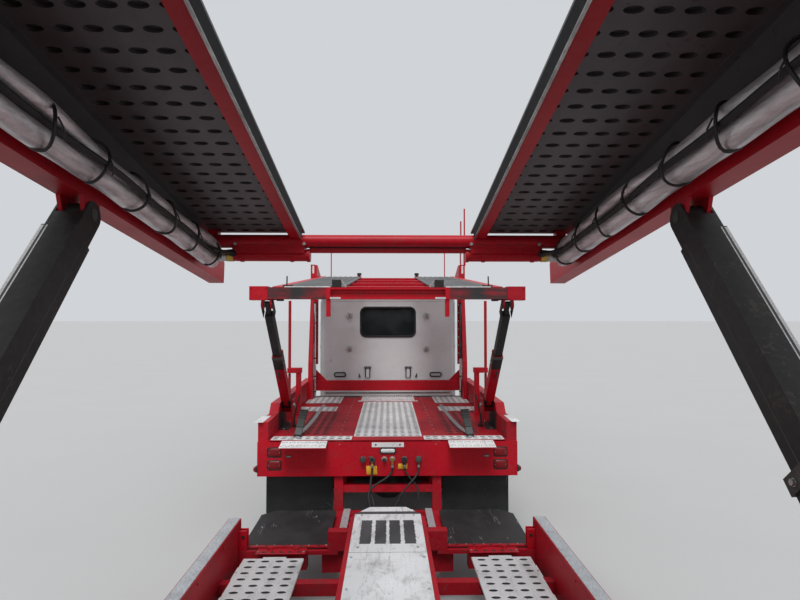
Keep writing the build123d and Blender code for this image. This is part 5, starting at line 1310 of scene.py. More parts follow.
def hook(shape, x, y, z, reach):
    """A flat hook at the strap's end, with its bent tip and its keeper."""
    shape.bar((x, y, z + 0.004), (x, y + reach * 0.6, z + 0.006), 0.046, 0.004, 0.001, "bare_steel")
    path = [(x, y + reach * 0.5, z + 0.008), (x, y + reach, z + 0.01), (x, y + reach * 1.2, z - 0.006),
            (x, y + reach * 1.1, z - 0.018)]
    shape.tube(smooth_path(path, 4), 0.006, 10, "bare_steel")


def make_truck_deck():
    """The tractor's deck: white punched strips, red panels, the bridge, its flaps, straps and ratchets."""
    deck = Shape("white_plate")
    top = 1.1065
    ring = bpy.context.scene.transporter_detail.runway_ring
    for y, rows in (((5.02, 5.7), 8), ((4.26, 4.63), 4)):
        punched_plate(deck, (0.68, 1.18), y, top + 0.004, (6, rows), (0.042, 0.028))
    punched_plate(deck, (0.62, 0.97), (2.67, 4.18), top - 0.001, (4, 17), (0.058, 0.046), "red_deck")
    # The bridge strip and the flap that slopes down from it
    punched_plate(deck, (0.362, 1.165), (2.372, 2.542), 1.1125, (10, 2), (0.046, 0.03))
    slope = unit((0.0, -0.23, -0.037))
    start = np.array([0.6, 2.176, 1.0698])
    rise = np.cross(ACROSS, -slope)
    # The cups' floors take the near-black dimple finish, painted shade for the holes
    punched(deck, start, ACROSS, -slope, (6, 2), (0.45 / 6, 0.096), (0.05, 0.034), 0.003, ring,
            "white_plate", "dimple")
    deck.bar(start + (0.225, -0.003, -0.006), start + (0.225, 0.0, -0.006) - slope * 0.196, 0.4504, 0.0095,
             0.002, "white_plate", up=rise)
    for x in (0.08, 0.37):
        place = start + (x, 0.192, 0.036)
        deck.tube([place + (-0.02, 0.0, 0.0), place + (-0.02, 0.0, 0.018), place + (0.02, 0.0, 0.018),
                   place + (0.02, 0.0, 0.0)], 0.004, 8, "bare_steel")
    for y in np.linspace(2.72, 5.6, 13):
        deck.bolt((0.5, y, 1.1002), UP, 0.009, "bare_steel")
    # Black sheet on the deck at the towers, painted shade where the real deck has dark openings to the wheels
    # below, and the short post with its arm that steadies the guard rod
    deck.block((0.43, 5.71, 1.1001), (1.11, 5.88, 1.103), 0.001, "black_rubber")
    # Worn pale cap on the side wall's rear corner
    deck.block((1.24, 2.372, 1.2801), (1.331, 2.78, 1.2832), 0.001, "white_plate")
    deck.block((1.1, 3.965, 1.1001), (1.16, 4.035, 1.64), 0.003, "red_paint")
    deck.block((1.09, 3.955, 1.63), (1.268, 4.045, 1.695), 0.004, "red_paint")
    deck.tube([(1.245, 4.0, 1.69), (1.245, 4.0, 2.542)], 0.0185, 14, "red_paint")
    deck.mirrored()
    punched_plate(deck, (-0.35, 0.35), (2.56, 5.13), top, (9, 34), (0.042, 0.026))
    # The corrugated strip ahead of the middle, and the pale strip across the floor behind it
    deck.block((-0.44, 5.215, 1.1003), (0.44, 5.245, 1.112), 0.003, "white_plate")
    ridges = 24
    profile = []
    for i in range(ridges):
        x = -0.4 + i * 0.8 / ridges
        profile += [(x, 1.102), (x + 0.008, 1.114), (x + 0.022, 1.114), (x + 0.03, 1.102)]
    deck.outline([*profile, (0.4, 1.1005), (-0.4, 1.1005)], 5.33, 5.86, 1, "white_plate")
    deck.make("truck_deck_plates", "truck", "white_paint")
    straps = Shape("webbing")
    for points, at, lean in (([(-0.89, 4.72, 1.112), (-0.892, 4.2, 1.109), (-0.886, 3.6, 1.11),
                               (-0.902, 2.9, 1.114), (-0.914, 2.59, 1.124)], (-0.916, 2.53), 0.012),
                             ([(0.74, 4.72, 1.112), (0.748, 4.2, 1.109), (0.765, 3.6, 1.11),
                               (0.8, 3.0, 1.112), (0.836, 2.59, 1.124)], (0.84, 2.53), -0.01)):
        strap(straps, points)
        x, y = at
        ratchet(straps, x, y, 1.108, lean)
        tail = [(x, y - 0.06, 1.122), (x + lean, y - 0.09, 1.116), (x + lean * 3, y - 0.13, 1.1155)]
        strap(straps, tail, 0.022)
        hook(straps, points[0][0], points[0][1] - 0.01, 1.112, 0.05)
    straps.make("tie_down_straps", "truck", "black_steel")


def loop_tube(shape, centre, size, corner, radius, finish):
    """A closed bar bent to a rounded rectangle that stands parallel to the wall behind the cab."""
    flat = rounded(size[0], size[1], corner, 5)
    ring = np.array([(centre[0] + a, centre[1], centre[2] + b) for a, b in flat])
    path = np.vstack([ring, ring[:1]])
    return shape.tube(path, radius, 10, finish, caps=False)


def gasket(shape, centre, size, corner, width, height, finish):
    """A raised rounded frame on a wall that faces backwards."""
    rings = []
    for rise, inset in ((0.0, 0.0), (height * 0.7, 0.002), (height, width * 0.3), (height, width * 0.7),
                        (0.0, width)):
        flat = rounded(size[0] - 2 * inset, size[1] - 2 * inset, corner - inset, 8)
        rings.append(np.array([(centre[0] + a, centre[1] - rise, centre[2] + b) for a, b in flat])[::-1])
    return shape.rings(rings, finish, caps=False)


def make_cab_rear():
    """Window frame, hand knobs, grab loops, tie blocks and hatch latch on the wall behind the sleeper."""
    shape = Shape("black_rubber")
    for x in (0.72, 0.84):
        shape.tube([(x, WALL_Y, 1.379), (x, WALL_Y - 0.026, 1.379)], 0.01, 10, "black_plastic")
    x = 0.33
    for offset in (-0.034, 0.034):
        shape.block((x + offset - 0.008, WALL_Y - 0.03, 1.366), (x + offset + 0.008, WALL_Y, 1.52), 0.002,
                    "black_plastic")
    shape.block((x - 0.026, WALL_Y - 0.024, 1.366), (x + 0.026, WALL_Y, 1.5), 0.002, "white_paint")
    shape.block((x - 0.056, WALL_Y - 0.034, 1.512), (x + 0.056, WALL_Y, 1.54), 0.004, "black_plastic")
    for offset in (-0.036, 0.0, 0.036):
        shape.bolt((x + offset, WALL_Y - 0.034, 1.526), BACK, 0.008, "bare_steel")
    shape.outline([(0.478, 1.366), (0.442, 1.366), (0.472, 1.436)], WALL_Y - 0.02, WALL_Y, 1,
                  "black_plastic")
    shape.mirrored()
    for side in SIDES:
        loop_tube(shape, (side * 0.78, WALL_Y - 0.026, 1.41), (0.18, 0.062), 0.028, 0.011, "black_plastic")
    gasket(shape, (0.0, WALL_Y, 2.265), (0.92, 0.51), 0.105, 0.034, 0.014, "black_rubber")
    # The opaque near-black pane over the window is painted shade: it stands in for the dark inside of the
    # sleeper seen through the glass
    pad(shape, (0.0, WALL_Y + 0.0117, 2.265), BACK, (0.872, 0.462), 0.085, FOIL, "dark_glass")
    for x, z in ((0.63, 2.366), (-0.63, 2.366), (0.63, 1.824), (-0.63, 1.824)):
        shape.lathe((x, WALL_Y, z), BACK, [(0.0, 0.02), (0.014, 0.018)], 16, "bare_steel")
        star(shape, (x, WALL_Y - 0.014, z), BACK, 0.047, 0.018, 5, "bare_steel")
        shape.bolt((x, WALL_Y - 0.034, z), BACK, 0.011, "cast_grey")
    pad(shape, (-0.96, WALL_Y, 1.64), BACK, (0.034, 0.06), 0.015,
        ((0.0, 0.0), (0.006, 0.001), (0.01, 0.006)), "white_paint")
    shape.block((-1.02, WALL_Y - 0.004, 1.1), (1.02, WALL_Y, 1.125), 0.001, "bare_steel")
    for x in np.linspace(-0.96, 0.96, 9):
        shape.bolt((x, WALL_Y, 1.16), BACK, 0.006, "bare_steel")
    shape.make("cab_rear_fittings", "truck", "black_rubber")
    seams = Shape("black_plastic")
    for z in (1.3, 2.6):
        seams.block((-1.03, WALL_Y - 0.0006, z - 0.0015), (1.03, WALL_Y + 0.0005, z + 0.0015), 0.0002)
    seams.make("cab_rear_seams", "truck", "black_steel")


def make_towers():
    """Guide rods in silver sleeves, studded strips, shelves and worn heads of the towers behind the cab."""
    shape = Shape("red_paint")
    x = 1.12
    shape.tube([(x, 5.61, 1.101), (x, 5.61, 1.72)], 0.0195, 20, "tank_aluminium")
    for z in (1.2, 1.435, 1.712, 2.56):
        shape.lathe((x, 5.61, z), UP, [(-0.008, 0.0235), (0.008, 0.0235)], 20, "black_steel")
    # Studded angle strip beside the rod
    shape.block((1.074, 5.652, 1.62), (1.136, 5.66, 2.7), 0.001, "red_paint")
    shape.block((1.074, 5.616, 1.62), (1.081, 5.655, 2.7), 0.001, "red_paint")
    # Wear plate on the foot's top
    shape.block((1.136, 5.39, 1.38), (1.194, 5.57, 1.3835), 0.001, "white_plate")
    # Cap of the tower's head, worn white along its edge, with its hinge pin's retainer
    shape.block((1.132, 5.634, 3.147), (1.198, 5.766, 3.156), 0.002, "red_paint")
    shape.block((1.142, 5.6385, 3.02), (1.17, 5.6402, 3.14), 0.0004, "white_plate")
    shape.lathe((1.196, *HINGE), ACROSS, [(0.0, 0.06), (0.006, 0.058)], 24, "red_paint")
    round_bolts(shape, (1.202, *HINGE), ACROSS, 0.0, 0.042, 4, 0.009, "bare_steel", 0.5)
    # Silver heat sleeves and knobs on the hinge tube
    shape.lathe((0.66, *HINGE), ACROSS, [(0.0, 0.048), (0.002, 0.052), (0.03, 0.052), (0.032, 0.048)], 24,
                "tank_aluminium")
    shape.block((0.425, 5.944, 2.88), (0.495, 5.956, 3.0), 0.003, "red_paint")
    shape.lathe((0.46, 5.965, 2.996), UP, [(0.0, 0.02), (0.014, 0.02), (0.016, 0.034), (0.048, 0.036),
                                           (0.054, 0.028)], 20, "black_rubber")
    shape.block((0.475, 5.948, 2.96), (0.54, 5.955, 2.975), 0.002, "red_paint")
    shape.mirrored()
    # The guide rods' upper lengths, and the studs of the right strip
    for x, finish in ((-1.12, "tank_aluminium"), (1.12, "cast_grey")):
        shape.tube([(x, 5.61, 1.72), (x, 5.61, 2.56)], 0.0172, 20, finish)
    for z in np.linspace(1.66, 2.66, 9):
        shape.bolt((1.097, 5.652, z), BACK, 0.01, "bare_steel")
    # White inner post of the right tower, with its knob
    shape.block((1.139, 5.655, 3.148), (1.16, 5.672, 3.48), 0.002, "white_plate")
    shape.lathe((1.15, 5.663, 3.48), UP, [(0.0, 0.01), (0.004, 0.018), (0.03, 0.018), (0.036, 0.012)], 16,
                "black_rubber")
    # Bolts of the cross-member and black knob of the shorter guide rod
    for x in (-1.02, -0.96, 0.96, 1.02):
        shape.bolt((x, 5.66, 1.288), BACK, 0.011, "red_paint")
    shape.lathe((1.145, 5.73, 3.476), UP, [(0.0, 0.018), (0.004, 0.021), (0.04, 0.021), (0.046, 0.014)], 16,
                "black_rubber")
    shape.make("tower_fittings", "truck", "red_paint")


def make_upper_rear():
    """Grease, labels, stops, lips and handles of the tractor's upper deck at its rear cross-beam."""
    shape = Shape("red_paint")
    face, top = 1.9785, 2.6065
    # Greasy skin over the beam's outer half
    shape.block((0.585, face - 0.0006, 2.4955), (1.1235, face + 0.001, 2.6045), 0.0003, "greasy_beam")
    shape.block((0.585, 1.9805, 2.6045), (1.1235, 2.0795, 2.606), 0.0003, "greasy_beam")
    pad(shape, (0.494, 1.9803, 2.505), BACK, (0.1, 0.018), 0.004, ((0.0, 0.0), (0.0012, 0.0004)), "label")
    # Stop block with its short diagonal strut
    shape.block((0.442, 2.0, top - 0.002), (0.528, 2.07, top + 0.072), 0.004, "black_steel")
    shape.bar((0.44, 2.03, top + 0.066), (0.395, 2.03, top + 0.004), 0.018, 0.008, 0.001, "bare_steel",
              AHEAD)
    # Runway's rear lip, folded down and worn
    shape.block((0.545, 2.005, top - 0.001), (0.975, 2.16, top + 0.009), 0.002, "white_plate")
    for x in np.linspace(0.59, 0.93, 5):
        shape.bolt((x, 2.08, top + 0.009), UP, 0.007, "bare_steel")
    # Ratchet handle standing on the beam
    shape.lathe((0.96, 2.06, top), UP, [(0.0, 0.024), (0.012, 0.022)], 16, "cast_grey")
    shape.tube([(0.96, 2.06, top + 0.01), (0.958, 2.06, top + 0.11)], 0.0065, 10, "black_steel")
    shape.tube([(0.9, 2.06, top + 0.022), (1.0, 2.06, top + 0.018)], 0.006, 10, "black_steel")
    # Lower flange and its black bump stop under the beam, and pale cup of the end box
    shape.block((0.985, 1.99, 2.478), (1.045, 2.06, 2.496), 0.004, "black_rubber")
    shape.lathe((1.21, BEAM_Y + 0.0005, 2.535), BACK, [(0.0, 0.03), (0.003, 0.029), (0.0035, 0.016)], 20,
                "red_paint")
    for x in (1.142, 1.278):
        for z in (2.502, 2.598):
            shape.bolt((x, BEAM_Y, z), BACK, 0.008, "red_paint")
    shape.mirrored()
    # Ridge along the middle of the beam's groove
    shape.block((-0.538, 2.0185, 2.546), (0.538, 2.0205, 2.554), 0.0008, "red_greasy")
    shape.block((-0.538, 1.98, 2.5865), (0.538, 1.9805, 2.5885), 0.0002, "red_greasy")
    shape.make("upper_rear_fittings", "truck_upper_deck", "red_paint")


class Leg:
    """The line of a telescopic post in side view, at a place across: gives points and bars along it."""

    def __init__(self, foot, head, x):
        self.foot = np.array([x, *foot])
        self.along = unit(np.array([x, *head]) - self.foot)
        self.rise = np.cross(ACROSS, self.along)
        self.length = float(np.linalg.norm(np.array([x, *head]) - self.foot))

    def at(self, distance, across=0.0, rise=0.0):
        """The point at a distance from the foot, and off the line across and upwards."""
        return self.foot + self.along * distance + (across, 0.0, 0.0) + self.rise * rise

    def bar(self, shape, start, end, across, rise, width, depth, finish, edge=0.001):
        """A bar beside the line, between two distances from the foot."""
        return shape.bar(self.at(start, across, rise), self.at(end, across, rise), width, depth, edge,
                         finish, self.rise)

    def collar(self, shape, start, end, inner, outer, finish, thin=None):
        """A square collar round the post, open for what slides in it; thin is its outer width across."""
        wall, middle = (outer - inner) / 2, (outer + inner) / 4
        across = thin or outer
        for sign in SIDES:
            self.bar(shape, start, end, sign * (across + inner) / 4, 0.0, (across - inner) / 2, outer,
                     finish, 0.0003)
            self.bar(shape, start, end, 0.0, sign * middle, inner, wall, finish)


TRUCK_POST = ((3.23, 1.33), (2.05, 2.45), 1.14)
FRONT_STRUT = ((-3.05, 0.79), (-1.35, 2.7), 1.18)
REAR_STRUT = ((-7.0, 1.23), (-9.6, 2.96), 1.18)


def head_plates(shape, leg, reach, inner, outer, width):
    """Two side plates that carry the rod on past its neck, rounded over the cross pin at its head."""
    for sign in SIDES:
        points = []
        for angle in np.linspace(-math.pi / 2, math.pi / 2, 13):
            place = leg.at(leg.length + width / 2 * 0.9 * math.cos(angle), 0.0, width / 2 * math.sin(angle))
            points.append(place[1:])
        points += [leg.at(leg.length - reach, 0.0, width / 2)[1:],
                   leg.at(leg.length - reach, 0.0, -width / 2)[1:]]
        shape.outline(points, leg.foot[0] + sign * inner, leg.foot[0] + sign * outer, 0, "black_steel")
        face = leg.at(leg.length, sign * outer)
        shape.lathe(face, (sign, 0, 0), [(0.0, width * 0.22), (0.002, width * 0.22), (0.0025, width * 0.14),
                                         (0.0032, width * 0.13)], 20, "cast_grey")


def make_truck_posts():
    """Collars, pins, lock holes, foot levers and liners of the tractor's upper deck posts."""
    barrels = Shape("red_paint")
    rods = Shape("black_steel")
    deck = Shape("black_rubber")
    foot, head, x = TRUCK_POST
    leg = Leg(foot, head, x)
    leg.collar(barrels, 0.862, 0.902, 0.0995, 0.112, "cast_grey", 0.1026)
    leg.collar(barrels, 0.7, 0.862, 0.0998, 0.1012, "black_steel")
    for distance in (0.875, 0.74):
        barrels.bolt(leg.at(distance - 0.12, -0.0505), INWARD, 0.01, "bare_steel")
    # Lock lever on a short bracket on the barrel's front face
    leg.bar(barrels, 0.56, 0.6, 0.0, 0.058, 0.03, 0.02, "red_paint")
    lever = [leg.at(0.58, 0.0, 0.066), leg.at(0.6, 0.0, 0.092), leg.at(0.68, 0.0, 0.104)]
    barrels.tube(lever, 0.007, 10, "black_steel")
    barrels.lathe(leg.at(0.68, 0.0, 0.104), leg.along, [(0.0, 0.01), (0.006, 0.014), (0.04, 0.013),
                                                        (0.046, 0.008)], 12, "black_rubber")
    for rise in (-0.05, 0.05):
        leg.bar(barrels, 0.06, 0.7, 0.0, rise, 0.05, 0.003, "red_paint")
    # Holes for the lock pin along the rod's inner face, drawn as black discs that are painted shade for the
    # holes' depth, and its worn edges
    for distance in np.arange(0.95, leg.length - 0.16, 0.075):
        rods.lathe(leg.at(distance, -0.0399), INWARD, [(0.0, 0.0135), (0.0004, 0.0132)], 16, "black_plastic")
    for across in (-0.036, 0.036):
        leg.bar(rods, 0.93, leg.length - 0.135, across, 0.04, 0.006, 0.0008, "cast_grey", 0.0001)
    head_plates(rods, leg, 0.145, 0.0515, 0.0555, 0.08)
    # Grease at the barrel's foot
    leg.collar(barrels, 0.02, 0.15, 0.0998, 0.101, "black_steel")
    # Trough liner, foot pin and long release lever, which ride on the tractor's deck
    deck.block((1.086, 2.96, 1.1003), (1.194, 3.48, 1.104), 0.001, "black_rubber")
    deck.block((1.1925, 2.98, 1.105), (1.1948, 3.46, 1.278), 0.0004, "black_rubber")
    deck.lathe((1.07, *foot), INWARD, [(0.0, 0.034), (0.006, 0.034), (0.007, 0.024), (0.018, 0.022)], 20,
               "bare_steel")
    lever = [(1.045, 3.15, 1.11), (1.05, 3.17, 1.2), (1.02, 3.23, 1.38), (1.005, 3.255, 1.455)]
    deck.tube(smooth_path(lever, 4), 0.0095, 10, "black_steel")
    deck.lathe(lever[0], DOWN, [(-0.012, 0.026), (0.0095, 0.026)], 16, "black_steel")
    for y in (2.99, 3.45):
        deck.bolt((1.14, y, 1.104), UP, 0.008, "bare_steel")
    barrels.mirrored()
    rods.mirrored()
    deck.mirrored()
    barrels.make("truck_post_collars", "truck_posts", "red_paint")
    rods.make("truck_rod_marks", "truck_rods", "black_steel")
    deck.make("truck_post_troughs", "truck", "black_rubber")


def make_struts():
    """Edge rails, lock holes, collars and pins of the trailer's struts."""
    for name, (foot, head, x), barrel_end, barrel_body, rod_body in (("front", FRONT_STRUT, 1.5,
                                                                      "front_struts", "front_strut_rods"),
                                                                     ("rear", REAR_STRUT, 1.7, "rear_struts",
                                                                      "rear_strut_rods")):
        barrels = Shape("black_steel")
        rods = Shape("black_steel")
        leg = Leg(foot, head, x)
        leg.collar(barrels, barrel_end - 0.05, barrel_end + 0.003, 0.1495, 0.166, "cast_grey")
        leg.collar(barrels, 0.23, 0.29, 0.1495, 0.158, "black_steel")
        for distance in (0.26, barrel_end - 0.025):
            for rise in (-0.045, 0.045):
                reach = 0.079 if distance < 1.0 else 0.083
                barrels.bolt(leg.at(distance, -reach, rise), INWARD, 0.011, "bare_steel")
        for rise in (-0.0752, 0.0752):
            for across in (-0.06, 0.06):
                leg.bar(barrels, 0.3, barrel_end - 0.055, across, rise, 0.012, 0.003, "black_steel")
        # Shallow press line along the inner face, between two ridges
        for rise in (-0.03, 0.03):
            leg.bar(barrels, 0.34, barrel_end - 0.1, -0.0755, rise, 0.0025, 0.006, "black_steel")
        barrels.bolt(leg.at(0.2, -0.075, 0.0), INWARD, 0.007, "bare_steel")
        # The rod: pale worn edges with a dark channel between them
        end = leg.length - 0.135
        start = barrel_end + 0.012
        for across, width in ((0.0572, 0.0115), (0.04, 0.005)):
            leg.bar(rods, start, end, across, 0.063, width, 0.0006, "bare_steel", 0.0001)
        leg.bar(rods, start, end, 0.047, 0.063, 0.008, 0.0006, "black_plastic", 0.0001)
        leg.bar(rods, start, end, 0.063, 0.057, 0.0006, 0.01, "bare_steel", 0.0001)
        leg.bar(rods, start, end, -0.0629, -0.02, 0.0006, 0.003, "cast_grey", 0.0001)
        head_plates(rods, leg, 0.15, 0.0515, 0.06, 0.108)
        leg.bar(rods, leg.length - 0.152, leg.length - 0.042, 0.0, 0.0522, 0.104, 0.003, "black_steel")
        barrels.mirrored()
        rods.mirrored()
        barrels.make(f"{name}_strut_collars", barrel_body, "black_steel")
        rods.make(f"{name}_strut_marks", rod_body, "black_steel")


def make_trailer_posts():
    """Hinge bosses, stiffeners, ladders of lock holes and pins on the trailer's fixed posts."""
    shape = Shape("red_paint")
    out = 1.29
    for y, z in ((-4.2, 3.173), (-4.5, 3.12)):
        shape.lathe((out, y, z), ACROSS, [(0.0, 0.072), (0.008, 0.07), (0.0085, 0.05), (0.012, 0.048)], 28,
                    "red_paint")
        shape.lathe((1.1195, y, z), INWARD, [(0.0, 0.029), (0.006, 0.04), (0.012, 0.038)], 24, "bare_steel")
        round_bolts(shape, (out, y, z), ACROSS, 0.008, 0.06, 6, 0.006, "bare_steel")
    # Vertical stiffeners, and holes for the deck's lock pins, drawn as black discs that are painted shade for
    # the holes' depth
    for y in (-4.6375, -4.05):
        for z in np.arange(0.8, 2.3, 0.125):
            shape.lathe((out, y, z), ACROSS, [(0.0, 0.017), (0.0008, 0.0165)], 16, "black_plastic")
    for y in (-4.7, -4.02):
        shape.block((1.296, y - 0.01, 0.69), (1.29, y + 0.01, 0.99), 0.001, "red_paint")
    shape.block((1.296, -4.56, 2.42), (1.29, -4.14, 2.436), 0.001, "red_paint")
    for y in (-4.56, -4.35, -4.14):
        shape.bolt((out, y, 2.48), ACROSS, 0.011, "bare_steel")
    # Foot plates on the rail, with their bolts
    shape.block((1.2, -4.735, 0.6805), (1.294, -3.965, 0.69), 0.001, "red_deck")
    for y in np.linspace(-4.7, -4.0, 6):
        shape.bolt((1.215, y, 0.69), UP, 0.009, "bare_steel")
    # Pin heads in the feet of the struts
    for (foot, _, x) in (FRONT_STRUT, REAR_STRUT):
        ear = x - 0.093
        shape.lathe((ear, *foot), INWARD, [(0.0, 0.042), (0.006, 0.042), (0.0065, 0.029), (0.018, 0.027)],
                    20, "bare_steel")
        shape.lathe((1.295, *foot), ACROSS, [(0.0, 0.042), (0.005, 0.042), (0.0055, 0.029), (0.012, 0.026)],
                    20, "bare_steel")
    shape.mirrored()
    shape.make("trailer_post_fittings", "trailer", "red_paint")


# The lower deck's floor in side view, from its front edge back, with the rows of dimples on each part
FLOOR_PARTS = [
    ((1.072, 0.45), (-5.44, 0.45), 62),
    ((-5.455, 0.4535), (-6.495, 0.9495), 11),
    ((-6.505, 0.95), (-9.895, 0.95), 32),
    ((-9.905, 0.949), (-11.395, 0.7615), 14),
]


def make_lower_deck():
    """The lower deck's punched plates, with the tab and the folded edges of each."""
    shape = Shape("white_plate")
    ring = bpy.context.scene.transporter_detail.deck_ring
    for start, end, rows in FLOOR_PARTS:
        start, end = np.array([0.0, *start]), np.array([0.0, *end])
        back = unit(end - start)
        rise = unit(np.cross(back, ACROSS))
        rise = rise if rise[2] > 0 else -rise
        length = float(np.linalg.norm(end - start))
        place = end + (0.666, 0.0, 0.0) + rise * 0.0045
        # The cups' floors take the near-black dimple finish, painted shade for the holes
        punched(shape, place, ACROSS, -back, (4, rows), (0.433 / 4, length / rows), (0.056, 0.032), 0.0035,
                ring, "white_plate", "dimple")
        for x in (0.6585, 1.1065):
            shape.bar(start + (x, 0.0, 0.0) + rise * 0.0015, end + (x, 0.0, 0.0) + rise * 0.0015, 0.0145,
                      0.0065, 0.001, "white_plate", rise)
        for distance in np.arange(0.26, length, 0.52):
            for x in (0.6585, 1.1065):
                shape.bolt(start + back * distance + (x, 0.0, 0.0) + rise * 0.0047, rise, 0.0055,
                           "bare_steel")
    shape.block((0.79, 1.07, 0.444), (0.97, 1.108, 0.4535), 0.002, "white_plate")
    shape.block((0.652, 1.0705, 0.439), (1.113, 1.0765, 0.4543), 0.001, "white_plate")
    shape.mirrored()
    shape.make("lower_deck_plates", "trailer", "white_cover")


def make_trailer_front():
    """Clamp plates, rail caps, lugs, silver bars and their brackets at the front of the trailer."""
    shape = Shape("red_paint")
    shape.block((0.65, 1.16, 0.4503), (1.045, 1.3, 0.459), 0.002, "red_paint")
    for x in np.linspace(0.705, 0.985, 5):
        shape.lathe((x, 1.192, 0.459), UP, [(0.0, 0.0175), (0.0006, 0.017)], 20, "black_plastic")
    for x in (0.668, 1.028):
        shape.bolt((x, 1.192, 0.459), UP, 0.008, "bare_steel")
    for x in (0.735, 0.94):
        shape.tube([(x - 0.018, 1.238, 0.459), (x - 0.018, 1.238, 0.475), (x + 0.018, 1.238, 0.475),
                    (x + 0.018, 1.238, 0.459)], 0.005, 8, "red_paint")
    # Worn cap strip along the rail's top, in lengths with small gaps
    for y_low, y_high in ((-3.7, 1.326), (-5.38, -4.95)):
        for start in np.arange(y_low, y_high, 1.68):
            shape.block((1.203, start + 0.002, 0.6802), (1.289, min(start + 1.676, y_high), 0.6845), 0.001,
                        "zinc")
    # Lug at the rail's inner front corner and plate behind it
    shape.block((1.128, 1.24, 0.451), (1.196, 1.252, 0.61), 0.003, "red_paint")
    shape.block((1.128, 1.3, 0.451), (1.196, 1.312, 0.61), 0.003, "red_paint")
    shape.tube([(1.158, 1.236, 0.56), (1.158, 1.318, 0.56)], 0.014, 14, "black_steel")
    # Silver bar beside the neck, over its red carrier, and the bracket at its rear end
    shape.block((0.3485, 1.398, 0.5192), (0.4115, 2.0412, 0.5335), 0.0015, "zinc")
    shape.block((0.332, 1.326, 0.495), (0.428, 1.404, 0.556), 0.003, "red_paint")
    shape.bolt((0.38, 1.365, 0.556), UP, 0.011, "bare_steel")
    for y in (1.52, 1.76, 1.98):
        shape.bolt((0.38, y, 0.5335), UP, 0.006, "bare_steel")
    shape.mirrored()
    shape.make("trailer_front_fittings", "trailer", "red_paint")


def make_side_fittings():
    """Marker lamps, tie rails and stake pockets along the outside of the trailer's rails."""
    shape = Shape("red_paint")
    out = RAIL_X
    way = ACROSS
    for y in (1.1, -1.8, -4.35):
        pad(shape, (out, y, 0.61), way, (0.11, 0.046), 0.02, THIN, "black_rubber")
        pad(shape, (out + 0.004, y, 0.61), way, (0.096, 0.034), 0.015,
            ((0.0, 0.0), (0.01, 0.001), (0.014, 0.006)), "amber_lens")
    # Tie rail: a rod on short standoffs under the rail's lower edge
    for y in np.arange(-5.05, 1.2, 0.42):
        shape.block((out, y - 0.012, 0.345), (out + 0.01, y + 0.012, 0.395), 0.002, "red_deck")
    shape.tube([(out + 0.014, -5.15, 0.37), (out + 0.014, 1.22, 0.37)], 0.008, 10, "red_deck")
    for y in np.arange(-5.2, 1.3, 0.6):
        shape.bolt((out, y, 0.655), way, 0.007, "red_deck")
        shape.bolt((1.195, y, 0.64), INWARD, 0.008, "red_deck")
    shape.mirrored()
    shape.make("trailer_side_fittings", "trailer", "red_paint")


def tyre_profile(low, high, rim, radius, grooves=4):
    """Closed section of a tyre between two faces, with moulded rings and straight tread grooves."""
    middle = (rim + radius) / 2
    inner = [(low + 0.012, rim), (low + 0.004, rim + 0.01), (low, rim + 0.028), (low - 0.003, rim + 0.04),
             (low - 0.0015, rim + 0.044), (low - 0.004, middle), (low, radius - 0.058),
             (low + 0.004, radius - 0.05), (low + 0.01, radius - 0.022), (low + 0.032, radius - 0.004)]
    tread = []
    for place in np.linspace(low + 0.052, high - 0.052, grooves):
        tread += [(place - 0.0065, radius), (place - 0.005, radius - 0.013), (place + 0.005, radius - 0.013),
                  (place + 0.0065, radius)]
    outer = [(low + high - along, size) for along, size in reversed(inner)]
    return inner + tread + outer


def tyre_with_tread(shape, centre, axis, low, high, rim, radius):
    """A tyre with grooves, and lugs cut round both shoulders."""
    shape.lathe(centre, axis, tyre_profile(low, high, rim, radius), 64, "tyre_rubber", closed=True)
    axis, centre = unit(axis), np.asarray(centre, float)
    across, rise = side_axes(axis)
    lugs = 52
    for i in range(lugs):
        angle = i * 2 * math.pi / lugs
        out = across * math.cos(angle) + rise * math.sin(angle)
        ahead = np.cross(axis, out)
        turn = np.column_stack([axis, ahead, out])
        for start, end in ((low + 0.005, low + 0.04), (high - 0.04, high - 0.005)):
            half = np.array([(end - start) / 2, math.pi * radius / lugs * 0.62, 0.012])
            middle = centre + axis * (start + end) / 2 + out * (radius - 0.0125)
            shape.block(middle - half, middle + half, 0.003, "tyre_rubber", turn, middle)


def round_places(centre, axis, along, radius, count, phase=0.0):
    """Places round a circle on a face; the phase is a share of the step from one to the next."""
    axis = unit(axis)
    across, rise = side_axes(axis)
    angle = (np.arange(count) + phase)[:, None] * 2 * math.pi / count
    return np.asarray(centre) + axis * along + radius * (across * np.cos(angle) + rise * np.sin(angle))


def round_bolts(shape, centre, axis, along, radius, count, size, finish, phase=0.0):
    """Bolts round a circle on a face of a wheel or a boss."""
    for place in round_places(centre, axis, along, radius, count, phase):
        shape.bolt(place, axis, size, finish)


def hand_holes(shape, centre, axis, along, radius, count, size):
    """Dark oval openings round a wheel's disc, each with its rolled edge."""
    edge = np.asarray(axis) * 0.0012
    for place in round_places(centre, axis, along, radius, count, 0.5):
        shape.lathe(place, axis, [(0.0, size * 1.12), (0.0012, size * 1.02)], 20, "tank_aluminium")
        shape.lathe(place + edge, axis, [(0.0, size * 0.98), (0.0004, size * 0.96)], 20, "black_plastic")


# Twin wheels: CAD node, body, axle's place along, tyre and rim radius, bolt circle, hand hole circle and size
TWINS = [
    ("drive_wheels_front", "drive_front", 4.5, 0.48, 0.286, 0.148, 0.204, 0.026),
    ("drive_wheels_rear", "drive_rear", 3.2, 0.48, 0.286, 0.148, 0.204, 0.026),
    ("trailer_wheels_front", "trailer_front", -7.75, 0.42, 0.225, 0.138, 0.164, 0.014),
    ("trailer_wheels_rear", "trailer_rear", -9.05, 0.42, 0.225, 0.138, 0.164, 0.014),
]


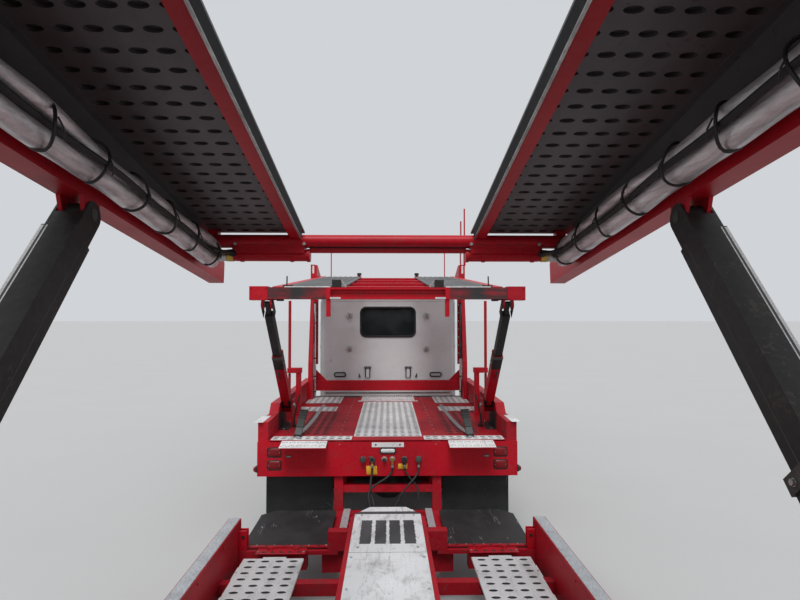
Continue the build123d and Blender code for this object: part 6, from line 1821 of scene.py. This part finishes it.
def make_twin_wheels():
    """The driven and trailing twin wheels, with their rims, nuts and hub ends."""
    reach, gap = 0.2575, 0.0125
    for node, body, y, radius, rim, bolts, holes, hole in TWINS:
        for side, name in HANDS:
            shape = Shape("tyre_rubber")
            centre, axis = (side * 1.0025, y, radius), (side, 0.0, 0.0)
            tyre_with_tread(shape, centre, axis, gap, reach, rim, radius)
            tyre_with_tread(shape, centre, axis, -reach, -gap, rim, radius)
            lip = reach - 0.012
            shape.lathe(centre, axis, [(-lip, rim), (lip, rim), (lip + 0.007, rim + 0.008),
                                       (lip + 0.009, rim), (lip + 0.004, rim - 0.014),
                                       (lip - 0.02, rim - 0.021), (0.06, rim - 0.026), (0.02, rim - 0.038),
                                       (0.012, rim - 0.046), (0.012, 0.16), (0.013, 0.128), (0.026, 0.123),
                                       (0.108, 0.108), (0.12, 0.098), (0.12, 0.0622), (-0.17, 0.0622),
                                       (-0.17, 0.125), (-0.012, 0.126), (-0.012, rim - 0.046),
                                       (-0.06, rim - 0.03), (-lip, rim - 0.02)], 64, "tank_aluminium",
                        closed=True)
            round_bolts(shape, centre, axis, 0.013, bolts, 10, 0.015, "bare_steel")
            hand_holes(shape, centre, axis, 0.0125, holes, 10, hole)
            if node.startswith("drive"):
                shape.lathe(np.array(centre) + (side * 0.12, 0, 0), axis,
                            [(0.0, 0.099), (0.012, 0.098), (0.013, 0.062), (0.03, 0.058), (0.034, 0.04)], 32,
                            "cast_grey")
                round_bolts(shape, centre, axis, 0.132, 0.08, 8, 0.0095, "bare_steel")
            else:
                shape.lathe(np.array(centre) + (side * 0.12, 0, 0), axis,
                            [(0.0, 0.096), (0.01, 0.095), (0.012, 0.078), (0.046, 0.074), (0.054, 0.06),
                             (0.055, 0.03)], 32, "tank_aluminium")
                round_bolts(shape, centre, axis, 0.13, 0.087, 6, 0.0055, "bare_steel")
            piece = shape.make(f"{node}_{name}_made", f"{body}_{name}", "tyre_rubber")
            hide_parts(f"{node}_{name}")


def make_front_wheels():
    """The steered wheels, with bright discs, capped nuts and hub caps."""
    half, rim, radius = 0.13, 0.286, 0.5
    for side, name in HANDS:
        shape = Shape("tyre_rubber")
        centre, axis = (side * 1.04, 10.25, 0.5), (side, 0.0, 0.0)
        tyre_with_tread(shape, centre, axis, -half, half, rim, radius)
        lip = half - 0.012
        shape.lathe(centre, axis, [(-lip, rim), (lip, rim), (lip + 0.007, rim + 0.008), (lip + 0.009, rim),
                                   (lip + 0.004, rim - 0.014), (lip - 0.026, rim - 0.022),
                                   (0.06, rim - 0.03), (0.044, rim - 0.038), (0.037, rim - 0.05),
                                   (0.036, 0.19), (0.042, 0.16), (0.062, 0.148), (0.083, 0.136),
                                   (0.09, 0.122), (0.09, 0.0425), (-0.04, 0.0425), (-0.04, 0.12),
                                   (0.012, 0.148), (0.012, rim - 0.044), (-lip, rim - 0.022)], 64,
                    "tank_aluminium", closed=True)
        round_bolts(shape, centre, axis, 0.09, 0.111, 10, 0.014, "polished")
        hand_holes(shape, centre, axis, 0.0368, 0.212, 10, 0.024)
        shape.lathe(np.array(centre) + (side * 0.09, 0, 0), axis,
                    [(0.0, 0.088), (0.006, 0.087), (0.008, 0.072), (0.042, 0.066), (0.054, 0.052),
                     (0.056, 0.02)], 32, "polished")
        piece = shape.make(f"front_wheel_{name}_made", f"front_wheel_{name}", "tyre_rubber")
        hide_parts(f"front_wheel_{name}")


def loop_bead(shape, points, radius, finish, sides=8):
    """A round bead laid along a closed outline of (x, y, z) points."""
    points = [np.asarray(point, float) for point in points]
    path = []
    for before, here, after in zip(points[-1:] + points[:-1], points, points[1:] + points[:1]):
        path += [here + unit(before - here) * 0.045, here
                 + (unit(before - here) + unit(after - here)) * 0.012, here + unit(after - here) * 0.045]
    return shape.tube(np.array(path + path[:1]), radius, sides, finish, caps=False)


def make_cab():
    """Window frame, wipers, roof lamps, boot, lockers and grab bars of the cab and sleeper."""
    shape = Shape("black_rubber")
    foot, head = np.array([0.0, 9.35, 1.64]), np.array([0.0, 8.93, 2.54])
    up = unit(head - foot)
    out = unit(np.cross(ACROSS, up))
    out = out if out[1] > 0 else -out

    def screen(x, distance, lift=0.0):
        """A point of the windscreen: across, up its slope, and off it."""
        return foot + up * distance + out * lift + (x, 0.0, 0.0)

    pivot = screen(0.3, 0.03, 0.006)
    shape.lathe(pivot, out, [(0.0, 0.022), (0.02, 0.02), (0.026, 0.012)], 16, "black_plastic")
    tip = screen(0.62, 0.33, 0.016)
    shape.tube([pivot + out * 0.018, tip], 0.006, 8, "black_plastic")
    shape.bar(screen(0.44, 0.1, 0.004), screen(0.78, 0.56, 0.004), 0.01, 0.02, 0.002, "black_rubber", up=out)
    # Boot between cab and sleeper, grab bar and the sleeper's locker
    shape.block((1.0235, 7.688, 1.04), (1.048, 7.712, 2.56), 0.003, "black_rubber")
    bar = [(SLEEPER_X, 7.56, 1.3), (1.15, 7.56, 1.3), (1.15, 7.56, 2.0), (SLEEPER_X, 7.56, 2.0)]
    shape.tube(bar, 0.013, 12, "polished")
    locker = [(1.1005, 6.42, 1.1), (1.1005, 7.2, 1.1), (1.1005, 7.2, 1.62), (1.1005, 6.42, 1.62)]
    loop_bead(shape, locker, 0.005, "black_rubber")
    pad(shape, (SLEEPER_X, 6.81, 1.56), ACROSS, (0.11, 0.05), 0.012,
        ((0.0, 0.0), (0.01, 0.002), (0.014, 0.008)), "black_plastic")
    for y in (6.55, 7.07):
        pad(shape, (SLEEPER_X, y, 1.108), ACROSS, (0.07, 0.03), 0.006, STEP, "bare_steel")
    pad(shape, (SLEEPER_X, 6.33, 1.86), ACROSS, (0.1, 0.04), 0.018,
        ((0.0, 0.0), (0.012, 0.002), (0.016, 0.008)), "amber_lens")
    shape.block((1.0995, 6.205, 1.05), (1.1035, 6.225, 2.6), 0.001, "bare_steel")
    shape.mirrored()
    loop_bead(shape, [screen(-0.852, 0.078), screen(0.852, 0.078), screen(0.852, 0.907),
                      screen(-0.852, 0.907)], 0.013, "black_rubber")
    for x in (-0.72, -0.24, 0.0, 0.24, 0.72):
        rise = unit((0.0, 0.1, 0.4))
        centre = np.array([x, 8.7, 2.6575])
        pad(shape, centre, rise, (0.13, 0.062), 0.028, ((0.0, 0.0), (0.008, 0.001), (0.012, 0.006)),
            "black_plastic", AHEAD)
        pad(shape, centre + rise * 0.01, rise, (0.1, 0.044), 0.02,
            ((0.0, 0.0), (0.022, 0.004), (0.028, 0.012)), "amber_lens", AHEAD)
    shape.block((-0.93, 8.44, 2.7185), (0.93, 8.444, 2.7208), 0.0005, "black_plastic")
    shape.make("cab_fittings", "truck", "black_rubber")


def make_doors():
    """Window beads, handles, mirror glass and kick plates of the doors."""
    for side, name in HANDS:
        shape = Shape("black_rubber")
        x = side * 1.026
        loop_bead(shape, [(x, 8.08, 1.68), (x, 9.13, 1.68), (x, 8.85, 2.25), (x, 8.08, 2.25)], 0.01,
                  "black_rubber")
        pad(shape, (side * 1.025, 8.13, 1.495), (side, 0, 0), (0.19, 0.085), 0.02, THIN, "black_plastic")
        pad(shape, (side * 1.053, 8.13, 1.495), (side, 0, 0), (0.134, 0.026), 0.008,
            ((0.0, 0.0), (0.003, 0.002)), "polished")
        shape.lathe((side * 1.029, 8.235, 1.495), (side, 0, 0), [(0.0, 0.012), (0.004, 0.011)], 14,
                    "bare_steel")
        for z, height in ((2.02, 0.42), (1.725, 0.12)):
            pad(shape, (side * 1.235, 9.03, z), BACK, (0.16, height), 0.02, THIN, "black_rubber")
            pad(shape, (side * 1.235, 9.0262, z), BACK, (0.146, height - 0.016), 0.016, FOIL, "polished")
        pad(shape, (side * 1.3295, 9.07, 2.16), (side, 0, 0), (0.05, 0.03), 0.01,
            ((0.0, 0.0), (0.006, 0.002)), "amber_lens")
        shape.block((side * 1.0245, 8.06, 1.03), (side * 1.0275, 9.15, 1.13), 0.001, "polished")
        shape.block((side * 1.0245, 8.02, 1.36), (side * 1.0285, 9.19, 1.374), 0.001, "black_rubber")
        for y in np.linspace(8.1, 9.11, 8):
            shape.bolt((side * 1.0275, y, 1.08), (side, 0, 0), 0.006, "bare_steel")
        shape.make(f"door_fittings_{name}", f"door_{name}", "black_rubber")


def make_hood():
    """Lamp lenses, latches, arch lips, marker lamps and mesh of the tilting hood."""
    shape = Shape("black_rubber")
    pad(shape, (0.72, 11.319, 0.9375), AHEAD, (0.184, 0.1), 0.02, ((0.0, 0.0), (0.004, 0.001), (0.01, 0.01)),
        "clear_lens")
    for x in (0.672, 0.768):
        shape.lathe((x, 11.3255, 0.9375), AHEAD, [(0.0, 0.038), (0.003, 0.037), (0.004, 0.03)], 24,
                    "polished")
    pad(shape, (0.72, 11.3075, 0.9375), AHEAD, (0.232, 0.14), 0.03, ((0.0, 0.0), (0.002, 0.001)),
        "black_plastic")
    pad(shape, (1.195, 10.93, 0.985), ACROSS, (0.13, 0.05), 0.022,
        ((0.0, 0.0), (0.005, 0.002), (0.008, 0.01)), "amber_lens")
    # Rubber latch at the hood's lower rear edge
    shape.block((1.194, 9.47, 0.72), (1.2035, 9.5, 0.86), 0.003, "black_rubber")
    shape.block((1.194, 9.455, 0.85), (1.204, 9.515, 0.885), 0.003, "bare_steel")
    shape.block((1.194, 9.455, 0.69), (1.204, 9.515, 0.725), 0.003, "bare_steel")
    # Lip round the wheel arch
    arc = []
    for angle in np.linspace(math.radians(9), math.radians(171), 40):
        arc.append((1.19, 10.25 + 0.579 * math.cos(angle), 0.5 + 0.579 * math.sin(angle)))
    shape.tube(np.array(arc), 0.01, 8, "black_rubber")
    shape.mirrored()
    # Fine mesh behind the grille bars
    for x in np.linspace(-0.39, 0.39, 27):
        shape.block((x - 0.0015, 11.268, 0.832), (x + 0.0015, 11.271, 1.048), 0.0004, "black_plastic")
    for z in np.linspace(0.84, 1.04, 9):
        shape.block((-0.399, 11.268, z - 0.0015), (0.399, 11.271, z + 0.0015), 0.0004, "black_plastic")
    shape.make("hood_fittings", "hood", "black_rubber")


def make_front_end():
    """Bumper openings, blank plate, lamps of the rack, tank caps and step treads."""
    shape = Shape("black_plastic")
    pad(shape, (0.82, BUMPER_Y, 0.43), AHEAD, (0.2, 0.1), 0.03, ((0.0, 0.0), (0.003, 0.001)),
        "black_plastic")
    shape.lathe((0.82, BUMPER_Y + 0.003, 0.43), AHEAD, [(0.0, 0.044), (0.004, 0.043), (0.006, 0.03)], 24,
                "clear_lens")
    for x, z in ((0.3, 0.59), (0.62, 0.59), (0.96, 0.59), (0.3, 0.35), (0.62, 0.35), (0.96, 0.35)):
        shape.lathe((x, BUMPER_Y, z), AHEAD, [(0.0, 0.013), (0.004, 0.012), (0.007, 0.006)], 16, "polished")
    # Filler cap and strap bolts of the fuel tank
    out = unit((0.75, 0.0, 0.66))
    cap = np.array([0.82, 6.9, 0.655]) + out * 0.288
    shape.lathe(cap, out, [(0.0, 0.052), (0.014, 0.052), (0.016, 0.062), (0.044, 0.06), (0.05, 0.048)], 28,
                "tank_aluminium")
    shape.bar(cap + out * 0.05 - (0, 0.045, 0), cap + out * 0.05 + (0, 0.045, 0), 0.014, 0.012, 0.002,
              "tank_aluminium", up=out)
    for y in (6.6, 7.4):
        for angle in (20, -35):
            way = unit((math.cos(math.radians(angle)), 0.0, math.sin(math.radians(angle))))
            shape.bolt(np.array([0.82, y, 0.655]) + way * 0.2978, way, 0.01, "bare_steel")
    # Grip plates on the steps, and the box's bolts
    for low, high, z in ((1.064, 1.116, 0.6402), (1.123, 1.149, 0.4202)):
        for y in np.arange(7.9, 9.08, 0.115):
            shape.block((low, y, z - 0.0004), (high, y + 0.085, z + 0.0035), 0.001, "bare_steel")
    for y in np.linspace(7.9, 9.08, 6):
        shape.bolt((1.06, y, 0.9), ACROSS, 0.007, "bare_steel")
    for y in np.linspace(7.92, 9.06, 5):
        shape.bolt((1.12, y, 0.5), ACROSS, 0.007, "bare_steel")
    for z in (0.75, 1.45, 2.2, 2.75):
        shape.bolt((1.2475, RACK_Y, z), AHEAD, 0.01, "bare_steel")
    shape.mirrored()
    pad(shape, (0.0, BUMPER_Y, 0.47), AHEAD, (0.31, 0.16), 0.01, THIN, "black_plastic")
    pad(shape, (0.0, BUMPER_Y + 0.004, 0.47), AHEAD, (0.296, 0.146), 0.006, SHEER, "white_paint")
    for x in (-1.16, -0.2, 0.0, 0.2, 1.16):
        pad(shape, (x, RACK_Y, 2.915), AHEAD, (0.12, 0.052), 0.022, THIN, "black_plastic")
        pad(shape, (x, RACK_Y + 0.004, 2.915), AHEAD, (0.1, 0.036), 0.016,
            ((0.0, 0.0), (0.012, 0.002), (0.018, 0.008)), "amber_lens")
    shape.make("front_end_fittings", "truck", "polished")


def make_trailer_rear():
    """Lamps, blank plate, reflectors, ramp grips, flap bolts and lock pins at the trailer's rear."""
    shape = Shape("red_paint")
    for x in (1.13, 0.95):
        pad(shape, (x, REAR_Y, 0.77), BACK, (0.15, 0.09), 0.03, THIN, "black_rubber")
        pad(shape, (x, REAR_Y - 0.004, 0.77), BACK, (0.128, 0.068), 0.022,
            ((0.0, 0.0), (0.012, 0.002), (0.018, 0.01)), "lamp_plastic")
    for x in (0.35, 0.7, 1.02):
        pad(shape, (x, -11.44, 0.45), BACK, (0.24, 0.05), 0.004, ((0.0, 0.0), (0.0012, 0.0004)),
            "lamp_plastic" if x == 0.7 else "white_paint")
    for x in (0.2, 0.55, 0.8, 1.22):
        shape.bolt((x, REAR_Y, 0.66), BACK, 0.009, "bare_steel")
        shape.bolt((x, REAR_Y, 0.87), BACK, 0.009, "bare_steel")
    shape.mirrored()
    for x in (-0.06, 0.0, 0.06):
        shape.lathe((x, REAR_Y, 0.872), BACK, [(0.0, 0.014), (0.006, 0.013), (0.01, 0.008)], 14,
                    "lamp_plastic")
    pad(shape, (0.0, -11.425, 0.77), BACK, (0.32, 0.128), 0.008, ((0.0, 0.0), (0.003, 0.001)), "black_steel")
    pad(shape, (0.0, -11.428, 0.77), BACK, (0.3, 0.112), 0.006, SHEER, "white_paint")
    shape.make("trailer_rear_fittings", "trailer", "red_paint")


def make_ramps():
    """The two stowed loading ramps as ladder frames with round grip rungs, in place of the plain boards."""
    shape = Shape("tank_aluminium")
    low_y, high_y, foot, top = -11.42, RAMP_END, RAMP_FOOT, RAMP_TOP
    for x in (0.538, 0.75, 0.962):
        a, b = x - 0.018, x + 0.018
        shape.block((a, low_y, foot), (b, high_y, top), 0.004, "tank_aluminium")
        shape.block((a + 0.004, low_y + 0.004, top - 0.001), (b - 0.004, high_y - 0.004, top - 0.0002),
                    0.0004, "bare_steel")
    for y in np.arange(low_y + 0.06, high_y - 0.03, 0.105):
        shape.block((0.55, y - 0.016, top - 0.032), (0.95, y + 0.016, top - 0.004), 0.004, "tank_aluminium")
        for x in np.arange(0.59, 0.93, 0.045):
            if abs(x - 0.75) > 0.025:
                shape.lathe((x, y, top - 0.0045), UP, [(0.0, 0.0095), (0.0045, 0.0065)], 8, "bare_steel")
    for y in (low_y + 0.02, high_y - 0.02):
        shape.block((0.522, y - 0.02, foot + 0.004), (0.978, y + 0.02, top - 0.002), 0.004, "tank_aluminium")
    shape.mirrored()
    shape.block((-0.98, -11.44, foot + 0.002), (0.98, -11.418, top - 0.002), 0.004, "tank_aluminium")
    ramps = shape.make("ramp_frames", "ramps", "tank_aluminium")
    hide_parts("ramps")


class TransporterGroup(Operator):
    """Makes one group of the transporter's pieces."""

    bl_options = {"REGISTER", "UNDO"}
    maker = None

    def execute(self, context):
        type(self).maker()
        return {"FINISHED"}


# One operator for each group: its name, its label and the function that makes its pieces
GROUPS = [
    ("finishes", "Paints, metals and rubber", make_finishes),
    ("view", "Camera, light and floor", make_view),
    ("lines", "Air and electric lines", make_lines),
    ("runways", "Punched runways", make_runways),
    ("hoses", "Hose bundles of the upper deck", make_hose_bundles),
    ("front_rib", "Rib of the front cross tube", make_front_rib),
    ("locks", "Lock cylinders", make_lock_cylinders),
    ("neck", "Neck cover", make_neck_details),
    ("mats", "Rubber mats", make_mats),
    ("rear_panel", "Rear panel fittings", make_rear_panel),
    ("truck_deck", "Tractor's deck", make_truck_deck),
    ("lower_deck", "Lower deck of the trailer", make_lower_deck),
    ("trailer_front", "Front of the trailer", make_trailer_front),
    ("side_fittings", "Outside of the trailer's rails", make_side_fittings),
    ("cab_rear", "Wall behind the cab", make_cab_rear),
    ("towers", "Towers", make_towers),
    ("upper_rear", "Rear beam of the upper deck", make_upper_rear),
    ("truck_posts", "Posts of the tractor's upper deck", make_truck_posts),
    ("struts", "Struts of the trailer", make_struts),
    ("trailer_posts", "Fixed posts of the trailer", make_trailer_posts),
    ("cab", "Cab and sleeper", make_cab),
    ("doors", "Doors", make_doors),
    ("hood", "Hood", make_hood),
    ("front_end", "Bumper, tanks and steps", make_front_end),
    ("trailer_rear", "Rear of the trailer", make_trailer_rear),
    ("ramps", "Loading ramps", make_ramps),
    ("twin_wheels", "Twin wheels", make_twin_wheels),
    ("front_wheels", "Steered wheels", make_front_wheels),
    ("carried_over", "Finishes of the frame", carried_over),
]


def operator_class(name, label, maker):
    """An operator of its own for a group of pieces."""
    members = {"bl_idname": f"transporter.{name}", "bl_label": label, "maker": staticmethod(maker),
               "__doc__": maker.__doc__}
    return type(f"TRANSPORTER_OT_{name}", (TransporterGroup,), members)


OPERATORS = [operator_class(*group) for group in GROUPS]

PROPERTIES = {
    "transporter_camera": TransporterCamera,
    "transporter_light": TransporterLight,
    "transporter_paint": TransporterPaint,
    "transporter_detail": TransporterDetail,
}


class TRANSPORTER_PT_panel(Panel):
    """The sidebar's list of values and groups."""

    bl_label = "Transporter"
    bl_space_type = "VIEW_3D"
    bl_region_type = "UI"
    bl_category = "Transporter"

    def draw(self, context):
        for name in PROPERTIES:
            group = getattr(context.scene, name)
            box = self.layout.box()
            for value in group.__annotations__:
                box.prop(group, value)
        for operator in OPERATORS:
            self.layout.operator(operator.bl_idname)


def register():
    """Registers the classes and gives every scene their values."""
    for group in (*PROPERTIES.values(), *OPERATORS, TRANSPORTER_PT_panel):
        bpy.utils.register_class(group)
    for name, group in PROPERTIES.items():
        setattr(bpy.types.Scene, name, PointerProperty(type=group))


def unregister():
    """Takes back what register has done."""
    for name in PROPERTIES:
        delattr(bpy.types.Scene, name)
    for group in (TRANSPORTER_PT_panel, *OPERATORS, *reversed(PROPERTIES.values())):
        bpy.utils.unregister_class(group)


def main():
    """Registers the classes, makes every group and writes the boxes of the frame and of the dressed model."""
    register()
    for name, _, _ in GROUPS:
        getattr(bpy.ops.transporter, name)()
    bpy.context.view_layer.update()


if __name__ == "__main__":
    main()
